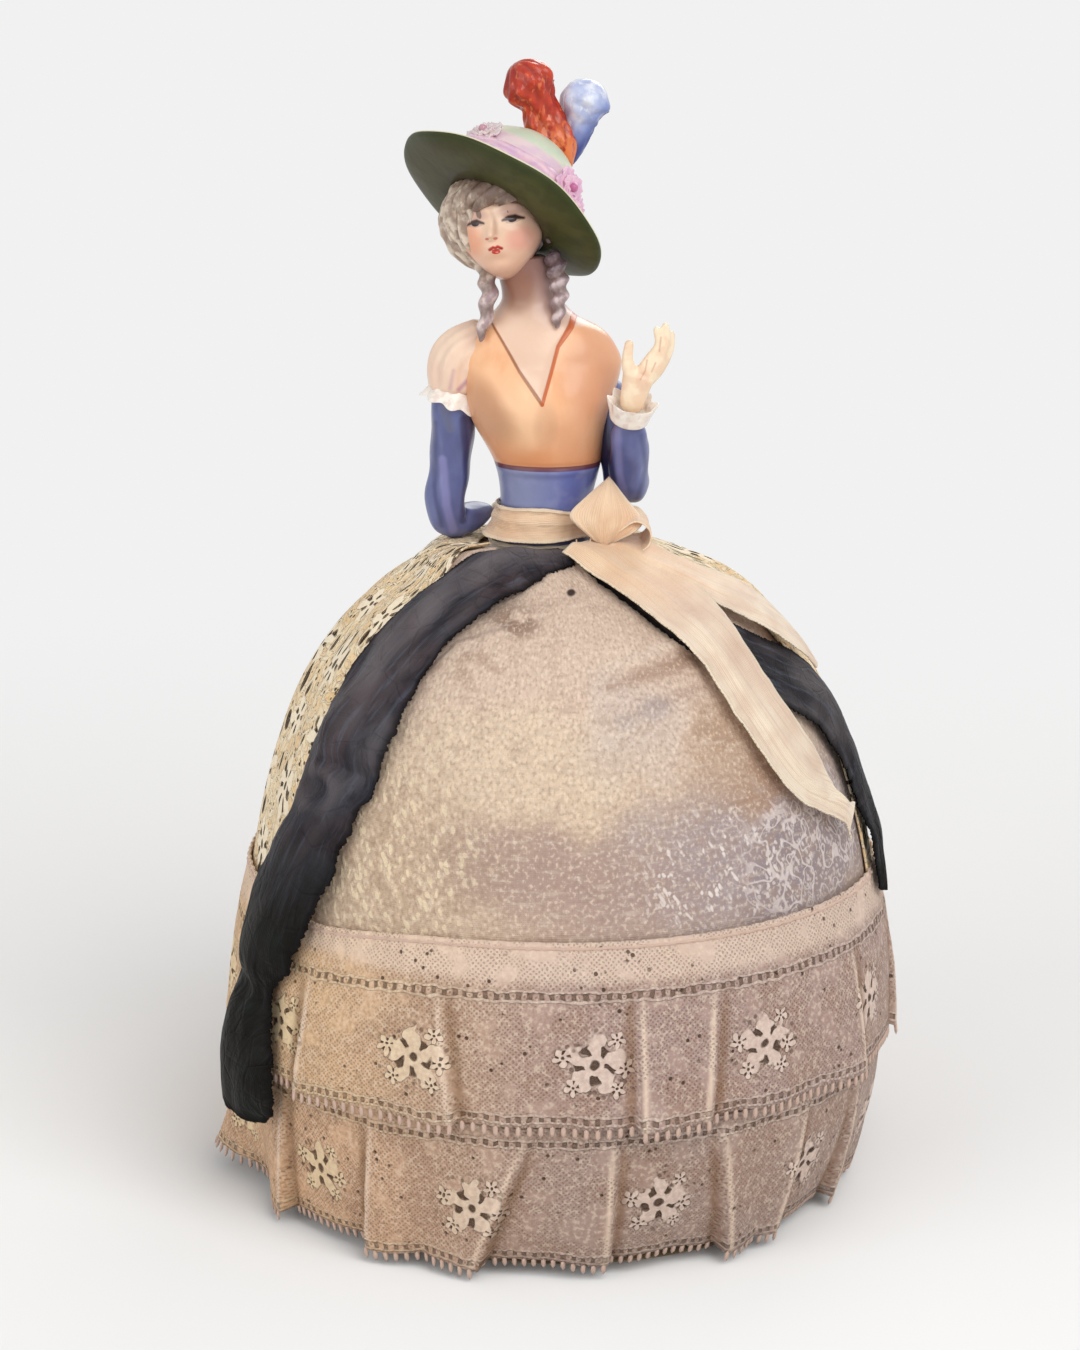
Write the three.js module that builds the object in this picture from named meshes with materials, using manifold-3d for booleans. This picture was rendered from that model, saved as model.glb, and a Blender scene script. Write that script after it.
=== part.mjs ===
// Half doll pincushion: a porcelain lady sewn to a stuffed dome, dressed with silk, lace and ribbons.
// Millimetres, +Z up, the front faces -Y. The origin is the centre of the base cloth's underside.
// Left and right are as seen from the front. An angle round the skirt is 0 in front and grows to the right.
import * as THREE from "three";
import { mergeVertices } from "three/addons/utils/BufferGeometryUtils.js";
import Module from "manifold-3d";

const wasm = await Module();
wasm.setup();

// Clearances
const GAP = 0.3; // between pieces that touch
const DRAPE_GAP = 0.5; // under cloth that crosses folds slantwise

// Base
const FOOT_RADIUS = 57.5;
const BASE_CLOTH = 0.6;
const CARD_THICKNESS = 2;
const COVER_HEM = 8; // cloth turned in under the card

// Cushion
const CUSHION_RADIUS = 70.5;
const BELLY_HEIGHT = 40;
const CROWN_HEIGHT = 104.5; // from the widest line to the peak
const FULLNESS = 3; // 2 is an ellipse, more is fuller shoulders
const COVER_CLOTH = 0.8;
const CROWN_PRESS = 2; // the doll presses the peak flat by this much

// Front panel and overskirt
const SILK = 0.5;
const LACE = 0.6;
const PANEL_FROM = -52;
const PANEL_TO = 72;
const PANEL_FOOT = 68;
const OVERSKIRT_FROM = 62;
const OVERSKIRT_TO = 318;
const OVERSKIRT_FOOT = 71;
const OVERSKIRT_FOLD = 1.4;
const OVERSKIRT_FOOT_FOLD = 0.4;
const OVERSKIRT_FOLDS = 10;
const GATHER_RADIUS = 13.8; // where the cloth stops round the doll's waist
const GATHER_FOLD = 0.5;
const GATHER_PITCH = 15.5; // degrees
const DRAWN_IN = 34; // inside this radius the gathers close round the doll
const SEAT_SLOPE = 12; // how far the cloth takes to come down from her flange

// Flounces
const HEADING_HEIGHT = 76.5;
const UPPER_FOOT = 34.5;
const UPPER_FOLD = 1.5;
const UPPER_FOLDS = 15;
const LOWER_TOP = 44;
const HEM_CLEAR = 0.35; // of the surface that the base stands on
const LOWER_LIFT = 0.7;
const HEM_TUCK = 3.5; // how far the hem is drawn in, least at one side
const HEM_TUCK_MOST = 10.5; // and most opposite
const TUCK_ANGLE = 80;
const PLEAT_DEPTH = 4.5;
const PLEATS = 11;
const PLEAT_TURN = 0.16; // share of a pleat that steps back in
const FLARE_DEPTH = 8.5;
const FLARE_ANGLE = -92;
const FLARE_SPREAD = 11;

// Ribbons
const RIBBON = 0.5;
const BLACK_WIDTH = 19.5;
const TAIL_WIDTH = 15;
const SHORT_TAIL_WIDTH = 13;
const BLACK_RUCK = 1.3;
const OVER_FLOUNCE_LIFT = 5.4;
const SASH_WIDTH = 6.8;
const SASH_FLARE = 4;
const KNOT_SIZE = 2.9;
const UP_LOOP = 12;
const SIDE_LOOP = 11;
const LOOP_WIDTH = 14;
const SIDE_LOOP_WIDTH = 8.5;

// Doll: heights count up from the underside of her flange
const DOLL_SHIFT = -4.5;
const FLANGE_RADIUS = 17;
const FLANGE_THICKNESS = 1.3;
const STITCH = 0.6;
const SEW_HOLE = 0.9;
const SEW_HOLE_RADIUS = 14.6;
const WALL = 2.6;
const HOLLOW_TOP = 30;
const WAIST_HALF = 9.9;
const BELT_HALF = 11.5;
const BUST_HALF = 15.2;
const SHOULDER_HALF = 17.3;
const NECK_RADIUS = 6.3;
const WAIST_HEIGHT = 11;
const BELT_RISE = 9.7;
const BUST_RISE = 11.5;
const SHOULDER_RISE = 10.5;
const NECK_RISE = 14.4;
const ARM_RADIUS = 4.6;
const WRIST_RADIUS = 2.7;
const CUFF_RADIUS = 5;
const CUFF_HEIGHT = 5;

// Head and hat
const HEAD_HALF = 9.1;
const HEAD_DEPTH = 9.2;
const HEAD_TALL = 11;
const HEAD_TILT = 8; // degrees
const HAIR = 1.7;
const BRIM_RADIUS = 24.5;
const BRIM_THICKNESS = 1.6;
const CROWN_RADIUS = 16;
const HAT_HEIGHT = 19.6;
const HAT_BACK = -28; // degrees about X, which lifts the brim's front
const HAT_ROLL = 31; // degrees about Y, which drops the brim's right
const BAND_HEIGHT = 4.2;
const BAND_THICKNESS = 0.9;
const PLUME_BALL = 4.8;
const BLUE_BALL = 4.4;

const { sin, cos, acos, atan2, sqrt, hypot, pow, min, max, exp, round, PI } = Math;
const rad = THREE.MathUtils.degToRad;
const deg = THREE.MathUtils.radToDeg;
const step = THREE.MathUtils.smoothstep;
const mix = THREE.MathUtils.lerp;
const vec = (x, y, z) => new THREE.Vector3(x, y, z);

// Solids and meshes

function solidOf(geometry) {
  const bare = new THREE.BufferGeometry();
  bare.setAttribute("position", geometry.getAttribute("position"));
  bare.setIndex(geometry.index);
  const merged = mergeVertices(bare, 1e-4);
  const corners = merged.index.array;
  const kept = [];
  for (let i = 0; i < corners.length; i += 3) {
    const [a, b, c] = corners.slice(i, i + 3);
    if (a !== b && b !== c && c !== a) kept.push(a, b, c);
  }
  const vertProperties = new Float32Array(merged.getAttribute("position").array);
  const make = (triVerts) => new wasm.Manifold(new wasm.Mesh({ numProp: 3, vertProperties, triVerts }));
  const solid = make(new Uint32Array(kept));
  return solid.volume() > 0 ? solid : make(new Uint32Array(kept.reverse()));
}

function geometryOf(solid) {
  const mesh = solid.getMesh();
  const geometry = new THREE.BufferGeometry();
  geometry.setAttribute("position", new THREE.BufferAttribute(mesh.vertProperties, 3));
  geometry.setIndex(new THREE.BufferAttribute(mesh.triVerts, 1));
  geometry.computeVertexNormals();
  return geometry;
}

function part(parent, name, solid, color, roughness, metalness = 0) {
  const material = new THREE.MeshStandardMaterial({ color, roughness, metalness });
  const mesh = new THREE.Mesh(geometryOf(solid), material);
  mesh.name = name;
  parent.add(mesh);
}

function reshape(geometry, move) {
  const at = geometry.getAttribute("position");
  for (let i = 0; i < at.count; i++) {
    const moved = move(vec(at.getX(i), at.getY(i), at.getZ(i)));
    at.setXYZ(i, moved.x, moved.y, moved.z);
  }
  return geometry;
}

// A smooth value through [place, value] pairs in rising order of place.
function through(pairs) {
  const slope = (i) => {
    const before = pairs[max(i - 1, 0)];
    const after = pairs[min(i + 1, pairs.length - 1)];
    return (after[1] - before[1]) / (after[0] - before[0]);
  };
  return (place) => {
    let i = 0;
    while (i < pairs.length - 2 && place > pairs[i + 1][0]) i++;
    const span = pairs[i + 1][0] - pairs[i][0];
    const t = min(1, max(0, (place - pairs[i][0]) / span));
    const rest = 1 - t;
    const from = pairs[i][1] * (1 + 2 * t) * rest * rest;
    const to = pairs[i + 1][1] * (1 + 2 * rest) * t * t;
    return from + to + span * t * rest * (slope(i) * rest - slope(i + 1) * t);
  };
}

// A closed cloth sheet: place(along, across, side) gives a point for shares from 0 to 1.
function sheet(cols, rows, place) {
  const box = new THREE.BoxGeometry(1, 1, 1, cols, rows, 1);
  return solidOf(reshape(box, (p) => place(p.x + 0.5, p.y + 0.5, p.z + 0.5)));
}

// A closed band of cloth: place(angle, up, side) gives a point, with up and side from 0 to 1.
function band(segments, rows, place) {
  const bore = 10;
  const loop = [];
  for (let i = 0; i <= rows; i++) loop.push(new THREE.Vector2(bore + 1, i));
  for (let i = rows; i >= 0; i--) loop.push(new THREE.Vector2(bore, i));
  loop.push(loop[0].clone());
  const ring = new THREE.LatheGeometry(loop, segments);
  return solidOf(
    reshape(ring, (p) => place(deg(atan2(p.x, p.z)), p.y / rows, round(hypot(p.x, p.z) - bore))),
  );
}

// A turned solid about +Z from [radius, height] pairs.
function turned(pairs, segments) {
  const lathe = new THREE.LatheGeometry(pairs.map(([r, z]) => new THREE.Vector2(r, z)), segments);
  return solidOf(lathe.rotateX(PI / 2));
}

const AHEAD = vec(0, -1, 0);

// A limb along a smooth line, round at both ends. flat squeezes it along the line's front.
function limb({ points, radii, grow = 0, flat = 1, sides = 10, steps = 10, front = AHEAD, ruck = 0 }) {
  const line = new THREE.CatmullRomCurve3(points.map((p) => vec(...p)));
  const radius = through(radii);
  const END = 1 / 6;
  return solidOf(
    reshape(new THREE.SphereGeometry(1, sides, steps), (p) => {
      const polar = acos(min(1, max(-1, p.y)));
      const share = polar / PI;
      const along = line.getTangent(share);
      const side = front.clone().cross(along).normalize();
      const face = along.clone().cross(side);
      const near = 1 - min(1, min(share, 1 - share) / END);
      const lump = 1 + ruck * sin(share * 40) * cos(4 * atan2(p.z, p.x) + share * 9);
      const r = radius(share) * sqrt(1 - near * near) * lump + grow * min(1, 3 * sin(polar));
      const turn = atan2(p.z, p.x);
      return line
        .getPoint(share)
        .addScaledVector(along, -cos(polar) * grow)
        .addScaledVector(side, cos(turn) * r)
        .addScaledVector(face, sin(turn) * r * flat);
    }),
  );
}

// Cushion surface

const SEAT_HEIGHT = BELLY_HEIGHT + CROWN_HEIGHT - CROWN_PRESS;
const DOLL_FOOT = SEAT_HEIGHT + GAP;
const FOOT_DRAW = 1 - (FOOT_RADIUS / CUSHION_RADIUS) ** FULLNESS;

// How much of the radius a level takes away: nothing at the widest line, all of it at the peak.
function drawnIn(z) {
  const up = z - BELLY_HEIGHT;
  return up > 0 ? min(1, up / CROWN_HEIGHT) ** 2 : FOOT_DRAW * (up / BELLY_HEIGHT) ** 2;
}

const radiusAt = (z) => CUSHION_RADIUS * pow(1 - drawnIn(z), 1 / FULLNESS);
const roundedOff = (radius) => sqrt(max(0, 1 - (radius / CUSHION_RADIUS) ** FULLNESS));
const heightAt = (radius) => BELLY_HEIGHT + CROWN_HEIGHT * roundedOff(radius);

// The unit normal in the (radius, height) plane at a point of the surface.
function normalAt(radius, z) {
  const outward = (FULLNESS * (radius / CUSHION_RADIUS) ** (FULLNESS - 1)) / CUSHION_RADIUS;
  const up = z - BELLY_HEIGHT;
  const upward = up > 0 ? (2 * up) / CROWN_HEIGHT ** 2 : (2 * FOOT_DRAW * up) / BELLY_HEIGHT ** 2;
  const long = hypot(outward, upward);
  return [outward / long, upward / long];
}

// Cloth near the doll rides over her flange and its stitches.
const OVER_FLANGE = DOLL_FOOT + FLANGE_THICKNESS + STITCH + 2 * GAP;
const SEAT_RADIUS = FLANGE_RADIUS + STITCH + 2;

// The point of the surface that lies towards the given point from the cushion's heart, lifted off it.
function drape(x, y, z, lift) {
  const out = hypot(x, y);
  const up = z - BELLY_HEIGHT;
  let near = 0.3;
  let far = 3;
  for (let i = 0; i < 30; i++) {
    const scale = (near + far) / 2;
    const taken = drawnIn(BELLY_HEIGHT + up * scale);
    if (((out * scale) / CUSHION_RADIUS) ** FULLNESS + taken > 1) far = scale;
    else near = scale;
  }
  const r = out * near;
  const h = BELLY_HEIGHT + up * near;
  const [outward, upward] = normalAt(r, h);
  const stretch = (r + lift * outward) / max(out, 1e-9);
  const at = vec(x * stretch, y * stretch, h + lift * upward);
  const seat = 1 - step(hypot(at.x - DOLL_SHIFT, at.y), SEAT_RADIUS, SEAT_RADIUS + SEAT_SLOPE);
  at.z = mix(at.z, max(at.z, OVER_FLANGE + lift), seat);
  return at;
}

function onSkirt(angle, z, lift) {
  const r = radiusAt(z);
  const shift = DOLL_SHIFT * (1 - step(r, FLANGE_RADIUS, DRAWN_IN));
  const x = r * sin(rad(angle)) + shift;
  const y = -r * cos(rad(angle));
  return drape(x, y, shift ? heightAt(hypot(x, y)) : z, lift);
}

const GATHER_HEIGHT = heightAt(GATHER_RADIUS);

// Heights from one level of the crown to another, spread along the curve and closer towards the peak.
function between(low, high, share) {
  const along = (z) => z - 2.5 * radiusAt(z);
  const wanted = mix(along(low), along(high), share);
  let [below, above] = [low, high];
  for (let i = 0; i < 40; i++) {
    const z = (below + above) / 2;
    if (along(z) < wanted) below = z;
    else above = z;
  }
  return (below + above) / 2;
}

// Base and cushion

const model = new THREE.Group();

const COVER_FOOT = BASE_CLOTH + GAP;
const CARD_FOOT = COVER_FOOT + COVER_CLOTH + GAP;
const CORE_FOOT = CARD_FOOT + CARD_THICKNESS + GAP;
const CUSHION_SIDES = 28;

// The cushion's outline, sunk by depth, from a given height up to the flat that the doll presses.
function outline(depth, foot) {
  const pairs = [];
  const offset = (z) => {
    const [outward, upward] = normalAt(radiusAt(z), z);
    if (z < BELLY_HEIGHT) return [radiusAt(z) - depth / outward, z];
    return [radiusAt(z) - depth * outward, z - depth * upward];
  };
  const below = 3;
  const above = 7;
  for (let i = 0; i < below; i++) {
    pairs.push(offset(max(foot, mix(COVER_FOOT, BELLY_HEIGHT, i / below))));
  }
  for (let i = 0; i <= above; i++) {
    pairs.push(offset(between(BELLY_HEIGHT, SEAT_HEIGHT, i / above)));
  }
  pairs.push([0, SEAT_HEIGHT - depth]);
  return pairs;
}

function cushionCover() {
  const outer = outline(0, COVER_FOOT);
  const inner = outline(COVER_CLOTH, CARD_FOOT);
  const hemEnd = FOOT_RADIUS - COVER_HEM;
  const hem = [
    [hemEnd, COVER_FOOT + COVER_CLOTH],
    [hemEnd, COVER_FOOT],
  ];
  const corner = [inner[0][0], COVER_FOOT + COVER_CLOTH];
  return turned([...outer.reverse(), ...hem.reverse(), corner, ...inner], CUSHION_SIDES);
}

function cushionCore() {
  const pairs = outline(COVER_CLOTH + GAP, CORE_FOOT);
  return turned([[0, CORE_FOOT], ...pairs], CUSHION_SIDES);
}

function disc(radius, low, thick, sides) {
  const high = low + thick;
  return turned([[0, low], [radius, low], [radius, high], [0, high]], sides);
}

const cardRadius = radiusAt(CARD_FOOT) - COVER_CLOTH - GAP - 1;
part(model, "base_cloth", disc(FOOT_RADIUS - GAP, 0, BASE_CLOTH, CUSHION_SIDES), 0xb9a58a, 0.95);
part(model, "base_card", disc(cardRadius, CARD_FOOT, CARD_THICKNESS, CUSHION_SIDES), 0xa58a63, 0.9);
part(model, "cushion_stuffing", cushionCore(), 0xd8ccb4, 1);
part(model, "cushion_cover", cushionCover(), 0xc9bba9, 0.85);

// Skirt cloth

function gathers(angle, r) {
  const wave = 0.5 + 0.5 * cos((angle / GATHER_PITCH) * 2 * PI);
  return GATHER_FOLD * wave * (1 - step(r, FLANGE_RADIUS + 3, DRAWN_IN + 12));
}

const panelShare = (angle) => {
  const turn = angle > 180 ? angle - 360 : angle;
  return step(turn, PANEL_FROM - 9, PANEL_FROM - 2) * (1 - step(turn, PANEL_TO + 2, PANEL_TO + 9));
};

const panelTop = (angle, r) => GAP + SILK + gathers(angle, r);

function frontPanel() {
  return sheet(24, 9, (along, up, side) => {
    const angle = mix(PANEL_FROM, PANEL_TO, along);
    const z = between(PANEL_FOOT, GATHER_HEIGHT, up);
    return onSkirt(angle, z, GAP + gathers(angle, radiusAt(z)) + side * SILK);
  });
}

// The overskirt falls in folds, and lies flat where it laps over the front panel.
function overskirtFold(angle, along, up) {
  const fold = mix(OVERSKIRT_FOOT_FOLD, OVERSKIRT_FOLD, step(up, 0, 0.4)) * (1 - 0.8 * panelShare(angle));
  return fold * (0.5 - 0.5 * cos(along * OVERSKIRT_FOLDS * 2 * PI)) * (1 - up ** 4);
}

function laceOverskirt() {
  return sheet(OVERSKIRT_FOLDS * 4, 8, (along, up, side) => {
    const angle = mix(OVERSKIRT_FROM, OVERSKIRT_TO, along);
    const z = between(OVERSKIRT_FOOT, GATHER_HEIGHT, up);
    const under = GAP + panelShare(angle) * (panelTop(angle, radiusAt(z)) + DRAPE_GAP - GAP);
    return onSkirt(angle, z, under + overskirtFold(angle, along, up) + side * LACE);
  });
}

part(model, "front_panel", frontPanel(), 0xb7aaa2, 0.75);
part(model, "lace_overskirt", laceOverskirt(), 0xd3bd92, 0.9);

// Flounces

// A pleat swells slowly to the right and steps back in.
function pleat(angle) {
  const place = ((((angle + 17) * PLEATS) / 360) % 1 + 1) % 1;
  const swell = 1 - PLEAT_TURN;
  return place < swell ? step(place, 0, swell) : 1 - step(place, swell, 1);
}

function lowerRadius(angle, z) {
  const fall = (LOWER_TOP - z) / LOWER_TOP;
  const far = (angle - FLARE_ANGLE) / FLARE_SPREAD;
  const flare = FLARE_DEPTH * fall * fall * exp(-far * far);
  const tuck = mix(HEM_TUCK, HEM_TUCK_MOST, 0.5 + 0.5 * cos(rad(angle - TUCK_ANGLE)));
  const base = max(radiusAt(z), CUSHION_RADIUS - tuck * fall * fall) + LOWER_LIFT;
  return base + PLEAT_DEPTH * pow(fall, 1.3) * pleat(angle) + flare;
}

// The upper flounce hangs clear of the cloths that end under its heading.
const UPPER_LIFT = GAP + SILK + DRAPE_GAP + OVERSKIRT_FOOT_FOLD + LACE + GAP;

function upperRadius(angle, z) {
  const hang = radiusAt(max(z, BELLY_HEIGHT)) + UPPER_LIFT;
  const fall = (HEADING_HEIGHT - z) / (HEADING_HEIGHT - UPPER_FOOT);
  const fold = UPPER_FOLD * fall * (0.5 - 0.5 * cos(rad(angle) * UPPER_FOLDS));
  const lower = z < LOWER_TOP + GAP ? lowerRadius(angle, min(z, LOWER_TOP)) + LACE + GAP : 0;
  return max(hang + fold, lower);
}

function flounce(low, high, sides, radius) {
  return band(sides, 4, (angle, up, side) => {
    const z = mix(low, high, up);
    const r = radius(angle, z) + side * LACE;
    return vec(r * sin(rad(angle)), -r * cos(rad(angle)), z);
  });
}

const lowerFlounce = flounce(HEM_CLEAR, LOWER_TOP, 5 * PLEATS, lowerRadius);
const upperFlounce = flounce(UPPER_FOOT, HEADING_HEIGHT, 4 * UPPER_FOLDS, upperRadius);
part(model, "lower_flounce", lowerFlounce, 0xcdb79a, 0.9);
part(model, "upper_flounce", upperFlounce, 0xcfbba3, 0.9);

// Ribbons that lie on the skirt

// A ribbon over the skirt along [angle, share of the crown's rise, lift] points, with widths along it.
function skirtRibbon({ points, widths, cols, rows, ruck = 0 }) {
  const level = (share) => BELLY_HEIGHT + share * CROWN_HEIGHT;
  const way = points.map(([angle, share]) => onSkirt(angle, level(share), 0));
  const line = new THREE.CatmullRomCurve3(way);
  const lift = through(points.map((p, i) => [i / (points.length - 1), p[2]]));
  const width = through(widths);
  return sheet(cols, rows, (along, across, side) => {
    const centre = line.getPoint(along);
    const forward = line.getTangent(along);
    const up = drape(centre.x, centre.y, centre.z, 1).sub(drape(centre.x, centre.y, centre.z, 0));
    const right = forward.clone().cross(up).normalize();
    const edge = centre.addScaledVector(right, (0.5 - across) * width(along));
    const fold = ruck * (0.5 - 0.5 * cos(across * 4 * PI + along * 7)) * (0.7 + 0.3 * sin(along * 23));
    return drape(edge.x, edge.y, edge.z, lift(along) + fold + side * RIBBON);
  });
}

// Lifts of a ribbon over the front panel, and over the overskirt's folds.
const OVER_PANEL = GAP + SILK + GATHER_FOLD + GAP;
const OVER_LACE = GAP + OVERSKIRT_FOLD + LACE + 2 * GAP;

const blackLeft = skirtRibbon({
  points: [
    [12, 0.98, OVER_PANEL],
    [-15, 0.963, OVER_PANEL],
    [-38, 0.926, OVER_LACE],
    [-45.5, 0.823, OVER_LACE],
    [-48, 0.67, OVER_LACE],
    [-52, 0.498, OVER_LACE],
    [-58.5, 0.287, OVER_FLOUNCE_LIFT],
    [-65, 0.077, OVER_FLOUNCE_LIFT],
    [-69.5, -0.105, OVER_FLOUNCE_LIFT + 1.2],
  ],
  widths: [
    [0, 0.5 * BLACK_WIDTH],
    [0.15, 0.75 * BLACK_WIDTH],
    [0.35, BLACK_WIDTH],
    [0.7, BLACK_WIDTH],
    [0.82, 0.7 * BLACK_WIDTH],
    [0.92, 0.85 * BLACK_WIDTH],
    [1, 0.6 * BLACK_WIDTH],
  ],
  cols: 24,
  rows: 4,
  ruck: BLACK_RUCK,
});

const blackRight = skirtRibbon({
  points: [
    [28, 0.972, OVER_PANEL],
    [38, 0.923, OVER_PANEL],
    [51, 0.866, OVER_PANEL + 0.4],
    [61, 0.775, OVER_LACE],
    [69, 0.67, OVER_LACE],
    [75, 0.545, OVER_LACE],
    [78, 0.421, OVER_FLOUNCE_LIFT - 0.8],
    [78, 0.278, OVER_FLOUNCE_LIFT],
  ],
  widths: [
    [0, 0.45 * BLACK_WIDTH],
    [0.35, 0.8 * BLACK_WIDTH],
    [0.6, 0.9 * BLACK_WIDTH],
    [0.8, 0.6 * BLACK_WIDTH],
    [1, 0.25 * BLACK_WIDTH],
  ],
  cols: 18,
  rows: 3,
  ruck: 0.4 * BLACK_RUCK,
});

const OVER_BLACK = 0.4 * BLACK_RUCK + RIBBON + DRAPE_GAP;
const longTail = skirtRibbon({
  points: [
    [25, 0.98, OVER_PANEL + OVER_BLACK],
    [30, 0.928, OVER_PANEL + OVER_BLACK],
    [34.5, 0.856, OVER_PANEL + OVER_BLACK],
    [41, 0.742, OVER_PANEL + OVER_BLACK + 0.3],
    [48.5, 0.627, OVER_PANEL + OVER_BLACK + 0.5],
    [57, 0.507, OVER_LACE + OVER_BLACK],
  ],
  widths: [
    [0, 0.7 * TAIL_WIDTH],
    [0.25, 0.95 * TAIL_WIDTH],
    [0.85, TAIL_WIDTH],
    [1, 0.5 * TAIL_WIDTH],
  ],
  cols: 18,
  rows: 2,
});

const shortTail = skirtRibbon({
  points: [
    [53, 0.978, OVER_PANEL + OVER_BLACK],
    [55, 0.94, OVER_PANEL + OVER_BLACK],
    [61, 0.885, OVER_LACE + OVER_BLACK],
    [67, 0.823, OVER_LACE + OVER_BLACK],
    [71, 0.761, OVER_LACE + OVER_BLACK],
  ],
  widths: [
    [0, 0.65 * SHORT_TAIL_WIDTH],
    [0.4, SHORT_TAIL_WIDTH],
    [0.75, 0.9 * SHORT_TAIL_WIDTH],
    [1, 0.3 * SHORT_TAIL_WIDTH],
  ],
  cols: 12,
  rows: 2,
});

part(model, "black_ribbon_left", blackLeft, 0x1d1f26, 0.45);
part(model, "black_ribbon_right", blackRight, 0x1d1f26, 0.45);
part(model, "sash_tail_long", longTail, 0xd9c2a0, 0.55);
part(model, "sash_tail_short", shortTail, 0xdcc6a5, 0.55);

// Doll

const doll = new THREE.Group();
doll.position.set(DOLL_SHIFT, 0, DOLL_FOOT);
model.add(doll);

const BELT_HEIGHT = WAIST_HEIGHT + BELT_RISE;
const BUST_HEIGHT = BELT_HEIGHT + BUST_RISE;
const SHOULDER_HEIGHT = BUST_HEIGHT + SHOULDER_RISE;
const NECK_HEIGHT = SHOULDER_HEIGHT + NECK_RISE;
const NECK_IN_HEAD = 9;

// Torso sections: height, how far sideways and forwards, half width and half depth.
const SECTIONS = [
  [0, 0.2, 0, FLANGE_RADIUS, 0.92 * FLANGE_RADIUS],
  [FLANGE_THICKNESS, 0.2, 0, FLANGE_RADIUS - 0.3, 0.92 * FLANGE_RADIUS - 0.3],
  [FLANGE_THICKNESS + 1.6, 0.2, 0, WAIST_HALF + 1.4, WAIST_HALF + 0.2],
  [WAIST_HEIGHT, 0.8, 0, WAIST_HALF, 0.9 * WAIST_HALF],
  [BELT_HEIGHT, 1.3, 0, BELT_HALF, 0.86 * BELT_HALF],
  [BUST_HEIGHT, -0.6, -0.9, BUST_HALF, 0.84 * BUST_HALF],
  [SHOULDER_HEIGHT, 0, -0.4, SHOULDER_HALF, 0.66 * SHOULDER_HALF],
  [SHOULDER_HEIGHT + 4, -0.5, 0, SHOULDER_HALF - 0.8, 0.56 * SHOULDER_HALF],
  [SHOULDER_HEIGHT + 7.6, -1.2, 0, 0.82 * SHOULDER_HALF, 0.49 * SHOULDER_HALF],
  [SHOULDER_HEIGHT + 10.6, -1.9, 0, NECK_RADIUS + 3, NECK_RADIUS + 1.6],
  [NECK_HEIGHT, -2.3, 0, NECK_RADIUS, NECK_RADIUS],
  [NECK_HEIGHT + NECK_IN_HEAD, -5, -1.2, NECK_RADIUS - 0.6, NECK_RADIUS - 0.5],
];
const section = [1, 2, 3, 4].map((i) => through(SECTIONS.map((row) => [row[0], row[i]])));

function torso(grow, low, high, sides, rows) {
  const tube = new THREE.CylinderGeometry(1, 1, 1, sides, rows);
  return solidOf(
    reshape(tube, (p) => {
      const z = mix(low, high, p.y + 0.5);
      const [x, y, wide, deep] = section.map((value) => value(z));
      return vec(x + p.x * (wide + grow), y - p.z * (deep + grow), z);
    }),
  );
}

// Four holes in the flange take the stitches that hold the doll down.
const SEW_ANGLES = [45, 135, 225, 315];
const sewPlace = (angle, radius) => [radius * sin(rad(angle)) + 0.2, -0.92 * radius * cos(rad(angle))];

function sewHole(angle) {
  const [x, y] = sewPlace(angle, SEW_HOLE_RADIUS);
  const drill = new THREE.CylinderGeometry(SEW_HOLE, SEW_HOLE, 14, 10).rotateX(PI / 2);
  return solidOf(drill.translate(x, y, 1));
}

const BODY_TOP = NECK_HEIGHT + NECK_IN_HEAD;
const body = (grow) => torso(grow, 0, BODY_TOP + grow, 20, 20);
let bust = body(0).subtract(torso(-WALL, -1, HOLLOW_TOP, 14, 8));
for (const angle of SEW_ANGLES) bust = bust.subtract(sewHole(angle));
part(doll, "bust", bust, 0xe9a878, 0.18);

// A stitch leaves the cover through its hole, crosses the rim and goes back into the cover.
function stitch(angle) {
  const rim = FLANGE_THICKNESS + GAP + STITCH / 2;
  const [ax, ay] = sewPlace(angle, SEW_HOLE_RADIUS);
  const [bx, by] = sewPlace(angle, FLANGE_RADIUS + GAP + STITCH);
  const arch = new THREE.CatmullRomCurve3([
    vec(ax, ay, 0),
    vec(ax, ay, rim - 0.4),
    vec(mix(ax, bx, 0.3), mix(ay, by, 0.3), rim),
    vec(mix(ax, bx, 0.8), mix(ay, by, 0.8), rim),
    vec(bx, by, 0.2),
  ]);
  const outlineOfThread = new THREE.Shape();
  outlineOfThread.absarc(0, 0, STITCH / 2, 0, 2 * PI);
  const settings = { steps: 9, curveSegments: 3, extrudePath: arch, bevelEnabled: false };
  return solidOf(new THREE.ExtrudeGeometry(outlineOfThread, settings));
}

SEW_ANGLES.forEach((angle, i) => part(doll, `flange_stitch_${i + 1}`, stitch(angle), 0xe8e0cf, 0.8));

// Head, hair and hat

const HEAD_AT = vec(-8.8, -3, NECK_HEIGHT + 15);

function headShape(grow) {
  const ball = new THREE.SphereGeometry(1, 20, 13);
  const shaped = reshape(ball, (p) => {
    const chin = step(-p.y, 0.1, 1);
    const nose = 0.14 * exp(-((p.x / 0.14) ** 2) - ((p.y + 0.12) / 0.16) ** 2) * (p.z > 0 ? 1 : 0);
    const wide = (HEAD_HALF + grow) * (1 - 0.2 * chin);
    const deep = (HEAD_DEPTH + grow) * (1 + nose);
    return vec(p.x * wide, -p.z * deep + 0.6 * chin, p.y * (HEAD_TALL + grow));
  });
  return shaped.rotateY(rad(-HEAD_TILT)).translate(...HEAD_AT.toArray());
}

const head = (grow) => solidOf(headShape(grow));

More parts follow.
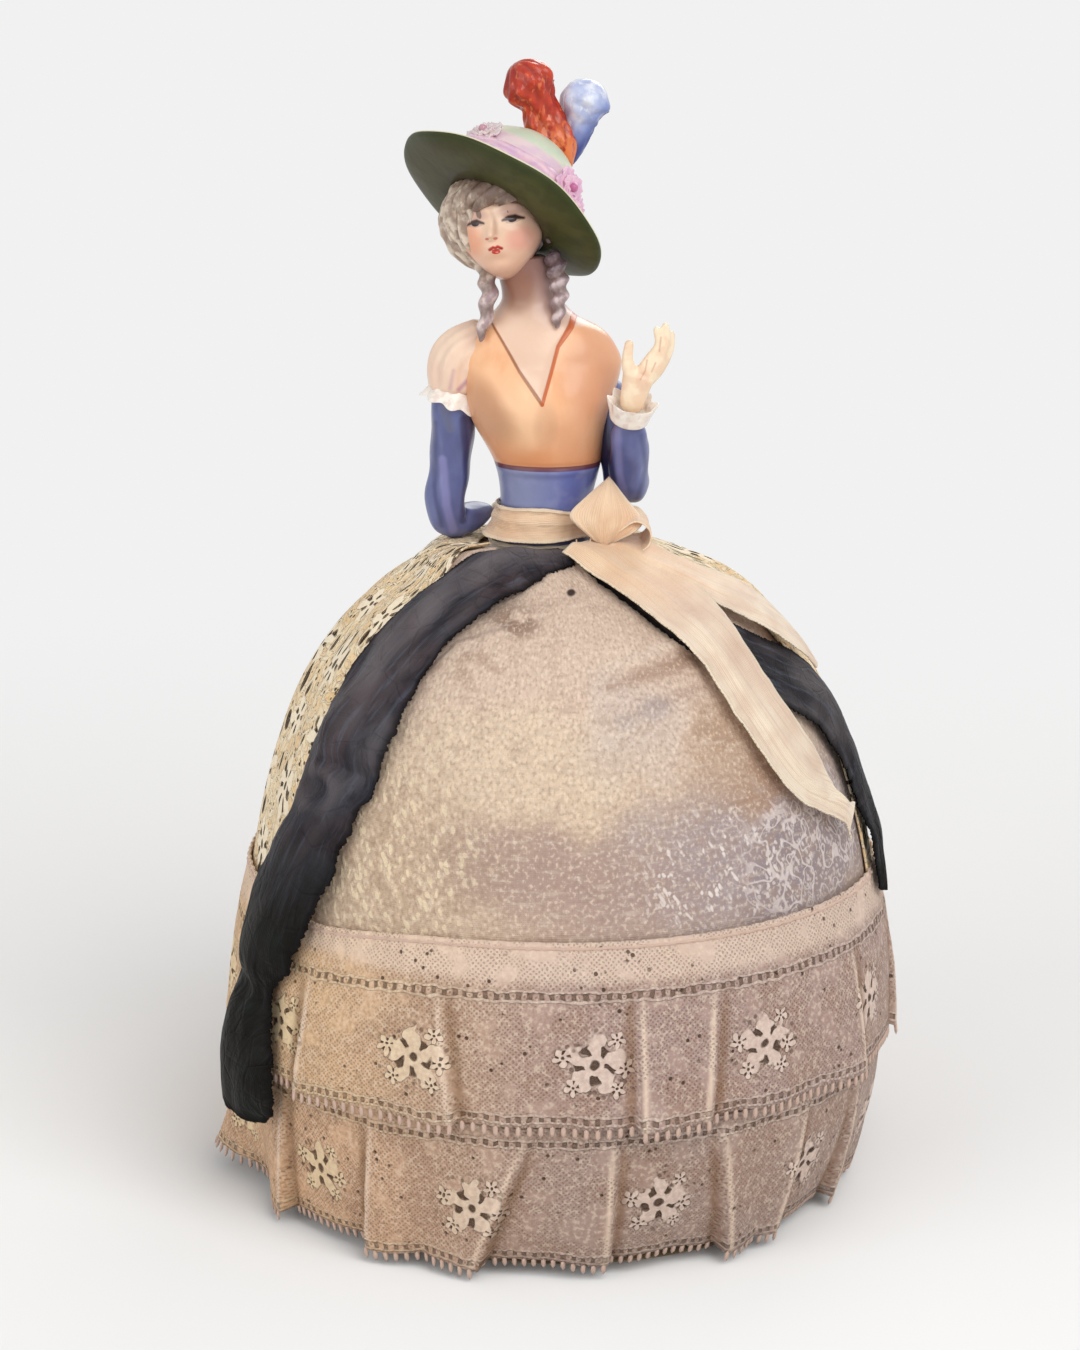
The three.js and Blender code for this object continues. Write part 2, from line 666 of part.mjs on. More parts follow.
function hair(grow) {
  const ball = new THREE.SphereGeometry(1, 18, 11);
  const waved = reshape(ball, (p) => {
    const turn = atan2(p.x, p.z);
    const wave = 1 + 0.035 * sin(7 * turn + 5 * p.y) * sqrt(max(0, 1 - p.y * p.y));
    return vec(
      p.x * (HEAD_HALF + HAIR + 0.6 + grow) * wave,
      -p.z * (HEAD_DEPTH + HAIR - 0.6 + grow) * wave,
      p.y * (HEAD_TALL + 0.3 * HAIR + grow),
    );
  });
  const place = HEAD_AT.clone().add(vec(-1.4, 1.6 * HAIR, 1.1 * HAIR));
  return solidOf(waved.rotateY(rad(-HEAD_TILT)).translate(...place.toArray()));
}

const bodyRoom = body(GAP);
const headRoom = head(GAP);
const hairRoom = hair(GAP);
part(doll, "head", head(0).subtract(bodyRoom), 0xf0c9a6, 0.15);
part(doll, "hair", hair(0).subtract(headRoom).subtract(bodyRoom), 0xcfc4bb, 0.3);

// Ringlets hang from the hair beside the neck.
function ringlet(points, thick) {
  const steps = 22;
  const lobes = 3;
  const line = new THREE.CatmullRomCurve3(points.map((p) => vec(...p)));
  const shape = reshape(new THREE.SphereGeometry(1, 8, steps), (p) => {
    const share = acos(min(1, max(-1, p.y))) / PI;
    const near = 1 - min(1, min(share, 1 - share) * 7);
    const lobe = 0.82 + 0.18 * cos(share * lobes * 2 * PI);
    const r = thick * (1 - 0.25 * share) * lobe * sqrt(1 - near * near);
    const turn = atan2(p.z, p.x);
    return line.getPoint(share).add(vec(r * cos(turn), r * sin(turn), 0));
  });
  return solidOf(shape).subtract(bodyRoom).subtract(headRoom).subtract(hairRoom);
}

const rightRinglet = ringlet(
  [
    [2.6, -4, NECK_HEIGHT + 9],
    [4, -6.4, NECK_HEIGHT + 2],
    [3.4, -8.2, NECK_HEIGHT - 4.5],
  ],
  2.7,
);
const leftRinglet = ringlet(
  [
    [-11.6, -0.8, NECK_HEIGHT + 8.5],
    [-10.4, -3.6, NECK_HEIGHT + 1.5],
    [-12.8, -7, NECK_HEIGHT - 5],
  ],
  2.2,
);
part(doll, "ringlet_right", rightRinglet, 0xb8adb2, 0.3);
part(doll, "ringlet_left", leftRinglet, 0xd9c9bb, 0.3);

// The hat's own frame has its origin at the centre of the brim's underside.
const HAT_AT = HEAD_AT.clone().add(vec(0, 1, 4.7));
const hatTurn = new THREE.Matrix4()
  .makeRotationFromEuler(new THREE.Euler(rad(HAT_BACK), rad(HAT_ROLL), 0, "YXZ"))
  .setPosition(HAT_AT);
const BRIM_CURL = 1.4;
const HAT_SIDES = 24;

function hatShape(grow) {
  const pairs = [[0, HAT_HEIGHT + grow]];
  const STEPS = 5;
  for (let i = 1; i <= STEPS; i++) {
    const turn = rad((i / STEPS) * 80);
    pairs.push([(CROWN_RADIUS + grow) * sin(turn), 2 + (HAT_HEIGHT - 2 + grow) * cos(turn)]);
  }
  pairs.push([CROWN_RADIUS + 1.4 + grow, BRIM_THICKNESS + grow]);
  for (const share of [0.5, 1]) {
    const r = mix(CROWN_RADIUS + 1.4, BRIM_RADIUS - 0.6, share);
    pairs.push([r + grow, BRIM_THICKNESS + grow + BRIM_CURL * share * share]);
  }
  pairs.push([BRIM_RADIUS + grow, BRIM_THICKNESS / 2 + BRIM_CURL]);
  pairs.push([BRIM_RADIUS - 0.8, BRIM_CURL - grow]);
  pairs.push([0.75 * BRIM_RADIUS, 0.2 * BRIM_CURL - grow]);
  pairs.push([0.5 * BRIM_RADIUS, -grow]);
  pairs.push([0, -grow]);
  const lathe = new THREE.LatheGeometry(pairs.map(([r, z]) => new THREE.Vector2(r, z)), HAT_SIDES);
  return lathe.rotateX(PI / 2).applyMatrix4(hatTurn);
}

const hatRoom = solidOf(hatShape(GAP));
const hat = solidOf(hatShape(0)).subtract(headRoom).subtract(hairRoom);
part(doll, "hat", hat, 0x5d6440, 0.25);

function hatBand(grow) {
  const low = BRIM_THICKNESS + 0.9;
  const span = (z) => {
    const rise = min(1, (z - 2) / (HAT_HEIGHT - 2));
    return CROWN_RADIUS * sqrt(1 - max(0, rise) ** 2);
  };
  const pairs = [];
  for (let i = 0; i <= 3; i++) {
    const z = low + (BAND_HEIGHT * i) / 3;
    pairs.push([span(z) + BAND_THICKNESS + GAP + grow, z - grow + (2 * grow * i) / 3]);
  }
  pairs.push([span(low + BAND_HEIGHT) - 1, low + BAND_HEIGHT + grow], [span(low) - 1, low - grow]);
  pairs.push(pairs[0]);
  const lathe = new THREE.LatheGeometry(pairs.map(([r, z]) => new THREE.Vector2(r, z)), HAT_SIDES);
  return solidOf(lathe.rotateX(PI / 2).applyMatrix4(hatTurn));
}

part(doll, "hat_band", hatBand(0).subtract(hatRoom), 0xe3bcc6, 0.25);
const bandRoom = hatBand(GAP);

// A flower on the crown: petals round a ball, squashed against the hat.
function flower(place, size, petals, grow) {
  const ball = new THREE.SphereGeometry(1, 3 * petals, 8);
  const shaped = reshape(ball, (p) => {
    const out = sqrt(max(0, 1 - p.y * p.y));
    const petal = 1 + 0.16 * cos(petals * atan2(p.x, p.z)) * out;
    return p.multiplyScalar(size * petal + grow);
  });
  return solidOf(shaped.rotateX(PI / 2).translate(...place).applyMatrix4(hatTurn));
}

// Flowers: name, place in the hat's frame, size, petals, colour.
const FLOWERS = [
  ["hat_rose_large", [9, -13, 8.2], 4, 5, 0xe79ac0],
  ["hat_rose_small", [13.6, -9.6, 5.6], 3.2, 5, 0xeab3cf],
  ["hat_flower_white", [-11.6, -8.2, 9.8], 3.6, 6, 0xefe6e4],
];
let taken = hatRoom.add(bandRoom);
for (const [name, place, size, petals, color] of FLOWERS) {
  part(doll, name, flower(place, size, petals, 0).subtract(taken), color, 0.25);
  taken = taken.add(flower(place, size, petals, GAP));
}

// Plumes stand at the right of the crown and curl over into a ball.
const PLUME_FOOT = vec(7.2, 1, HAT_HEIGHT - 3).applyMatrix4(hatTurn);

function plume(points, radii, ball, size, grow) {
  const stem = limb({ points, radii, grow, sides: 9, steps: 10, ruck: 0.1 });
  const curl = reshape(new THREE.SphereGeometry(1, 11, 7), (p) => {
    const lump = 1 + 0.06 * sin(9 * atan2(p.x, p.z) + 6 * p.y) * sqrt(max(0, 1 - p.y * p.y));
    return vec(p.x, p.z * 0.85, p.y).multiplyScalar(size * lump + grow).add(ball);
  });
  return stem.add(solidOf(curl));
}

const TOP = PLUME_FOOT.z + 17;
const redBall = vec(PLUME_FOOT.x - 8.8, 4, TOP);
const blueBall = vec(PLUME_FOOT.x + 5.1, 6.5, TOP - 2.4);
const redPoints = [
  PLUME_FOOT.toArray(),
  [PLUME_FOOT.x - 1.2, 4.6, PLUME_FOOT.z + 5.5],
  [PLUME_FOOT.x - 4.2, 4.6, PLUME_FOOT.z + 11],
  [redBall.x + 1, 4, redBall.z - 1],
];
const bluePoints = [
  [PLUME_FOOT.x + 0.8, PLUME_FOOT.y + 1.6, PLUME_FOOT.z],
  [PLUME_FOOT.x + 3.4, 6.6, PLUME_FOOT.z + 7],
  [blueBall.x, 6.5, blueBall.z - 1],
];
const redRadii = [[0, 2], [0.3, 4.2], [0.7, 4.8], [1, 4.2]];
const blueRadii = [[0, 1.2], [0.5, 1.8], [1, 3]];
const redPlume = plume(redPoints, redRadii, redBall, PLUME_BALL, 0).subtract(taken);
const redRoom = plume(redPoints, redRadii, redBall, PLUME_BALL, GAP);
const bluePlume = plume(bluePoints, blueRadii, blueBall, BLUE_BALL, 0).subtract(taken).subtract(redRoom);
part(doll, "plume_red", redPlume, 0xc8492a, 0.3);
part(doll, "plume_blue", bluePlume, 0xb9c6e8, 0.3);

// Arms

const SHOULDER_LEFT = [-18.8, 0.6, SHOULDER_HEIGHT - 1.6];
const SHOULDER_RIGHT = [13.6, 1, SHOULDER_HEIGHT - 3];
const ELBOW_LEFT = [-20.4, 2.2, WAIST_HEIGHT - 2.8];
const HAND_LEFT = [-11.2, 11, WAIST_HEIGHT - 1];
const ELBOW_RIGHT = [18.6, -1.4, WAIST_HEIGHT + 5.4];
const WRIST = [18.8, -12.6, WAIST_HEIGHT + 22.4];
const RAISED_PALM = [20.6, -13.4, WRIST[2] + 9.2];

const meet = (a, b, share) => a.map((value, i) => mix(value, b[i], share));

const loweredArm = (grow) =>
  limb({
    points: [SHOULDER_LEFT, meet(SHOULDER_LEFT, ELBOW_LEFT, 0.5), ELBOW_LEFT, HAND_LEFT],
    radii: [[0, ARM_RADIUS + 0.7], [0.35, ARM_RADIUS], [0.62, ARM_RADIUS - 0.4], [1, WRIST_RADIUS]],
    sides: 10,
    steps: 16,
    front: vec(-1, -0.4, 0),
    grow,
  });

const raisedArm = (grow) =>
  limb({
    points: [
      SHOULDER_RIGHT,
      meet(SHOULDER_RIGHT, ELBOW_RIGHT, 0.5),
      ELBOW_RIGHT,
      meet(ELBOW_RIGHT, WRIST, 0.6),
      WRIST,
    ],
    radii: [
      [0, ARM_RADIUS],
      [0.3, ARM_RADIUS],
      [0.5, ARM_RADIUS - 0.1],
      [0.8, ARM_RADIUS - 0.6],
      [1, WRIST_RADIUS],
    ],
    sides: 10,
    steps: 18,
    front: vec(1, 0, 0),
    grow,
  });

// The short sleeve is the upper share of the lowered arm, swollen over it.
const sleeve = (grow) =>
  limb({
    points: [
      [SHOULDER_LEFT[0] + 9, 0.3, SHOULDER_HEIGHT + 6.5],
      [SHOULDER_LEFT[0] + 1, 0.4, SHOULDER_LEFT[2] + 2.4],
      meet(SHOULDER_LEFT, ELBOW_LEFT, 0.18),
    ],
    radii: [[0, ARM_RADIUS], [0.4, ARM_RADIUS + 1.4], [0.8, ARM_RADIUS + 1.2], [1, ARM_RADIUS + 0.6]],
    front: vec(0, -1, 0),
    grow,
  });

const frillAt = meet(SHOULDER_LEFT, ELBOW_LEFT, 0.17);
function sleeveFrill() {
  const pairs = [
    [2, 1.6],
    [ARM_RADIUS + 0.8, 1.6],
    [ARM_RADIUS + 2, -1.2],
    [ARM_RADIUS + 1.2, -1.6],
    [2, -1.6],
    [2, 1.6],
  ];
  const lathe = new THREE.LatheGeometry(pairs.map(([r, z]) => new THREE.Vector2(r, z)), 24);
  const rippled = reshape(lathe, (p) => {
    const ripple = 1 + (p.y < 0 ? 0.06 * cos(8 * atan2(p.x, p.z)) : 0);
    return vec(p.x * ripple, p.y, p.z * ripple);
  });
  return solidOf(rippled.rotateX(PI / 2).rotateY(rad(20)).translate(...frillAt));
}

const loweredRoom = loweredArm(GAP);
const sleeveRoom = sleeve(GAP);
part(doll, "lowered_arm", loweredArm(0).subtract(bodyRoom).subtract(sleeveRoom), 0x5b68a8, 0.2);
part(doll, "lowered_sleeve", sleeve(0).subtract(bodyRoom), 0xeac7b0, 0.2);
const frillRing = sleeveFrill().subtract(loweredRoom).subtract(sleeveRoom).subtract(bodyRoom);
part(doll, "sleeve_frill", frillRing, 0xf1ece6, 0.25);

const hipHand = (grow) =>
  limb({
    points: [
      HAND_LEFT,
      [HAND_LEFT[0] + 3.4, HAND_LEFT[1] + 1.4, HAND_LEFT[2] - 0.8],
      [HAND_LEFT[0] + 7, HAND_LEFT[1] + 1.8, HAND_LEFT[2] - 2],
    ],
    radii: [[0, WRIST_RADIUS - 0.3], [0.5, WRIST_RADIUS], [1, 1.2]],
    flat: 0.7,
    front: vec(0, 0, 1),
    grow,
  });
part(doll, "lowered_hand", hipHand(0).subtract(loweredRoom).subtract(bodyRoom), 0xf3ddc4, 0.2);

const raisedRoom = raisedArm(GAP);
part(doll, "raised_arm", raisedArm(0).subtract(bodyRoom), 0x5b68a8, 0.2);

// The cuff is a scalloped bowl round the wrist, open upwards.
function cuff() {
  const pairs = [
    [1, -1.5],
    [WRIST_RADIUS + 0.9, -1.5],
    [CUFF_RADIUS, 0.5 * CUFF_HEIGHT],
    [CUFF_RADIUS + 0.2, CUFF_HEIGHT - 1.5],
    [CUFF_RADIUS - 1, CUFF_HEIGHT - 1.9],
    [WRIST_RADIUS + 0.4, 0.2],
    [1, 0],
    [1, -1.5],
  ];
  const lathe = new THREE.LatheGeometry(pairs.map(([r, z]) => new THREE.Vector2(r, z)), 24);
  const scalloped = reshape(lathe, (p) => {
    const rise = step(p.y, 0, CUFF_HEIGHT - 1.5);
    const ripple = 1 + 0.08 * rise * cos(8 * atan2(p.x, p.z));
    return vec(p.x * ripple, p.y, p.z * ripple);
  });
  return solidOf(scalloped.rotateX(PI / 2).rotateY(rad(10)).rotateX(rad(20)).translate(...WRIST));
}

function hand(grow) {
  const palm = limb({
    points: [
      [WRIST[0] + 0.2, WRIST[1] - 0.2, WRIST[2] + 0.6],
      meet(WRIST, RAISED_PALM, 0.6),
      RAISED_PALM,
    ],
    radii: [[0, WRIST_RADIUS - 0.3], [0.4, WRIST_RADIUS + 0.4], [1, WRIST_RADIUS + 1.3]],
    flat: 0.6,
    front: vec(0, -1, 0),
    grow,
  });
  const thumb = limb({
    points: [
      [RAISED_PALM[0] - 1.4, RAISED_PALM[1], RAISED_PALM[2] - 1.6],
      [RAISED_PALM[0] - 2.2, RAISED_PALM[1] - 0.4, RAISED_PALM[2] + 3],
      [RAISED_PALM[0] - 1.6, RAISED_PALM[1] - 0.5, RAISED_PALM[2] + 7.6],
    ],
    radii: [[0, 2], [0.5, 1.5], [1, 1.1]],
    sides: 8,
    grow,
  });
  const fingers = limb({
    points: [
      [RAISED_PALM[0] + 0.8, RAISED_PALM[1], RAISED_PALM[2] - 1.4],
      [RAISED_PALM[0] + 3.8, RAISED_PALM[1], RAISED_PALM[2] + 1.6],
      [RAISED_PALM[0] + 5.6, RAISED_PALM[1] - 0.2, RAISED_PALM[2] + 6.6],
      [RAISED_PALM[0] + 5.9, RAISED_PALM[1] - 0.4, RAISED_PALM[2] + 11.2],
    ],
    radii: [[0, 2.6], [0.45, 2.2], [0.8, 1.6], [1, 1.3]],
    flat: 0.75,
    sides: 8,
    grow,
  });
  return palm.add(thumb).add(fingers);
}

part(doll, "raised_hand", hand(0).subtract(raisedRoom), 0xf3e0c4, 0.2);
const bowl = cuff().subtract(raisedRoom).subtract(hand(GAP)).subtract(bodyRoom);
part(doll, "raised_cuff", bowl, 0xf1ece4, 0.2);

// Sash and bow

const CLOTH_TOP = OVER_FLANGE + SILK + GATHER_FOLD + DRAPE_GAP + LACE + 2 * GAP;
const SASH_FOOT = CLOTH_TOP - DOLL_FOOT;

function sashBand(grow) {
  return band(32, 3, (angle, up, side) => {
    const z = SASH_FOOT - grow + (SASH_WIDTH + 2 * grow) * up;
    const [x, y, wide, deep] = section.map((value) => value(z));
    const away = GAP + SASH_FLARE * (1 - up) * (1 - up) + side * RIBBON + (side ? grow : -grow);
    return vec(x + (wide + away) * sin(rad(angle)), y - (deep + away) * cos(rad(angle)), z);
  });
}

const armsRoom = loweredRoom.add(raisedRoom).add(hipHand(GAP));
const sash = sashBand(0).subtract(armsRoom);
part(doll, "waist_sash", sash, 0xdcc8ac, 0.55);

// The thread that gathers the skirt lies round the waist inside the cloth's top edge.
function waistThread() {
  const low = SASH_FOOT - GAP - STITCH - 0.4;
  const STEPS = 5;
  const shape = [];
  for (let i = 0; i <= STEPS; i++) {
    const turn = (i / STEPS) * 2 * PI;
    shape.push(new THREE.Vector2(10 + cos(turn), sin(turn)));
  }
  const torus = new THREE.LatheGeometry(shape, 24);
  return solidOf(
    reshape(torus, (p) => {
      const angle = atan2(p.x, p.z);
      const across = ((hypot(p.x, p.z) - 10) * STITCH) / 2;
      const z = low + (p.y * STITCH) / 2;
      const [x, y, wide, deep] = section.map((value) => value(low));
      const away = 2 * GAP + STITCH / 2 + across;
      return vec(x + (wide + away) * sin(angle), y - (deep + away) * cos(angle), z);
    }),
  ).subtract(bodyRoom);
}

part(doll, "waist_thread", waistThread(), 0xe6dcc6, 0.8);

// The knot stands off the sash's foot, low enough to touch the front panel.
const KNOT_ANGLE = 38;
const KNOT_HEIGHT = OVER_FLANGE + OVER_PANEL + 0.8 * KNOT_SIZE - DOLL_FOOT;
const [kx, ky, kw, kd] = section.map((value) => value(KNOT_HEIGHT));
const knotReach = SASH_FLARE + RIBBON + KNOT_SIZE;
const KNOT_AT = vec(
  kx + (kw + knotReach) * sin(rad(KNOT_ANGLE)),
  ky - (kd + knotReach) * cos(rad(KNOT_ANGLE)),
  KNOT_HEIGHT,
);

function knot(grow) {
  const ball = reshape(new THREE.SphereGeometry(1, 15, 8), (p) => {
    const crease = 1 - 0.08 * cos(5 * atan2(p.x, p.z)) * sqrt(max(0, 1 - p.y * p.y));
    return vec(p.x * crease * 0.95, p.y * crease * 0.8, p.z * 1.05).multiplyScalar(KNOT_SIZE + grow);
  });
  return solidOf(ball.translate(...KNOT_AT.toArray()));
}

const sashRoom = sashBand(GAP);
const knotRoom = knot(GAP);
part(doll, "bow_knot", knot(0).subtract(sashRoom).subtract(bodyRoom), 0xd8c1a2, 0.55);

// A bow loop: ribbon that leaves the knot, turns at its tip and comes back, with widths from knot to tip.
function bowLoop({ reach, open, widths, pitch, lean }) {
  const lies = new THREE.Euler(rad(lean), rad(-pitch), 0, "YXZ");
  const width = through(widths);
  const path = (turn) => {
    const gape = open * sin(turn) * (0.35 + 0.65 * sin(turn / 2)) + GAP * cos(turn / 2);
    return new THREE.Vector2(KNOT_SIZE * 0.4 + reach * sin(turn / 2), gape);
  };
  return sheet(16, 2, (along, across, side) => {
    const turn = along * 2 * PI;
    const forward = path(turn + 0.01).sub(path(turn - 0.01)).normalize();
    const at = path(turn).add(new THREE.Vector2(-forward.y, forward.x).multiplyScalar(side * RIBBON));
    return vec(at.x, (across - 0.5) * width(sin(turn / 2)), at.y).applyEuler(lies).add(KNOT_AT);
  });
}

const upLoop = bowLoop({
  reach: UP_LOOP,
  open: 2.2,
  widths: [[0, 0.35 * LOOP_WIDTH], [0.4, LOOP_WIDTH], [1, 0.25 * LOOP_WIDTH]],
  pitch: 72,
  lean: 78,
});
const sideLoop = bowLoop({
  reach: SIDE_LOOP,
  open: 3.4,
  widths: [[0, 0.5 * SIDE_LOOP_WIDTH], [0.5, SIDE_LOOP_WIDTH], [1, SIDE_LOOP_WIDTH]],
  pitch: 14,
  lean: 12,
});
const trimRoom = knotRoom.add(sashRoom).add(bodyRoom).add(armsRoom);
part(doll, "bow_loops", upLoop.add(sideLoop).subtract(trimRoom), 0xdfcaac, 0.55);

export default model;
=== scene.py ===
from math import acos, atan2, cos, degrees, exp, hypot, pi, radians, sin, sqrt

import bmesh
import bpy
from mathutils import Euler, Matrix, Vector
from mathutils import noise as field


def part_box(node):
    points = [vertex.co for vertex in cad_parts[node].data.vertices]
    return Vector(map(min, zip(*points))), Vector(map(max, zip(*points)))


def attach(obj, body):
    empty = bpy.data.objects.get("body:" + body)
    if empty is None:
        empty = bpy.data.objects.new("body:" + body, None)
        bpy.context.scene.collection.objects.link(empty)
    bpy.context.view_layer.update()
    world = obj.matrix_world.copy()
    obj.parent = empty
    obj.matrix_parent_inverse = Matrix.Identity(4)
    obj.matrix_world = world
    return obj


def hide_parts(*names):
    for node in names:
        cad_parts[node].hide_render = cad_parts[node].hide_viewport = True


# Looks of the half doll pincushion: cloth, lace and ribbon over a stuffed dome, and a glazed porcelain lady.
# Lengths are millimetres until a mesh is made. Left and right are as seen from the front.

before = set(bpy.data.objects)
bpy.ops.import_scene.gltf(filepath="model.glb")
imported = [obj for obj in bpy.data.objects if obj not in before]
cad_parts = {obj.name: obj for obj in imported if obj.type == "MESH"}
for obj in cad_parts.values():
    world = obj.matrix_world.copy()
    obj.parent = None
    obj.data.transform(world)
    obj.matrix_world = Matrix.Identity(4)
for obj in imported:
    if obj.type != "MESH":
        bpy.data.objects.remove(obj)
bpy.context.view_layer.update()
scene = bpy.context.scene
scene.view_settings.view_transform = "Standard"
MM = 0.001

# Camera of the photograph

camera_data = bpy.data.cameras.new("camera")
camera_data.sensor_fit = "VERTICAL"
camera_data.sensor_height = 36
camera_data.lens = 93.84
camera = bpy.data.objects.new("camera", camera_data)
scene.collection.objects.link(camera)
camera.location = (-0.00488, -0.7568, 0.3045)
camera.rotation_euler = (radians(76), 0, 0)
scene.camera = camera

# Plain maths


def mix(a, b, share):
    return a + (b - a) * share


def clamp(x, low=0.0, high=1.0):
    return min(high, max(low, x))


def ease(x, low, high):
    t = clamp((x - low) / (high - low))
    return t * t * (3 - 2 * t)


def hill(x, at, width):
    return exp(-(((x - at) / width) ** 2))


def wander(x, y, size, seed=0.0):
    """Smooth noise from -1 to 1."""
    return field.noise(Vector((x / size + 31.7 * seed, y / size, 7.3 * seed)))


def through(pairs):
    """A smooth value through [place, value] pairs in rising order of place."""

    def slope(i):
        before = pairs[max(i - 1, 0)]
        after = pairs[min(i + 1, len(pairs) - 1)]
        return (after[1] - before[1]) / (after[0] - before[0])

    def value(place):
        i = 0
        while i < len(pairs) - 2 and place > pairs[i + 1][0]:
            i += 1
        span = pairs[i + 1][0] - pairs[i][0]
        t = clamp((place - pairs[i][0]) / span)
        rest = 1 - t
        ends = pairs[i][1] * (1 + 2 * t) * rest * rest + pairs[i + 1][1] * (1 + 2 * rest) * t * t
        return ends + span * t * rest * (slope(i) * rest - slope(i + 1) * t)

    return value


class Line:
    """A smooth line through points, with a point and a direction at each share of its points."""

    def __init__(self, points):
        points = [Vector(p) for p in points]
        before = 2 * points[0] - points[1]
        after = 2 * points[-1] - points[-2]
        self.points = [before, *points, after]
        self.spans = len(points) - 1

    def at(self, share):
        place = clamp(share) * self.spans
        i = min(int(place), self.spans - 1)
        t = place - i
        p0, p1, p2, p3 = self.points[i : i + 4]
        d0, d1, d2 = (max((b - a).length, 1e-4) ** 0.5 for a, b in ((p0, p1), (p1, p2), (p2, p3)))
        leave = ((p1 - p0) / d0 - (p2 - p0) / (d0 + d1) + (p2 - p1) / d1) * d1
        reach = ((p2 - p1) / d1 - (p3 - p1) / (d1 + d2) + (p3 - p2) / d2) * d1
        bend = 3 * (p2 - p1) - 2 * leave - reach
        turn = 2 * (p1 - p2) + leave + reach
        return p1 + leave * t + bend * t * t + turn * t * t * t

    def along(self, share):
        low, high = clamp(share - 1e-3), clamp(share + 1e-3)
        return (self.at(high) - self.at(low)).normalized()


def patch(rows):
    """A smooth surface through rows of points: a function of the shares along the rows and across them."""
    lines = [Line(row) for row in rows]

    def place(along, across):
        return Line([line.at(along) for line in lines]).at(across)

    return place


# Shader tools


def srgb(red, green, blue):
    """A colour as it is seen on a screen, from 0 to 255, as the linear one that a shader takes."""
    shares = (c / 255 for c in (red, green, blue))
    return (*(((s + 0.055) / 1.055) ** 2.4 for s in shares), 1.0)


class Value:
    """What a socket gives. Arithmetic on it adds Math nodes."""

    def __init__(self, paint, socket):
        self.paint = paint
        self.socket = socket

    def math(self, operation, *values):
        return self.paint.add("Math", {"operation": operation}, *values)

    def __add__(self, other):
        return self.math("ADD", self, other)

    def __sub__(self, other):
        return self.math("SUBTRACT", self, other)

    def __rsub__(self, other):
        return self.math("SUBTRACT", other, self)

    def __mul__(self, other):
        return self.math("MULTIPLY", self, other)

    def __truediv__(self, other):
        return self.math("DIVIDE", self, other)

    def __pow__(self, other):
        return self.math("POWER", self, other)

    def __mod__(self, other):
        return self.math("FLOORED_MODULO", self, other)

    def __abs__(self):
        return self.math("ABSOLUTE", self)

    __radd__ = __add__
    __rmul__ = __mul__

    def wave(self, pitch):
        """A cosine of that pitch, from 0 to 1, with 1 where the value is a multiple of the pitch."""
        return self.math("COSINE", self * (2 * pi / pitch)) * 0.5 + 0.5

    def tile(self, pitch, start=0.0):
        """The distance from the nearest of the places start + n * pitch."""
        return (self + (pitch / 2 - start)) % pitch - pitch / 2

    def above(self, low, high):
        """0 below low and 1 above high, with a soft edge between."""
        kind = {"interpolation_type": "SMOOTHSTEP"}
        return self.paint.add("MapRange", kind, self, low, high, 0.0, 1.0)

    def within(self, middle, half, soft):
        """1 within half of the middle, with a soft edge outside it."""
        return 1 - abs(self - middle).above(half, half + soft)

    def clamped(self):
        return self.highest(0.0).lowest(1.0)

    def highest(self, other):
        return self.math("MAXIMUM", self, other)

    def lowest(self, other):
        return self.math("MINIMUM", self, other)


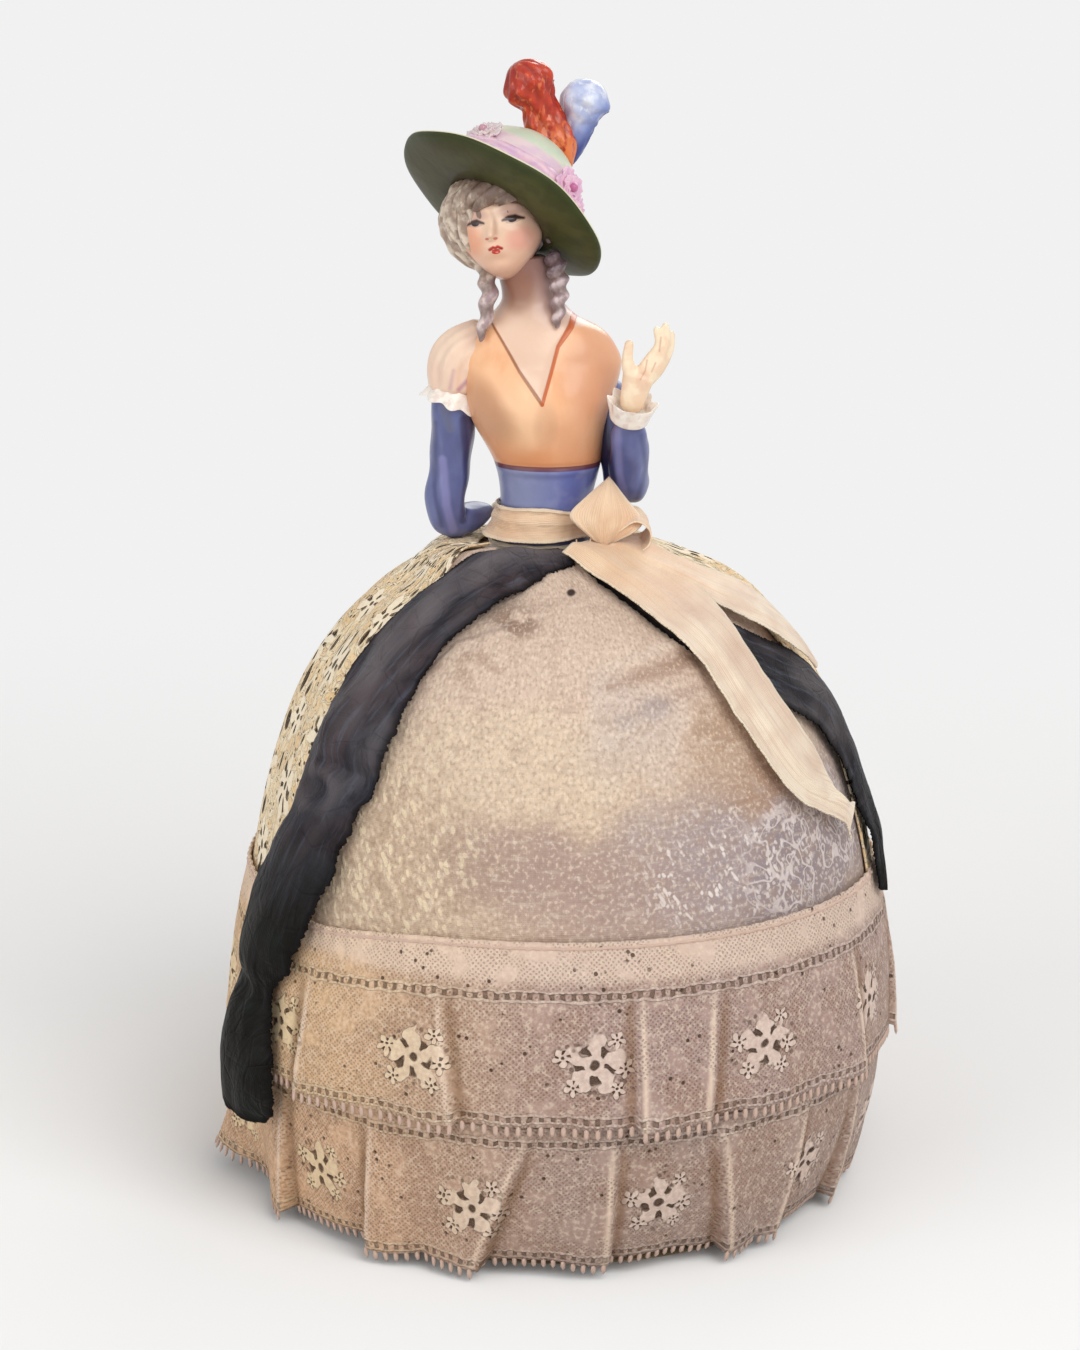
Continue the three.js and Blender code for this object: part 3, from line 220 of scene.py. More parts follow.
class Paint:
    """A material in the making."""

    def __init__(self, name):
        self.material = bpy.data.materials.new(name)
        self.material.use_nodes = True
        self.tree = self.material.node_tree
        self.tree.nodes.clear()
        place = self.add("TexCoord", out="Object")
        self.mm = self.add("VectorMath", {"operation": "SCALE"}, place, Scale=1000.0)

    def add(self, kind, settings=None, *values, out=0, **named):
        """Adds a node with its settings, links or sets its inputs, and gives one output."""
        node = self.tree.nodes.new("ShaderNode" + kind)
        for key, value in (settings or {}).items():
            setattr(node, key, value)
        for socket, value in [*zip(node.inputs, values), *((node.inputs[k], v) for k, v in named.items())]:
            if isinstance(value, Value):
                self.tree.links.new(value.socket, socket)
            else:
                socket.default_value = value
        return Value(self, node.outputs[out]) if len(node.outputs) else None

    def split(self, vector):
        return [self.add("SeparateXYZ", None, vector, out=i) for i in range(3)]

    def join(self, x, y, z=0.0):
        return self.add("CombineXYZ", None, x, y, z)

    def local(self, matrix):
        """Millimetres in the frame of a piece that the matrix turned and placed."""
        settings = {"vector_type": "TEXTURE"}
        turn = tuple(matrix.to_euler("XYZ"))
        return self.add("Mapping", settings, self.mm, Location=tuple(matrix.translation), Rotation=turn)

    def weave(self):
        """Millimetres along and across the cloth."""
        return self.add("UVMap", {"uv_map": "Weave"})

    def mark(self, name):
        return self.add("Attribute", {"attribute_name": name}, out="Fac")

    def noise(self, size, detail=2.0, where=None, stretch=None, rough=0.5):
        """Noise about 0.5 whose lumps are about that many millimetres."""
        where = where or self.mm
        if stretch:
            where = self.add("VectorMath", {"operation": "MULTIPLY"}, where, stretch)
        return self.add("TexNoise", None, where, Scale=1 / size, Detail=detail, Roughness=rough)

    def cells(self, size, feature="F1", where=None, random=1.0):
        settings = {"feature": feature}
        where = where or self.mm
        return self.add("TexVoronoi", settings, where, Scale=1 / size, Randomness=random, out="Distance")

    def blend(self, share, a, b):
        """Colour a where share is 0 and b where it is 1."""
        node = self.tree.nodes.new("ShaderNodeMix")
        node.data_type = "RGBA"
        for socket, value in zip((node.inputs[0], node.inputs[6], node.inputs[7]), (share, a, b)):
            if isinstance(value, Value):
                self.tree.links.new(value.socket, socket)
            else:
                socket.default_value = value
        return Value(self, node.outputs[2])

    def layers(self, ground, *coats):
        """The ground colour under coats of (share, colour)."""
        for share, colour in coats:
            ground = self.blend(share, ground, colour)
        return ground

    def finish(self, colour, roughness, height=None, alpha=1.0, **fixed):
        """The surface. height is in millimetres, and fixed are sockets that are the same all over."""
        settings = {"Base Color": colour, "Roughness": roughness, "Alpha": alpha}
        if height is not None:
            settings["Normal"] = self.add("Bump", None, Strength=1.0, Distance=MM, Height=height)
        settings.update({key.replace("_", " "): value for key, value in fixed.items()})
        surface = self.add("BsdfPrincipled", None, **settings)
        self.add("OutputMaterial", None, surface)
        return self.material


def stroke(u, v, points, half, soft=0.15):
    """1 near a line through points in the plane of u and v. half may differ from point to point."""
    halves = half if isinstance(half, (list, tuple)) else [half] * len(points)
    nearest = None
    for (a, b), (thin, thick) in zip(zip(points, points[1:]), zip(halves, halves[1:])):
        wide, tall = b[0] - a[0], b[1] - a[1]
        share = (((u - a[0]) * wide + (v - a[1]) * tall) / (wide * wide + tall * tall)).clamped()
        du = u - a[0] - share * wide
        dv = v - a[1] - share * tall
        depth = (du * du + dv * dv) ** 0.5 - (share * (thick - thin) + thin)
        nearest = depth if nearest is None else nearest.lowest(depth)
    return 1 - nearest.above(-soft, soft)


# Mesh tools


def shown(bm, name, materials, smooth=True, rides=True):
    """Makes the mesh, in millimetres, a piece of the scene. All but the floor ride on the one body."""
    mesh = bpy.data.meshes.new(name)
    bmesh.ops.scale(bm, vec=(MM, MM, MM), verts=bm.verts)
    bm.to_mesh(mesh)
    bm.free()
    for material in materials if isinstance(materials, list) else [materials]:
        mesh.materials.append(material)
    mesh.polygons.foreach_set("use_smooth", [smooth] * len(mesh.polygons))
    piece = bpy.data.objects.new(name, mesh)
    scene.collection.objects.link(piece)
    if rides:
        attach(piece, "root")
    return piece


def stands_for(piece, slot, *nodes):
    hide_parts(*nodes)


def marked(bm, name, values):
    layer = bm.verts.layers.float.new(name)
    for vert, value in zip(bm.verts, values):
        vert[layer] = value


def thicken(piece, thickness, side=1.0):
    """Cloth of that thickness. Its weave's own surface is the inner one where side is 1."""
    wall = piece.modifiers.new("thickness", "SOLIDIFY")
    wall.thickness = thickness * MM
    wall.offset = side
    wall.use_quality_normals = True


def cloth(name, cols, rows, place, weave, material, thickness, wrap=False, marks=None):
    """A sheet: place gives a point, weave the place in the cloth, and marks (tone, edge), for two shares."""
    bm = bmesh.new()
    bmesh.ops.create_grid(bm, x_segments=cols, y_segments=rows, size=0.5)
    shares = [(clamp(v.co.x + 0.5), clamp(v.co.y + 0.5)) for v in bm.verts]
    layer = bm.loops.layers.uv.new("Weave")
    for face in bm.faces:
        for loop in face.loops:
            loop[layer].uv = weave(*shares[loop.vert.index])
    if marks:
        values = [marks(*share) for share in shares]
        marked(bm, "Tone", [v[0] for v in values])
        marked(bm, "Edge", [v[1] for v in values])
    for vert, share in zip(bm.verts, shares):
        vert.co = place(*share)
    if wrap:
        bmesh.ops.remove_doubles(bm, verts=bm.verts, dist=1e-3)
    piece = shown(bm, name, material)
    thicken(piece, thickness)
    return piece


def ball(move, sides=32, rings=24):
    """A sphere whose points on the unit sphere are moved. move gives a point, or a point and a tone."""
    bm = bmesh.new()
    bmesh.ops.create_uvsphere(bm, u_segments=sides, v_segments=rings, radius=1)
    tones = []
    for vert in bm.verts:
        moved = move(vert.co.copy())
        point, tone = moved if isinstance(moved, tuple) else (moved, 0.0)
        vert.co = point
        tones.append(tone)
    marked(bm, "Tone", tones)
    bmesh.ops.recalc_face_normals(bm, faces=bm.faces)
    return bm


def limb(points, radii, flat=1.0, sides=28, rings=44, front=(0, -1, 0), detail=None, cap=1 / 6):
    """A closed limb along a smooth line, round at both ends. detail(share, turn) gives (swell, tone)."""
    line = Line(points)
    radius = through(radii)
    front = Vector(front)

    def move(p):
        share = acos(clamp(p.z, -1, 1)) / pi
        turn = atan2(p.y, p.x)
        along = line.along(share)
        side = front.cross(along).normalized()
        face = along.cross(side)
        near = 1 - min(1, min(share, 1 - share) / cap)
        swell, tone = detail(share, turn) if detail else (0.0, 0.0)
        r = radius(share) * sqrt(max(0, 1 - near * near)) * (1 + swell)
        return line.at(share) + side * cos(turn) * r + face * sin(turn) * r * flat, tone

    return ball(move, sides, rings)


def join(*meshes):
    """Several bmeshes as one, with their tones."""
    whole = bmesh.new()
    for part in meshes:
        held = bpy.data.meshes.new("part")
        part.to_mesh(held)
        part.free()
        whole.from_mesh(held)
        bpy.data.meshes.remove(held)
    return whole


def spun(profile, sides):
    """A mesh turned about +Z from [radius, height] pairs."""
    bm = bmesh.new()
    verts = [bm.verts.new((r, 0, z)) for r, z in profile]
    edges = [bm.edges.new(pair) for pair in zip(verts, verts[1:])]
    axis = {"axis": (0, 0, 1), "cent": (0, 0, 0), "angle": 2 * pi}
    bmesh.ops.spin(bm, geom=verts + edges, steps=sides, use_merge=True, **axis)
    bmesh.ops.remove_doubles(bm, verts=bm.verts, dist=1e-4)
    bmesh.ops.recalc_face_normals(bm, faces=bm.faces)
    return bm


def rounded(piece, levels=1):
    """Smooths the piece by subdivision, as much in the viewport as in the render."""
    smooth = piece.modifiers.new("smooth", "SUBSURF")
    smooth.levels = levels
    smooth.render_levels = levels


# Cushion surface, as the solids have it

GAP = 0.3
FOOT_RADIUS = 57.5
CUSHION_RADIUS = 70.5
BELLY_HEIGHT = 40
CROWN_HEIGHT = 104.5
FULLNESS = 3
FLANGE_RADIUS = 17
DOLL_SHIFT = -4.5
DRAWN_IN = 34
DOLL_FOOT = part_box("bust")[0].z / MM
SEAT_HEIGHT = DOLL_FOOT - GAP
OVER_FLANGE = DOLL_FOOT + 1.3 + 0.6 + 2 * GAP
SEAT_RADIUS = 19.6
SEAT_SLOPE = 12
FOOT_DRAW = 1 - (FOOT_RADIUS / CUSHION_RADIUS) ** FULLNESS


def drawn_in(z):
    up = z - BELLY_HEIGHT
    return min(1, up / CROWN_HEIGHT) ** 2 if up > 0 else FOOT_DRAW * (up / BELLY_HEIGHT) ** 2


def radius_at(z):
    return CUSHION_RADIUS * max(0, 1 - drawn_in(z)) ** (1 / FULLNESS)


def height_at(radius):
    return BELLY_HEIGHT + CROWN_HEIGHT * sqrt(max(0, 1 - (radius / CUSHION_RADIUS) ** FULLNESS))


def normal_at(radius, z):
    outward = FULLNESS * (radius / CUSHION_RADIUS) ** (FULLNESS - 1) / CUSHION_RADIUS
    up = z - BELLY_HEIGHT
    upward = 2 * up / CROWN_HEIGHT**2 if up > 0 else 2 * FOOT_DRAW * up / BELLY_HEIGHT**2
    long = hypot(outward, upward)
    return outward / long, upward / long


def drape(point, lift):
    """The surface's point towards the given one from the cushion's heart, lifted off it."""
    out = hypot(point.x, point.y)
    up = point.z - BELLY_HEIGHT
    near, far = 0.3, 3.0
    for _ in range(24):
        scale = (near + far) / 2
        if (out * scale / CUSHION_RADIUS) ** FULLNESS + drawn_in(BELLY_HEIGHT + up * scale) > 1:
            far = scale
        else:
            near = scale
    r = out * near
    h = BELLY_HEIGHT + up * near
    outward, upward = normal_at(r, h)
    stretch = (r + lift * outward) / max(out, 1e-9)
    at = Vector((point.x * stretch, point.y * stretch, h + lift * upward))
    seat = 1 - ease(hypot(at.x - DOLL_SHIFT, at.y), SEAT_RADIUS, SEAT_RADIUS + SEAT_SLOPE)
    at.z = mix(at.z, max(at.z, OVER_FLANGE + lift), seat)
    return at


def on_skirt(angle, z, lift):
    r = radius_at(z)
    shift = DOLL_SHIFT * (1 - ease(r, FLANGE_RADIUS, DRAWN_IN))
    x = r * sin(radians(angle)) + shift
    y = -r * cos(radians(angle))
    return drape(Vector((x, y, height_at(hypot(x, y)) if shift else z)), lift)


def between(low, high, share):
    """Heights from one level of the crown to another, spread along the curve."""

    def along(z):
        return z - 2.5 * radius_at(z)

    wanted = mix(along(low), along(high), share)
    below, above = low, high
    for _ in range(30):
        z = (below + above) / 2
        if along(z) < wanted:
            below = z
        else:
            above = z
    return (below + above) / 2


def spread(low, high, count):
    return [between(low, high, i / count) for i in range(count + 1)]


# Cloths


def petals(paint, u, v, count, size, turned=0.0):
    """An embroidered flower about u, v = 0: its petals, and the holes between and inside them."""
    r = (u * u + v * v) ** 0.5
    angle = paint.add("Math", {"operation": "ARCTAN2"}, u, v) + turned
    lobe = angle.wave(2 * pi / count)
    reach = lobe * (0.36 * size) + 0.64 * size
    petal = (reach - r).above(0, 0.12 * size)
    slit = (1 - lobe).above(0.68, 0.9) * r.within(0.46 * size, 0.1 * size, 0.08 * size)
    tip = (1 - lobe).above(0.6, 0.85) * r.within(0.86 * size, 0.05 * size, 0.08 * size)
    eye = 1 - r.above(0.07 * size, 0.16 * size)
    return petal, slit.highest(eye).highest(tip)


def beading(u, v, at, pitch, half):
    """A row of openings between two raised cords: the cords, and the openings."""
    cord = v.within(at + half, 0.2, 0.25).highest(v.within(at - half, 0.2, 0.25))
    cord = cord * (0.45 + u.wave(pitch / 2) * 0.55)
    holes = v.within(at, 0.5 * half, 0.25) * u.wave(pitch).above(0.5, 0.72)
    return cord, holes


def flounce_lace(name, rows, flowers, sprig, left_tint, right_tint):
    """Net lace with flowers in a row, beading, warm at the left and grey at the right, darker where it has
    aged.

    rows are beading lines (height, pitch, half height), flowers (count, angle, height, size, petals).
    """
    paint = Paint(name)
    place = paint.weave()
    stray = paint.noise(3.2, 1) - 0.5
    drift = paint.noise(2.6, 1, paint.join(*paint.split(place)[1::-1])) - 0.5
    u, v, _ = paint.split(place)
    u = u + stray * 1.5
    v = v + drift * 1.5
    x, y, z = paint.split(paint.mm)
    tone = paint.mark("Tone")
    grain = paint.noise(1.0, 2)
    solid = stray * 0.0
    holes = stray * 0.0
    for at, pitch, half in rows:
        cord, opening = beading(u, v, at, pitch, half)
        solid = solid.highest(cord * 0.8)
        holes = holes.highest(opening * (grain.above(0.3, 0.6) * 0.35 + 0.45))
    for count, angle, height, size, lobes in flowers:
        pitch = 360 / count * SKIRT_DEGREE
        du = u.tile(pitch, angle * SKIRT_DEGREE)
        dv = v - height
        near = 1 - ((du * du + dv * dv * 1.4) ** 0.5).above(size * 1.05, size * 1.5)
        petal, cut = petals(paint, du, dv, lobes, size, stray * 1.2)
        solid = solid.highest(petal * (1 - cut))
        ring = near * (1 - petal) * paint.cells(1.9, where=place).above(0.34, 0.2) * 0.6
        holes = (holes * (1 - petal)).highest(cut * petal).highest(ring)
        for side, drop, share in sprig:
            bud, eye = petals(paint, du - side, dv - drop, 5, size * share, 0.6)
            solid = solid.highest(bud * (1 - eye))
            holes = (holes * (1 - bud)).highest(eye * bud)
    patchy = paint.noise(6.5, 2)
    diagonal = (u + v).wave(1.15) * (u - v).wave(1.15)
    net = diagonal.above(0.4, 0.62) * patchy.above(0.36, 0.5)
    pierced = paint.cells(2.7, where=place).above(0.19, 0.11) * patchy.above(0.46, 0.54)
    holes = holes.highest(pierced * (1 - solid))
    opening = (net * (1 - solid) * 0.7).highest(holes)
    left = x.above(10, -66)
    worn = paint.noise(13, 3).above(0.42, 0.62)
    ground = paint.blend(left, right_tint, left_tint)
    ground = paint.layers(
        ground,
        (worn * 0.35, srgb(172, 138, 116)),
        (grain.above(0.5, 0.66) * 0.4, srgb(240, 220, 196)),
        (grain.above(0.5, 0.34) * 0.35, srgb(156, 124, 100)),
    )
    raised = paint.blend(left, srgb(234, 212, 198), srgb(242, 220, 178))
    heading = z.above(66.5, 70)
    ground = paint.blend(heading * 0.6, ground, srgb(240, 216, 196))
    colour = paint.blend(solid * (grain * 0.8 + 0.28), ground, raised)
    # Openings are painted brown as painted shade of what lies beneath. Tone gives a painted highlight on each
    # flap's edge and painted shade in the step beside it.
    colour = paint.layers(
        colour,
        (holes * 0.65, srgb(122, 90, 66)),
        (tone.above(0.5, 1.0) * 0.75, srgb(244, 220, 198)),
        (tone.above(0.5, 0.0) * 0.6, srgb(134, 96, 62)),
    )
    thread = paint.noise(0.35, 1) * 0.12
    height = solid * 0.45 + thread - opening * 0.3
    alpha = 1 - holes.highest(opening * 0.6) * 0.75
    return paint.finish(colour, 0.85, height, alpha, Sheen_Weight=0.08, Specular_IOR_Level=0.2)


# Millimetres round the skirt to a degree.
SKIRT_DEGREE = radians(1) * (CUSHION_RADIUS + 2)
# The small dark spot near the top of the panel.
DOT = (1.7, 141.4)


def oval(x, z, middle, half, soft):
    """1 inside an oval of the skirt as the front sees it, with a soft edge."""
    across = (x - middle[0]) / half[0]
    up = (z - middle[1]) / half[1]
    return 1 - (across * across + up * up).above(1 - soft, 1 + soft)


def panel_silk():
    """Aged silk under fine figured net: pale leaves at the left, lilac with white sprigs at the right."""
    paint = Paint("panel_silk")
    place = paint.weave()
    u, v, _ = paint.split(place)
    x, y, z = paint.split(paint.mm)
    cloud = paint.noise(10, 3)
    patchy = paint.noise(4.5, 3)
    fine = paint.noise(1.0, 3, place)
    threads = paint.noise(1.6, 2, place, (0.25, 1.4, 1.0))
    blur = (cloud - 0.5) * 16
    bx, bz = x + blur, z - blur
    colour = paint.blend(z.above(88, 128), srgb(208, 183, 160), srgb(222, 197, 178))
    colour = paint.blend(oval(bx, bz, (-8, 111), (26, 11), 1.0) * 0.55, colour, srgb(232, 210, 180))
    colour = paint.blend(oval(bx, bz, (14, 117), (11, 9), 1.0) * 0.5, colour, srgb(206, 192, 186))
    colour = paint.layers(
        colour,
        (x.above(12, 42) * z.within(80, 20, 14) * 0.6, srgb(180, 160, 154)),
        (oval(bx, bz, (38, 88), (32, 15), 1.0) * 0.8, srgb(160, 146, 152)),
        (oval(bx, bz, (54, 84), (15, 13), 0.9) * 0.6, srgb(134, 122, 130)),
        (oval(bx, bz, (-8, 91), (20, 8), 1.0) * 0.7, srgb(168, 142, 132)),
        (oval(bx, bz, (6, 84), (18, 11), 1.0) * 0.65, srgb(174, 148, 140)),
        (oval(bx, bz, (-40, 92), (16, 20), 1.0) * 0.45, srgb(226, 200, 168)),
        (oval(bx, bz, (37, 110), (10, 12), 1.0) * 0.6, srgb(190, 158, 132)),
        (oval(x, z, (30, 115), (6, 5), 1.0) * patchy.above(0.4, 0.6) * 0.6, srgb(178, 142, 112)),
        (oval(x, z, (42, 103), (7, 6), 1.0) * patchy.above(0.35, 0.6) * 0.7, srgb(168, 130, 104)),
        # Painted shade along two drag folds near the top, with a painted highlight on the ridge above the
        # upper one.
        (
            stroke(x, z, [(27, 129.5), (18, 127.5), (9, 125.5)], [2.2, 1.6, 0.5], 1.6) * 0.7,
            srgb(158, 122, 102),
        ),
        (stroke(x, z, [(26, 133.5), (17, 131), (8, 129)], [1.2, 1.0, 0.4], 1.2) * 0.45, srgb(240, 222, 206)),
        (
            stroke(x, z, [(27, 123.5), (18, 121.5), (10, 119)], [1.4, 1.0, 0.4], 1.4) * 0.45,
            srgb(166, 136, 122),
        ),
        (oval(x, z, (19, 121), (3.4, 2.2), 1.0) * 0.45, srgb(158, 150, 158)),
        (oval(x, z, (13, 119), (2.4, 1.6), 1.0) * 0.3, srgb(164, 156, 160)),
        (oval(x, z, (-10, 136.5), (5, 2.6), 1.0) * patchy.above(0.4, 0.55) * 0.85, srgb(126, 94, 76)),
        (oval(x, z, (-20, 130), (9, 5), 1.0) * patchy.above(0.45, 0.6) * 0.5, srgb(164, 132, 110)),
        (patchy.above(0.52, 0.7) * 0.3, srgb(190, 162, 144)),
        (fine.above(0.52, 0.66) * 0.5, srgb(240, 222, 202)),
        (fine.above(0.48, 0.34) * 0.45, srgb(160, 134, 116)),
        (threads.above(0.55, 0.7) * 0.25, srgb(236, 220, 204)),
    )
    stray = paint.noise(2.4, 1, place) - 0.5
    crepe = paint.cells(1.25, where=place)
    colour = paint.blend(crepe.above(0.42, 0.6) * (patchy * 0.35 + 0.04), colour, srgb(166, 140, 122))
    colour = paint.blend(crepe.above(0.25, 0.1) * (patchy * 0.3 + 0.03), colour, srgb(238, 220, 200))
    bent = paint.join(u + stray * 2.2, (v - stray * 2.2) * 0.8 + u * 0.3)
    rice = paint.cells(2.0, where=bent)
    leaf = rice.above(0.4, 0.24)
    speck = rice.above(0.5, 0.66)
    left_field = oval(bx, bz, (-40, 90), (22, 20), 1.0).highest(oval(bx, bz, (-32, 114), (12, 14), 1.0) * 0.5)
    colour = paint.blend(speck * left_field * 0.3, colour, srgb(146, 116, 90))
    colour = paint.blend(leaf * left_field * (fine * 0.8 + 0.4), colour, srgb(240, 220, 186))
    sprig_field = oval(bx, bz, (32, 88), (17, 11), 1.0) * patchy.above(0.36, 0.5)
    vine_field = oval(bx, bz, (52, 87), (16, 12), 0.8)
    buds = paint.cells(1.5, where=bent).above(0.42, 0.22)
    scroll = abs(paint.noise(6.5, 1, place) - 0.5).above(0.035, 0.012)
    scroll = scroll.highest(abs(paint.noise(5.2, 1, place) - 0.42).above(0.03, 0.01))
    colour = paint.layers(
        colour,
        (buds * sprig_field * 0.9, srgb(240, 228, 222)),
        (scroll * vine_field * 0.8, srgb(226, 212, 208)),
        (buds * vine_field * 0.5, srgb(230, 218, 216)),
    )
    # A painted shade line along the edge of a fold, with a slight groove.
    fold_line_shade = stroke(x, z, [(-42, 112), (-35.8, 120), (-22.6, 132.5), (-11.7, 136)], 0.28, 0.3)
    fold_line_shade = fold_line_shade * (1 - y.above(-20, 0))
    colour = paint.blend(fold_line_shade * 0.45, colour, srgb(150, 128, 122))
    dot = 1 - ((x - DOT[0]) ** 2 + ((z - DOT[1]) * 1.7) ** 2).above(0.3, 1.3)
    front = 1 - y.above(-20, 0)
    colour = paint.blend(dot * front, colour, srgb(62, 44, 38))
    weave = u.wave(0.42) * v.wave(0.42) * 0.05
    pattern = (leaf * left_field).highest(buds * sprig_field).highest(scroll * vine_field)
    height = weave + pattern * 0.14 + patchy * 0.5 + fine * 0.16 - dot * front * 0.3 - fold_line_shade * 0.2
    return paint.finish(colour, 0.7, height, Sheen_Weight=0.12, Sheen_Roughness=0.4, Specular_IOR_Level=0.3)


def gold_lace():
    """Cream to gold openwork: rows of braided flowers on a ground of scrolls, bars and open slots."""
    paint = Paint("gold_lace")
    place = paint.weave()
    drift = paint.noise(12, 1, place) - 0.5
    u, v, _ = paint.split(place)
    bent_u = u + drift * 8
    bent_v = v + (paint.noise(9, 1) - 0.5) * 6
    wide = paint.join(bent_u, bent_v * 0.45)
    large, large_cut = petals(paint, bent_u.tile(23.0), bent_v.tile(29.0, 9.0), 6, 7.6)
    small, small_cut = petals(paint, bent_u.tile(23.0, 11.5), bent_v.tile(29.0, 23.5), 5, 6.2, 0.5)
    flower = large.highest(small)
    cuts = (large * large_cut).highest(small * small_cut)
    seed = paint.cells(4.2, where=wide, random=0.9)
    slot = seed.above(0.31, 0.21) * (1 - flower)
    rim = seed.above(0.5, 0.36) * (1 - slot)
    pin = paint.cells(1.9, where=place).above(0.27, 0.17) * (1 - flower)
    fan = (bent_v + bent_u.wave(9.0) * 3.0).wave(4.6).above(0.66, 0.82) * (1 - flower)
    scroll = abs(paint.noise(4.2, 1, place) - 0.5).above(0.05, 0.02)
    tint = paint.noise(16, 2)
    grain = paint.noise(0.9, 2, place)
    braid = flower * (1 - cuts)
    colour = paint.blend(tint.above(0.35, 0.65), srgb(250, 222, 178), srgb(238, 202, 150))
    colour = paint.layers(
        colour,
        (grain.above(0.5, 0.65) * 0.5, srgb(244, 230, 204)),
        (grain.above(0.48, 0.34) * 0.35, srgb(190, 150, 102)),
        (scroll.highest(rim) * 0.6, srgb(250, 234, 202)),
        (fan * 0.45, srgb(250, 236, 208)),
        (braid * (grain * 0.5 + 0.5), srgb(252, 240, 216)),
    )
    # The see-through slots, pin holes and cuts are painted dark brown as painted shade of what lies beneath.
    hole = slot.highest(pin * (1 - rim) * (1 - scroll)).highest(cuts)
    colour = paint.blend(hole * 0.9, colour, srgb(66, 40, 24))
    height = rim.highest(scroll).highest(braid) * 0.45 + fan * 0.3 + grain * 0.15 - hole * 0.5
    return paint.finish(colour, 0.8, height, 1 - hole * 0.7, Sheen_Weight=0.08, Specular_IOR_Level=0.2)


def ribbed_silk(name, light, shade, pitch=0.42, sheen=0.4):
    """Ribbed ribbon: painted shade in its folds, peach at the waist, and a painted highlight on its raised
    edges.
    """
    paint = Paint(name)
    u, v, _ = paint.split(paint.weave())
    tone = paint.mark("Tone")
    edge = paint.mark("Edge")
    streak = paint.noise(1.0, 3, paint.weave(), (0.07, 1.6, 1.0))
    tint = paint.noise(9, 3)
    colour = paint.blend(tint.above(0.35, 0.7) * 0.5, light, shade)
    colour = paint.blend(streak.above(0.48, 0.66) * 0.4, colour, shade)
    # Painted shade in the folds, from the ribbon's Tone.
    colour = paint.blend(tone * 0.7, colour, shade)
    _, _, z = paint.split(paint.mm)
    colour = paint.blend(z.above(136, 146) * 0.5, colour, srgb(238, 190, 142))
    # A painted highlight along the edges, which are also raised and rougher.
    selvedge_highlight = 1 - edge.above(0.25, 0.7)
    colour = paint.blend(selvedge_highlight * 0.55, colour, srgb(244, 230, 204))
    height = v.wave(pitch) * 0.07 + u.wave(0.5) * 0.02 + streak * 0.12 + selvedge_highlight * 0.12
    rough = 0.42 + streak * 0.2 + selvedge_highlight * 0.15
    alpha = (edge + paint.noise(0.5, 2, paint.weave()) * 0.35).above(0.1, 0.2)
    return paint.finish(colour, rough, height, alpha, Sheen_Weight=sheen, Sheen_Roughness=0.35)


def black_silk():
    """Crumpled black silk: painted navy and plum sheen, fine creases and frayed edges, deeper black low down.
    """
    paint = Paint("black_silk")
    u, v, _ = paint.split(paint.weave())
    x, y, z = paint.split(paint.mm)
    tone = paint.mark("Tone")
    edge = paint.mark("Edge")
    crease = paint.cells(5.5, "DISTANCE_TO_EDGE", paint.weave())
    streak = paint.noise(1.3, 3, paint.weave(), (0.12, 1.3, 1.0))
    cloud = paint.noise(12, 2)
    # Painted sheen: the ground is grey up high and near black low down.
    high = z.above(70, 108)
    ground = paint.blend(cloud.above(0.38, 0.62), srgb(58, 57, 64), srgb(60, 50, 54))
    ground = paint.blend(x.above(24, 44) * 0.75, ground, srgb(24, 22, 26))
    ground = paint.blend(high, srgb(13, 10, 4), ground)
    crushed = paint.noise(4.5, 3, paint.weave(), (0.6, 1.2, 1.0))
    # Painted shade in the crushed creases up high.
    ground = paint.blend(crushed.above(0.52, 0.42) * high * 0.55, ground, srgb(24, 22, 28))
    green = paint.noise(7, 2).above(0.5, 0.7) * (1 - high)
    ground = paint.blend(green * 0.4, ground, srgb(16, 28, 24))
    # Painted navy sheen on the streaks and painted plum-grey highlights on the folds, strongest up high.
    colour = paint.blend(streak.above(0.5, 0.72) * (high * 0.45 + 0.08), ground, srgb(82, 88, 102))
    colour = paint.blend(tone * (high * 0.55 + 0.1), colour, srgb(124, 116, 118))
    fluff = 1 - edge.above(0.4, 2.2)
    colour = paint.blend(fluff * 0.85, colour, srgb(14, 10, 10))
    height = streak * 0.4 + crease.above(0.0, 0.08) * 0.2 + v.wave(0.36) * 0.03 + paint.noise(2.2, 3) * 0.6
    rough = 0.5 + cloud * 0.14 + fluff * 0.3
    fray = paint.noise(0.8, 3, paint.weave(), (1.0, 0.25, 1.0)) * 1.7
    alpha = (edge - fray + 0.45).above(0.0, 0.12)
    return paint.finish(colour, rough, height, alpha, Sheen_Weight=0.0, Specular_IOR_Level=0.14)


def plain_cloth(name, light, shade, pitch=0.7):
    """Plain-woven cloth, soiled in patches."""
    paint = Paint(name)
    x, y, z = paint.split(paint.mm)
    grid = (x + y * 0.3).wave(pitch) * (z + y * 0.7).wave(pitch)
    soiled = paint.noise(17, 3).above(0.4, 0.7)
    colour = paint.blend(soiled, light, shade)
    colour = paint.blend(grid * 0.25, colour, srgb(226, 212, 190))
    height = grid * 0.12 + paint.noise(0.6, 2) * 0.12
    return paint.finish(colour, 0.9, height, Sheen_Weight=0.1, Specular_IOR_Level=0.2)


def twisted_thread(name, light, shade):
    """Spun thread whose plies turn round it."""
    paint = Paint(name)
    x, y, z = paint.split(paint.mm)
    turn = (x + y + z * 2.0 + paint.noise(1.5, 1) * 0.5).wave(0.55)
    colour = paint.blend(turn * 0.7, light, shade)
    return paint.finish(colour, 0.7, turn * 0.08 + paint.noise(0.3, 2) * 0.06, Sheen_Weight=0.2)


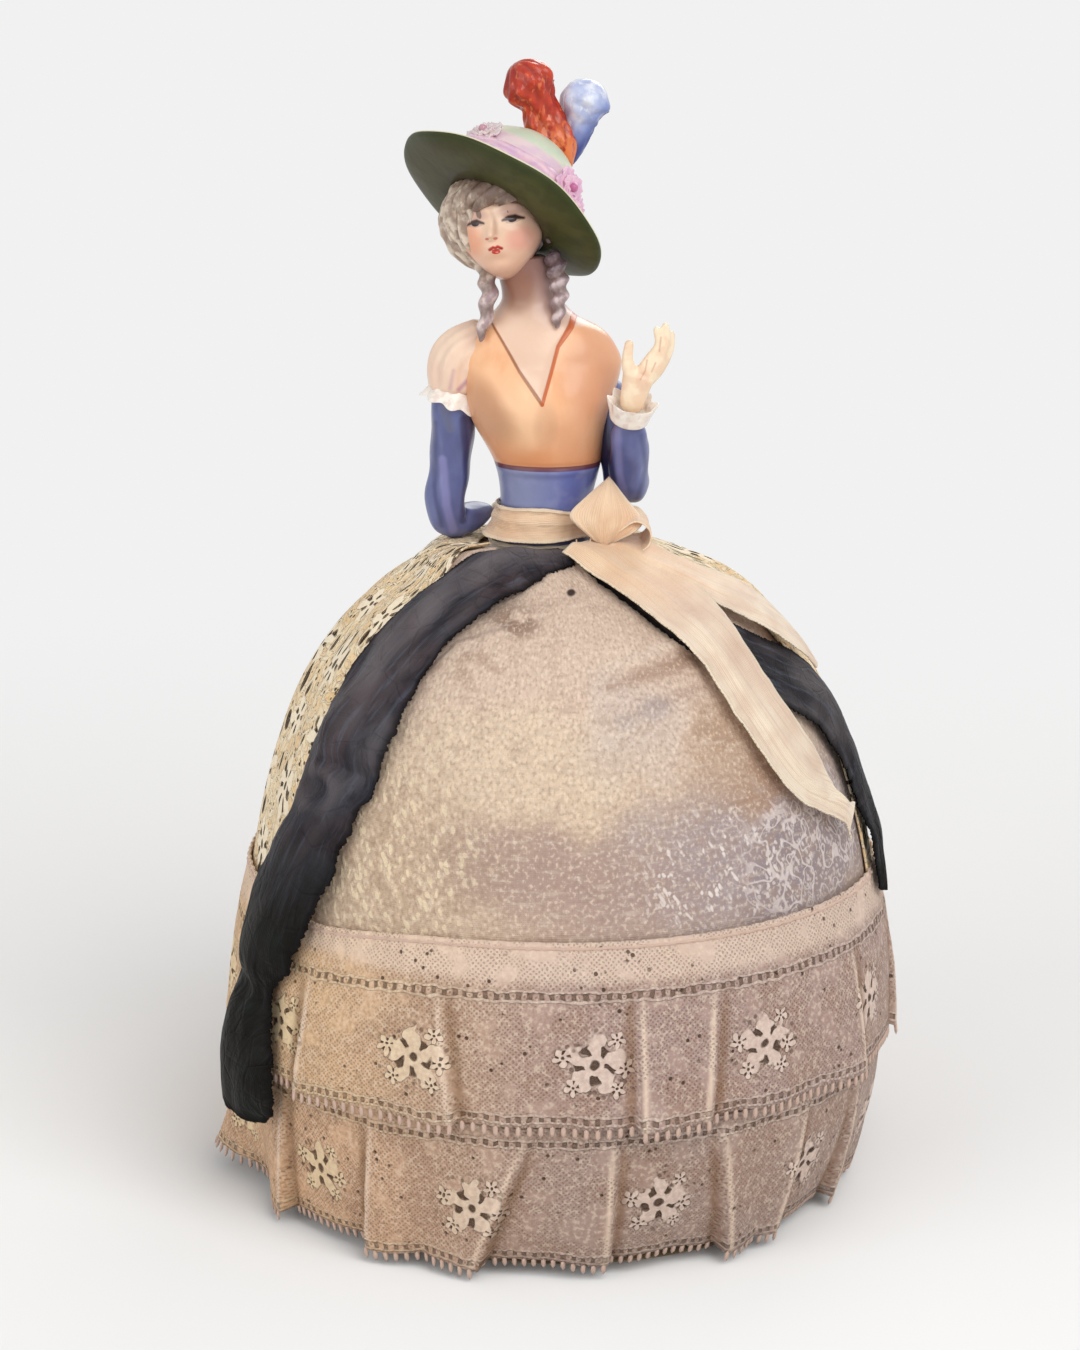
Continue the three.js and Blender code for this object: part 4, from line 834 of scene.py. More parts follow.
def greyboard():
    """Grey-brown bookbinder's board with fibres."""
    paint = Paint("greyboard")
    fibre = paint.noise(1.4, 4, stretch=(1, 3, 1))
    colour = paint.blend(fibre.above(0.35, 0.7), srgb(168, 146, 112), srgb(138, 118, 90))
    return paint.finish(colour, 0.92, fibre * 0.12, Specular_IOR_Level=0.2)


# Base and cushion


def cushion_shape():
    """The stuffed dome: full shoulders, gathered under its rim and at its peak, flat where it is pressed."""
    foot = 0.9
    heights = [foot, 3, 6, 10, 16, 24, 32] + spread(BELLY_HEIGHT, SEAT_HEIGHT, 26)
    profile = [
        (0.0, foot), (20.0, foot), (40.0, foot), (FOOT_RADIUS - 2.5, foot), (FOOT_RADIUS - 0.6, foot + 0.3)
    ]
    profile += [(radius_at(z), z) for z in heights[1:]] + [(4.0, SEAT_HEIGHT), (0.0, SEAT_HEIGHT)]
    bm = spun(profile, 96)
    for vert in bm.verts:
        r = hypot(vert.co.x, vert.co.y)
        if r < 0.01:
            continue
        turn = atan2(vert.co.x, -vert.co.y)
        z = vert.co.z
        pucker = 0.35 * cos(turn * 36) * hill(z, 4, 5) * (z > 1.5)
        pleat = 0.5 * cos(turn * 22) * ease(z, 120, 138) * (1 - ease(z, 139, 142))
        lump = 0.35 * wander(turn * 40, z, 18, 1) * ease(z, 8, 20) * (1 - ease(z, 120, 138))
        inward = (pucker + pleat + lump - 0.85) / r
        vert.co.x *= 1 + inward
        vert.co.y *= 1 + inward
    return bm


cover_cloth = plain_cloth("cover_cloth", srgb(150, 120, 92), srgb(118, 92, 70))
cushion = shown(cushion_shape(), "stuffed_dome", cover_cloth)
stands_for(cushion, "cover_cloth", "cushion_cover", "cushion_stuffing")
rounded(cushion)

base_material = plain_cloth("base_cloth", srgb(178, 156, 124), srgb(150, 128, 100), 0.9)
rim = FOOT_RADIUS - GAP
base = shown(
    spun([(0, 0.02), (30, 0.02), (rim - 0.6, 0.02), (rim, 0.25), (rim - 0.3, 0.58), (30, 0.6), (0, 0.6)], 96),
    "base_disc",
    base_material,
)
stands_for(base, "base_cloth", "base_cloth")
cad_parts["base_card"].data.materials.clear()
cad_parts["base_card"].data.materials.append(greyboard())

# Front panel

PANEL_FROM = -56
PANEL_TO = 80
PANEL_FOOT = 68
GATHER_RADIUS = 13.8
GATHER_HEIGHT = height_at(GATHER_RADIUS)
SILK = 0.35
LACE = 0.4


def gathers(angle, r):
    wave = 0.5 + 0.5 * cos(angle / 15.5 * 2 * pi)
    fine = 0.25 * (0.5 + 0.5 * cos(angle / 4.1 * 2 * pi))
    return (0.5 * wave + fine * (1 - ease(r, 20, 34))) * (1 - ease(r, FLANGE_RADIUS + 3, DRAWN_IN + 12))


# Drag folds: angle and height at each end, how high and how wide.
DRAG_FOLDS = [
    ((36, 132), (12, 126), 1.5, 1.7),
    ((34, 126), (12, 119.5), 1.1, 2.0),
    ((22, 132), (-4, 131), 0.6, 1.6),
    ((30, 119), (16, 104), 0.5, 2.6),
    ((-14, 137), (-25, 118), 0.6, 1.8),
    ((-20, 134), (-34, 112), 0.5, 2.0),
    ((8, 139), (12, 124), 0.45, 1.4),
    ((-6, 100), (-36, 92), 0.35, 4.0),
    ((46, 96), (14, 86), 0.4, 4.0),
]


def drag(angle, z):
    """Folds that the ribbons and the doll's seat pull into the silk."""
    height = 0.0
    for (a0, z0), (a1, z1), high, wide in DRAG_FOLDS:
        ax, ay = (a1 - a0) * 0.9, z1 - z0
        px, py = (angle - a0) * 0.9, z - z0
        long = ax * ax + ay * ay
        t = clamp((px * ax + py * ay) / long)
        away = hypot(px - ax * t, py - ay * t)
        height += high * hill(away, 0, wide) * (1 - 0.7 * t)
    return height


PANEL_ROWS = 110
panel_levels = spread(PANEL_FOOT, GATHER_HEIGHT, PANEL_ROWS)


def panel_place(along, across):
    angle = mix(PANEL_FROM, PANEL_TO, along)
    z = panel_levels[round(across * PANEL_ROWS)]
    soft = 0.25 + 0.25 * wander(angle, z, 11, 2) + 0.12 * wander(angle, z, 4, 3)
    calm = ease(z, 70, 80)
    return on_skirt(angle, z, GAP + gathers(angle, radius_at(z)) + calm * (drag(angle, z) * 0.8 + soft * 0.8))


def skirt_weave(from_angle, to_angle, levels):
    """The place in a cloth that covers the skirt: round it, and up its slope."""
    rise = [0.0]
    for low, high in zip(levels, levels[1:]):
        rise.append(rise[-1] + hypot(high - low, radius_at(high) - radius_at(low)))
    top = len(levels) - 1

    def weave(along, across):
        angle = mix(from_angle, to_angle, along)
        return angle * SKIRT_DEGREE, levels[0] + rise[round(across * top)]

    return weave


panel = cloth(
    "silk_panel", 170, PANEL_ROWS, panel_place, skirt_weave(PANEL_FROM, PANEL_TO, panel_levels), panel_silk(
        
    ), SILK
)
stands_for(panel, "panel_silk", "front_panel")

# Lace overskirt, which falls in folds and laps over the panel

OVERSKIRT_FROM = 75
# How many degrees further it laps over the panel at the waist.
OVERSKIRT_LAP = 13
OVERSKIRT_TO = 308
OVERSKIRT_FOOT = 71
OVERSKIRT_FOLDS = 10
OVERSKIRT_ROWS = 80
overskirt_levels = spread(OVERSKIRT_FOOT, GATHER_HEIGHT, OVERSKIRT_ROWS)


def panel_share(angle):
    turn = angle - 360 if angle > 180 else angle
    return ease(turn, PANEL_FROM - 9, PANEL_FROM - 2) * (1 - ease(turn, PANEL_TO + 2, PANEL_TO + 9))


def overskirt_place(along, across):
    start = OVERSKIRT_FROM - OVERSKIRT_LAP * across**2
    angle = mix(start, OVERSKIRT_TO, along)
    z = overskirt_levels[round(across * OVERSKIRT_ROWS)]
    r = radius_at(z)
    fold = mix(0.4, 1.5, ease(across, 0, 0.4)) * (1 - 0.8 * panel_share(angle))
    swell = 0.5 - 0.5 * cos(along * OVERSKIRT_FOLDS * 2 * pi + 0.5 * wander(angle, z, 30, 4))
    ripple = 0.18 * (1 + wander(angle * 1.2, z * 0.35, 5, 5))
    under = GAP + panel_share(angle) * (0.35 + 0.5 + gathers(angle, r))
    return on_skirt(angle, z, under + fold * swell * (1 - across**4) + ripple)


overskirt = cloth(
    "lace_overskirt_cloth",
    300,
    OVERSKIRT_ROWS,
    overskirt_place,
    skirt_weave(OVERSKIRT_FROM, OVERSKIRT_TO, overskirt_levels),
    gold_lace(),
    LACE,
)
stands_for(overskirt, "gold_lace", "lace_overskirt")

# Flounces

HEADING_HEIGHT = 76.5
UPPER_FOOT = 34.5
LOWER_TOP = 44
HEM_HEIGHT = 0.35
PICOT = 2.6
# Pleats of the lower flounce: angle at its top and at its hem, the side whose flap lies on top, depth.
LOWER_PLEATS = [
    (-3, -16, 1, 4.6),
    (26.5, 31.5, -1, 4.8),
    (9, 8, 1, 3.0),
    (-34, -37, -1, 4.2),
    (-56, -60, 1, 4.4),
    (48, 44, 1, 3.6),
    (63, 66, -1, 3.6),
    (88, 86, 1, 4.2),
    (112, 117, -1, 4.2),
    (140, 138, 1, 4.6),
    (166, 164, -1, 4.2),
    (-166, -163, 1, 4.4),
    (-140, -142, -1, 4.4),
    (-114, -110, 1, 4.2),
    (-88, -92, -1, 3.4),
]
UPPER_PLEATS = [
    (12.5, 12.5, -1, 2.4),
    (27, 24, 1, 1.6),
    (-22, -18, 1, 1.7),
    (-47, -50, -1, 1.8),
    (58, 61, 1, 1.9),
    (86, 84, -1, 1.8),
    (113, 116, 1, 2.0),
    (144, 141, -1, 1.8),
    (172, 175, 1, 1.9),
    (-158, -155, -1, 1.8),
    (-126, -129, 1, 2.0),
    (-92, -90, -1, 1.8),
]


def pleated(pleats, angle, fall):
    """How far the pleats stand out at an angle, and how near it is to a flap's edge: lit 1, shaded -1."""
    out, edge = 0.0, 0.0
    for top, hem, side, depth in pleats:
        away = ((angle - mix(top, hem, fall) + 180) % 360 - 180) * side
        if away < -15 or away > 3.5:
            continue
        rise = ease(away, -15, -0.2) if away < 0 else 1 - ease(away, 0, 1.0)
        out = max(out, depth * rise)
        edge += hill(away, -0.4, 0.6) - 0.9 * hill(away, 1.6, 1.3)
    return out, edge


def lower_radius(angle, z):
    fall = (LOWER_TOP - z) / LOWER_TOP
    far = ((angle + 180 + 92) % 360 - 180) / 11
    flare = 8.5 * fall * fall * exp(-far * far)
    tuck = mix(3.5, 10.5, 0.5 + 0.5 * cos(radians(angle - 80)))
    base = max(radius_at(z), CUSHION_RADIUS - tuck * fall * fall) + 0.7
    return base + pleated(LOWER_PLEATS, angle, fall)[0] * max(fall, 0) ** 1.2 + flare


def upper_radius(angle, z):
    fall = (HEADING_HEIGHT - z) / (HEADING_HEIGHT - UPPER_FOOT)
    hang = radius_at(max(z, BELLY_HEIGHT)) + 1.7 + 0.9 * ease(fall, 0, 0.3)
    fold = (
        0.5 * fall * (0.5 - 0.5 * cos(radians(angle) * 15))
        + pleated(UPPER_PLEATS, angle, fall)[0] * ease(fall, 0.1, 1)
    )
    lower = CUSHION_RADIUS + 1.6 if z < LOWER_TOP + GAP else 0
    return max(hang, lower) + fold


def ring_point(angle, radius, z):
    return Vector((radius * sin(radians(angle)), -radius * cos(radians(angle)), z))


def lower_at(angle, z):
    fall = (LOWER_TOP - z) / LOWER_TOP
    ruffle = 0.35 * fall * wander(angle, z * 0.3, 5, 6) + 0.7 * fall * fall * wander(angle, z * 0.2, 9, 7)
    proud = pleated(LOWER_PLEATS, angle, fall)[0] / 4.6
    lift = fall**4 * (1.9 * (1 - proud) + 0.7 * (1 + wander(angle, 0, 7, 8)))
    lift += 3.2 * fall**3 * hill((angle + 272) % 360 - 180, 0, 16)
    return ring_point(angle, lower_radius(angle, z) + ruffle, z + lift)


def upper_at(angle, z):
    fall = (HEADING_HEIGHT - z) / (HEADING_HEIGHT - UPPER_FOOT)
    pucker = 0.22 * cos(radians(angle) * 118) * hill(z, HEADING_HEIGHT - 1.2, 3.5)
    ruffle = 0.25 + 0.4 * wander(angle, z * 0.3, 6, 9) * (0.3 + fall) + 0.25 * wander(angle, z, 4, 12)
    proud = pleated(UPPER_PLEATS, angle, fall)[0] / 2.2
    lift = fall**3 * (1.1 * wander(angle, 0, 11, 10) + 1.2 * (1 - proud))
    low_left = 3.5 * (1 - fall) * hill(angle, -52, 20)
    return ring_point(angle, upper_radius(angle, z) + pucker + ruffle, z + lift - low_left)


def flounce(name, low, high, rows, at, pleats, material, count=640):
    def place(along, across):
        return at(along * 360 - 180, mix(low, high, across))

    def weave(along, across):
        return (along * 360 - 180) * SKIRT_DEGREE, mix(low, high, across)

    def marks(along, across):
        # Tone above 0.5 is a painted highlight on a flap's edge, and below 0.5 it is painted shade in the
        # step beside it.
        edge = pleated(pleats, along * 360 - 180, 1 - across)[1]
        return clamp(0.5 + 0.5 * edge * ease(1 - across, 0.1, 0.5)), 1.0

    return cloth(name, count, rows, place, weave, material, LACE * 0.8, wrap=True, marks=marks)


def picots(name, at, height, material, count):
    """A row of picots along an edge, each an upright, flattened bead."""
    whole = bmesh.new()
    for i in range(count):
        angle = 360 * i / count - 180
        root, tip = at(angle, height), at(angle, height - 1.4)
        beside = at(angle + 0.4, height)
        side = (beside - root).normalized()
        down = (tip - root).normalized()
        outward = side.cross(down).normalized()
        turn = Matrix((side, outward, -down)).transposed().to_4x4()
        turn.translation = root + down * (0.5 * PICOT - 0.3) + outward * -0.1
        size = Matrix.Diagonal((0.62, 0.4, 0.62 * PICOT, 1))
        bmesh.ops.create_icosphere(whole, subdivisions=1, radius=1, matrix=turn @ size)
    return shown(whole, name, material)


sprigs = [(-6.4, 1.6, 0.36), (6.2, -1.0, 0.34), (4.6, 5.2, 0.3), (-4.4, -5.0, 0.34), (4.4, -5.4, 0.3)]
LOWER_ROWS = [(HEM_HEIGHT + PICOT + 1.5, 2.3, 0.95), (37.2, 2.4, 0.9), (33.0, 2.4, 0.8)]
LOWER_FLOWERS = [(11, 17, 17.5, 7.2, 5)]
lower_lace = flounce_lace(
    "flounce_lace_lower", LOWER_ROWS, LOWER_FLOWERS, sprigs, srgb(228, 186, 148), srgb(178, 154, 144)
)
lower = flounce(
    "lower_flounce_cloth", HEM_HEIGHT + PICOT - 0.2, LOWER_TOP, 34, lower_at, LOWER_PLEATS, lower_lace
)

UPPER_ROWS = [(65.5, 2.3, 1.0), (UPPER_FOOT + PICOT + 1.3, 2.3, 0.9)]
UPPER_FLOWERS = [(12, 5, 51.0, 7.4, 5)]
upper_lace = flounce_lace(
    "flounce_lace_upper", UPPER_ROWS, UPPER_FLOWERS, sprigs, srgb(230, 192, 150), srgb(180, 154, 146)
)
upper = flounce(
    "upper_flounce_cloth", UPPER_FOOT + PICOT - 0.6, HEADING_HEIGHT, 44, upper_at, UPPER_PLEATS, upper_lace
)

picot_thread = twisted_thread("picot_thread", srgb(238, 208, 190), srgb(204, 166, 146))
hem_picots = picots("hem_picots", lower_at, HEM_HEIGHT + PICOT, picot_thread, 196)
edge_picots = picots("flounce_picots", upper_at, UPPER_FOOT + PICOT - 0.4, picot_thread, 196)


def ring_cord(name, at, height, radius, material, count=360):
    """A thread that runs round a flounce."""
    bm = bmesh.new()
    bmesh.ops.create_grid(bm, x_segments=count, y_segments=8, size=0.5)
    for vert in bm.verts:
        angle = (vert.co.x + 0.5) * 360 - 180
        turn = (vert.co.y + 0.5) * 2 * pi
        middle = at(angle, height)
        outward = Vector((middle.x, middle.y, 0)).normalized()
        vert.co = middle + outward * (0.35 + radius * cos(turn)) + Vector((0, 0, radius * sin(turn)))
    bmesh.ops.remove_doubles(bm, verts=bm.verts, dist=1e-3)
    bmesh.ops.recalc_face_normals(bm, faces=bm.faces)
    return shown(bm, name, material)


heading_thread = ring_cord("heading_thread", upper_at, HEADING_HEIGHT - 1.2, 0.32, picot_thread)
stands_for(lower, "flounce_lace", "lower_flounce")
stands_for(upper, "flounce_lace", "upper_flounce")

# Ribbons that lie on the skirt

OVER_PANEL = 1.4
OVER_LACE = 2.6
OVER_BLACK = 1.5
OVER_FLOUNCE = 5.5


def skirt_ribbon(
    name, node, slot, points, broad, profile, counts, material, thickness, fold, edges, tone
):
    """A ribbon along [angle, share of the crown's rise, lift] points, broad times the profile wide.

    fold gives its height off the cloth below, edges how far each edge wanders, and tone its folds' painted
    shade on cream ribbon and painted highlight on black, all for the shares along and across it.
    """
    widths = [(place, share * broad) for place, share in profile]
    line = Line([on_skirt(angle, BELLY_HEIGHT + share * CROWN_HEIGHT, 0) for angle, share, _ in points])
    lift = through([(i / (len(points) - 1), p[2]) for i, p in enumerate(points)])
    width = through(widths)
    steps = [line.at(i / 200) for i in range(201)]
    length = sum((b - a).length for a, b in zip(steps, steps[1:]))
    frames = {}

    def frame_at(along):
        if along not in frames:
            centre = line.at(along)
            up = drape(centre, 1) - drape(centre, 0)
            frames[along] = centre, line.along(along).cross(up).normalized()
        return frames[along]

    def place(along, across):
        centre, right = frame_at(along)
        side = 0.5 - across
        stray = edges(along, side) * ease(abs(side), 0.15, 0.5)
        point = centre + right * (side * width(along) + stray * (1 if side > 0 else -1))
        return drape(point, lift(along) + fold(along, across))

    def weave(along, across):
        return along * length, across * width(along)

    def marks(along, across):
        rim = min(across, 1 - across) * width(along)
        end = min(along, 1 - along) * length
        return tone(along, across), min(rim, end, 4)

    piece = cloth(name, *counts, place, weave, material, thickness, marks=marks)
    stands_for(piece, slot, node)
    cut = sum(width((i + 0.5) / 100) for i in range(100)) / 100 * MM * length * MM
    return piece


BLACK_WIDTH = 19.5
black = black_silk()
PUFF = 0.49
DIMPLE = 0.575
PINCH = 0.83


def black_fold(along, across):
    """Crumpled: a rib down the upper part, a puff above a dimple, then a full roll, pinched near its end."""
    middle = 1 - (2 * across - 1) ** 2
    low = ease(along, 0.54, 0.66)
    round_over = middle * mix(1.3, 4.6, low) * (1 + 0.25 * wander(along * 100, 0, 13, 11))
    rib = 1.1 * hill(across, 0.36 + 0.12 * along, 0.12) * (1 - low)
    crease = 0.8 * abs(wander(along * 60, across * 22, 7, 12)) + 0.45 * wander(along * 45, across * 30, 4, 13)
    puff = 3.4 * hill(along, PUFF, 0.05) * middle
    away = hypot((along - DIMPLE) * 190, (across - 0.42) * 20)
    dimple = -1.5 * hill(away, 0, 3.4) + 1.0 * hill(away, 5.6, 2.2) * (1 - low)
    tuck = -1.5 * hill(along + 0.02 * across, 0.545, 0.012) * ease(across, 0.3, 0.6)
    pinch = -2.6 * hill(along, PINCH, 0.022) * middle
    swell = ease(along, 0.02, 0.2)
    return max(0, (round_over + crease + rib) * (0.3 + 0.7 * swell) + puff + dimple + tuck + pinch)


def black_tone(along, across):
    # Tone is painted highlight: on the puff, round the dimple, down the upper part and on a fold low down.
    away = hypot((along - DIMPLE) * 190, (across - 0.42) * 20)
    lit = 0.4 * hill(along, 0.46, 0.05) * hill(across, 0.55, 0.3) + 0.35 * hill(away, 5.0, 1.6)
    upper = 0.7 * (1 - ease(along, 0.36, 0.5)) * hill(across, 0.4, 0.24)
    low = 0.35 * hill(along, 0.74, 0.05) * hill(across, 0.45, 0.12)
    return clamp(lit + upper + low + 0.5 * wander(along * 90, across * 26, 5, 14))


def black_edges(along, side):
    tatter = 1.1 if side < 0 else 0.5
    ragged = 1.3 * wander(along * 120, side, 4.6, 15) + 0.6 * wander(along * 120, side, 1.4, 16)
    return ragged * (0.35 + tatter * ease(along, 0.3, 0.62))


skirt_ribbon(
    "black_ribbon_left_silk",
    "black_ribbon_left",
    "black_silk",
    [
        (16, 0.99, OVER_PANEL),
        (-13, 0.984, OVER_PANEL),
        (-36, 0.944, OVER_LACE),
        (-45.5, 0.823, OVER_LACE),
        (-48, 0.67, OVER_LACE),
        (-51.5, 0.498, OVER_LACE),
        (-57.5, 0.287, OVER_FLOUNCE - 0.6),
        (-63, 0.077, OVER_FLOUNCE - 0.6),
        (-66.5, -0.115, OVER_FLOUNCE),
    ],
    BLACK_WIDTH,
    [
        (0, 0.6),
        (0.15, 0.86),
        (0.35, 1),
        (0.5, 1.12),
        (0.66, 1.1),
        (0.76, 1.0),
        (PINCH, 0.8),
        (0.91, 1.24),
        (0.97, 1.3),
        (1, 1.08),
    ],
    (300, 34),
    black,
    0.35,
    black_fold,
    black_edges,
    black_tone,
)


def right_fold(along, across):
    middle = 1 - (2 * across - 1) ** 2
    crease = 0.7 * abs(wander(along * 40, across * 18, 6, 21)) + 0.35 * wander(along * 40, across * 20, 3, 22)
    return max(0, middle * (0.5 + 0.8 * ease(along, 0.3, 0.6)) + crease * (0.4 + 0.6 * ease(along, 0.2, 0.4)))


def right_tone(along, across):
    # Tone is painted highlight, most near the middle of the ribbon.
    return clamp(0.35 * hill(along, 0.5, 0.12) + 0.35 * wander(along * 60, across * 18, 4, 23))


def right_edges(along, side):
    spike = 7.5 * hill(along, 0.79, 0.035) + 4.0 * hill(along, 0.96, 0.03) if side < 0 else 0
    frayed = 1.0 * wander(along * 90, side, 2.4, 24) + 0.8 * wander(along * 90, side, 0.9, 25)
    return spike + frayed * (0.25 + ease(along, 0.45, 0.7))


black_right = skirt_ribbon(
    "black_ribbon_right_silk",
    "black_ribbon_right",
    "black_silk",
    [
        (24, 0.99, OVER_PANEL),
        (37.5, 0.915, OVER_PANEL),
        (50.5, 0.833, OVER_PANEL + 0.2),
        (61.5, 0.775, OVER_LACE - 0.4),
        (71, 0.713, OVER_LACE),
        (77, 0.612, OVER_LACE),
        (79.5, 0.498, OVER_LACE),
        (79.5, 0.4, OVER_LACE + 0.6),
        (76.5, 0.29, OVER_FLOUNCE - 2.4),
    ],
    BLACK_WIDTH,
    [(0, 0.5), (0.16, 0.78), (0.5, 0.86), (0.75, 0.8), (0.9, 0.55), (1, 0.26)],
    (240, 26),
    black,
    0.35,
    right_fold,
    right_edges,
    right_tone,
)

# Cream ribbon: tails, sash and bow

TAIL_WIDTH = 16
CREAM = srgb(247, 229, 205)
CREAM_SHADE = srgb(208, 170, 146)
cream = ribbed_silk("cream_ribbon", CREAM, CREAM_SHADE)


def tail_fold(along, across):
    """The lower left edge stands up a little, and a soft ridge runs down beside it."""
    ridge = 0.6 * hill(across, 0.3 + 0.25 * along, 0.14) * (1 - ease(along, 0.7, 0.95))
    wave = 0.4 * (1 + wander(along * 40, across * 9, 8, 31))
    lip = 0.9 * (1 - ease(across, 0, 0.22)) * ease(along, 0.1, 0.25)
    return wave + ridge + lip + 0.9 * hill(along, 0.93, 0.04) * across


def tail_tone(along, across):
    # Painted shade: greyer over the upper right part, pinker near the top, and deeper beside the ridge.
    shade = 0.55 * ease(across, 0.4, 0.8) * hill(along, 0.45, 0.25)
    pink_shade = 0.8 * hill(along, 0.22, 0.09) * hill(across, 0.35, 0.3)
    deep = 0.35 * hill(across, 0.6 - 0.2 * along, 0.08) * (1 - ease(along, 0.5, 0.8))
    return clamp(shade + pink_shade + deep + 0.35 * wander(along * 60, across * 10, 6, 32))


def tail_edges(along, side):
    fork = 1.8 * ease(along, 0.94, 1.0)
    return 0.3 * wander(along * 80, side, 3, 33) + fork


skirt_ribbon(
    "tail_long_ribbon",
    "sash_tail_long",
    "cream_ribbon",
    [
        (24, 0.99, OVER_PANEL + OVER_BLACK + 0.6),
        (36, 0.943, OVER_PANEL + OVER_BLACK + 0.4),
        (41, 0.871, OVER_PANEL + OVER_BLACK + 0.4),
        (45.5, 0.761, OVER_PANEL + OVER_BLACK - 0.2),
        (51.5, 0.634, OVER_PANEL + OVER_BLACK),
        (58, 0.545, OVER_PANEL + OVER_BLACK + 0.3),
        (64, 0.478, OVER_LACE + OVER_BLACK),
    ],
    TAIL_WIDTH,
    [(0, 0.85), (0.2, 1.1), (0.36, 0.92), (0.55, 0.94), (0.72, 0.9), (0.85, 0.5), (0.95, 0.32), (1, 0.36)],
    (200, 24),
    cream,
    0.3,
    tail_fold,
    tail_edges,
    tail_tone,
)


def short_fold(along, across):
    return (
        0.3 * (1 + wander(along * 30, across * 9, 7, 35))
        + 0.5 * hill(across, 0.35, 0.12) * (1 - ease(along, 0.5, 1))
    )


def short_tone(along, across):
    # Painted shade, a little more towards the upper right edge.
    return clamp(0.1 * across + 0.15 * wander(along * 50, across * 10, 5, 36))


def short_edges(along, side):
    return 0.25 * wander(along * 70, side, 3, 37) - (1.2 * ease(along, 0.7, 1) if side > 0 else 0)


skirt_ribbon(
    "tail_short_ribbon",
    "sash_tail_short",
    "cream_ribbon",
    [
        (47, 0.988, OVER_PANEL + OVER_BLACK + 0.5),
        (56, 0.95, OVER_PANEL + OVER_BLACK + 0.4),
        (63.5, 0.912, OVER_LACE + OVER_BLACK - 0.4),
        (68.5, 0.868, OVER_LACE + OVER_BLACK),
        (73.5, 0.809, OVER_LACE + OVER_BLACK),
        (76.5, 0.755, OVER_LACE + OVER_BLACK),
    ],
    TAIL_WIDTH,
    [(0, 0.7), (0.35, 0.84), (0.6, 0.68), (0.85, 0.36), (1, 0.12)],
    (160, 22),
    cream,
    0.3,
    short_fold,
    short_edges,
    short_tone,
)

# The lady, in glazed porcelain. Her own frame stands on the cushion's seat.

DOLL = Matrix.Translation((DOLL_SHIFT, 0, DOLL_FOOT))


def doll_piece(bm, name, slot, node, material):
    bmesh.ops.transform(bm, matrix=DOLL, verts=bm.verts)
    piece = shown(bm, name, material)
    stands_for(piece, slot, node)
    return piece


def spot(u, v, centre, size, soft, turn=0.0):
    """1 inside an ellipse in the plane of u and v, which turn degrees lean to the left."""
    c, s = cos(radians(turn)), sin(radians(turn))
    du, dv = u - centre[0], v - centre[1]
    across = (du * c + dv * s) / size[0]
    up = (dv * c - du * s) / size[1]
    return 1 - (across * across + up * up).above(1 - soft, 1 + soft)


def broken(value, pairs):
    """A piecewise straight function of the value through [value, result] pairs."""
    result = pairs[0][1]
    for (x0, y0), (x1, y1) in zip(pairs, pairs[1:]):
        rise = (y1 - y0) / (x1 - x0)
        result = ((value - x0).highest(0.0)).lowest(x1 - x0) * rise + result
    return result


def glaze(paint, colour, rough=0.3, extra=None, coat=0.2, shine=0.35):
    """Porcelain under a clear glaze, with the slight unevenness of hand painting."""
    ripple = paint.noise(3.5, 2) * 0.12
    height = ripple if extra is None else ripple + extra
    return paint.finish(
        colour, rough, height, Coat_Weight=coat, Coat_Roughness=0.16, Specular_IOR_Level=shine
    )


def glazed(name, light, shade, size=5.0, folds=()):
    """One colour of glaze, brushed thicker in places, with painted lines, shade and highlights (points, half,
    tint, strength).
    """
    paint = Paint(name)
    x, y, z = paint.split(paint.local(DOLL))
    brushed = paint.noise(size, 3, stretch=(1, 1, 0.45)).above(0.36, 0.66)
    colour = paint.blend(brushed, light, shade)
    for points, half, tint, strength in folds:
        colour = paint.blend(stroke(x, z, points, half, 0.5) * strength, colour, tint)
    return glaze(paint, colour)


# Body

SECTIONS = [
    (0, 0.2, 0, 17, 15.64),
    (1.3, 0.2, 0, 16.7, 15.34),
    (2.9, 0.2, 0, 11.3, 10.1),
    (11, 0.8, 0, 9.9, 8.91),
    (20.7, 1.3, 0, 11.5, 9.89),
    (32.2, -0.6, -0.9, 15.2, 12.77),
    (42.7, 0, -0.4, 17.3, 11.42),
    (46.7, -0.5, 0, 16.5, 9.69),
    (50.3, -1.2, 0, 14.19, 8.48),
    (53.3, -1.9, 0, 9.3, 7.9),
    (57.1, -2.3, 0, 6.3, 6.3),
    (66.1, -5, -1.2, 5.7, 5.8),
]
section_x, section_y, section_wide, section_deep = (
    through([(s[0], s[i]) for s in SECTIONS]) for i in (1, 2, 3, 4)
)
NECKLINE_LEFT = [(35.9, 0.1), (42.6, -4.7), (49.4, -8.9), (54, -11.0)]
NECKLINE_RIGHT = [(35.9, 0.1), (47.7, 3.5), (51.7, 6.3), (54.7, 7.4)]
BELT_TOP = 21
neckline_left = through(NECKLINE_LEFT)
neckline_right = through(NECKLINE_RIGHT)


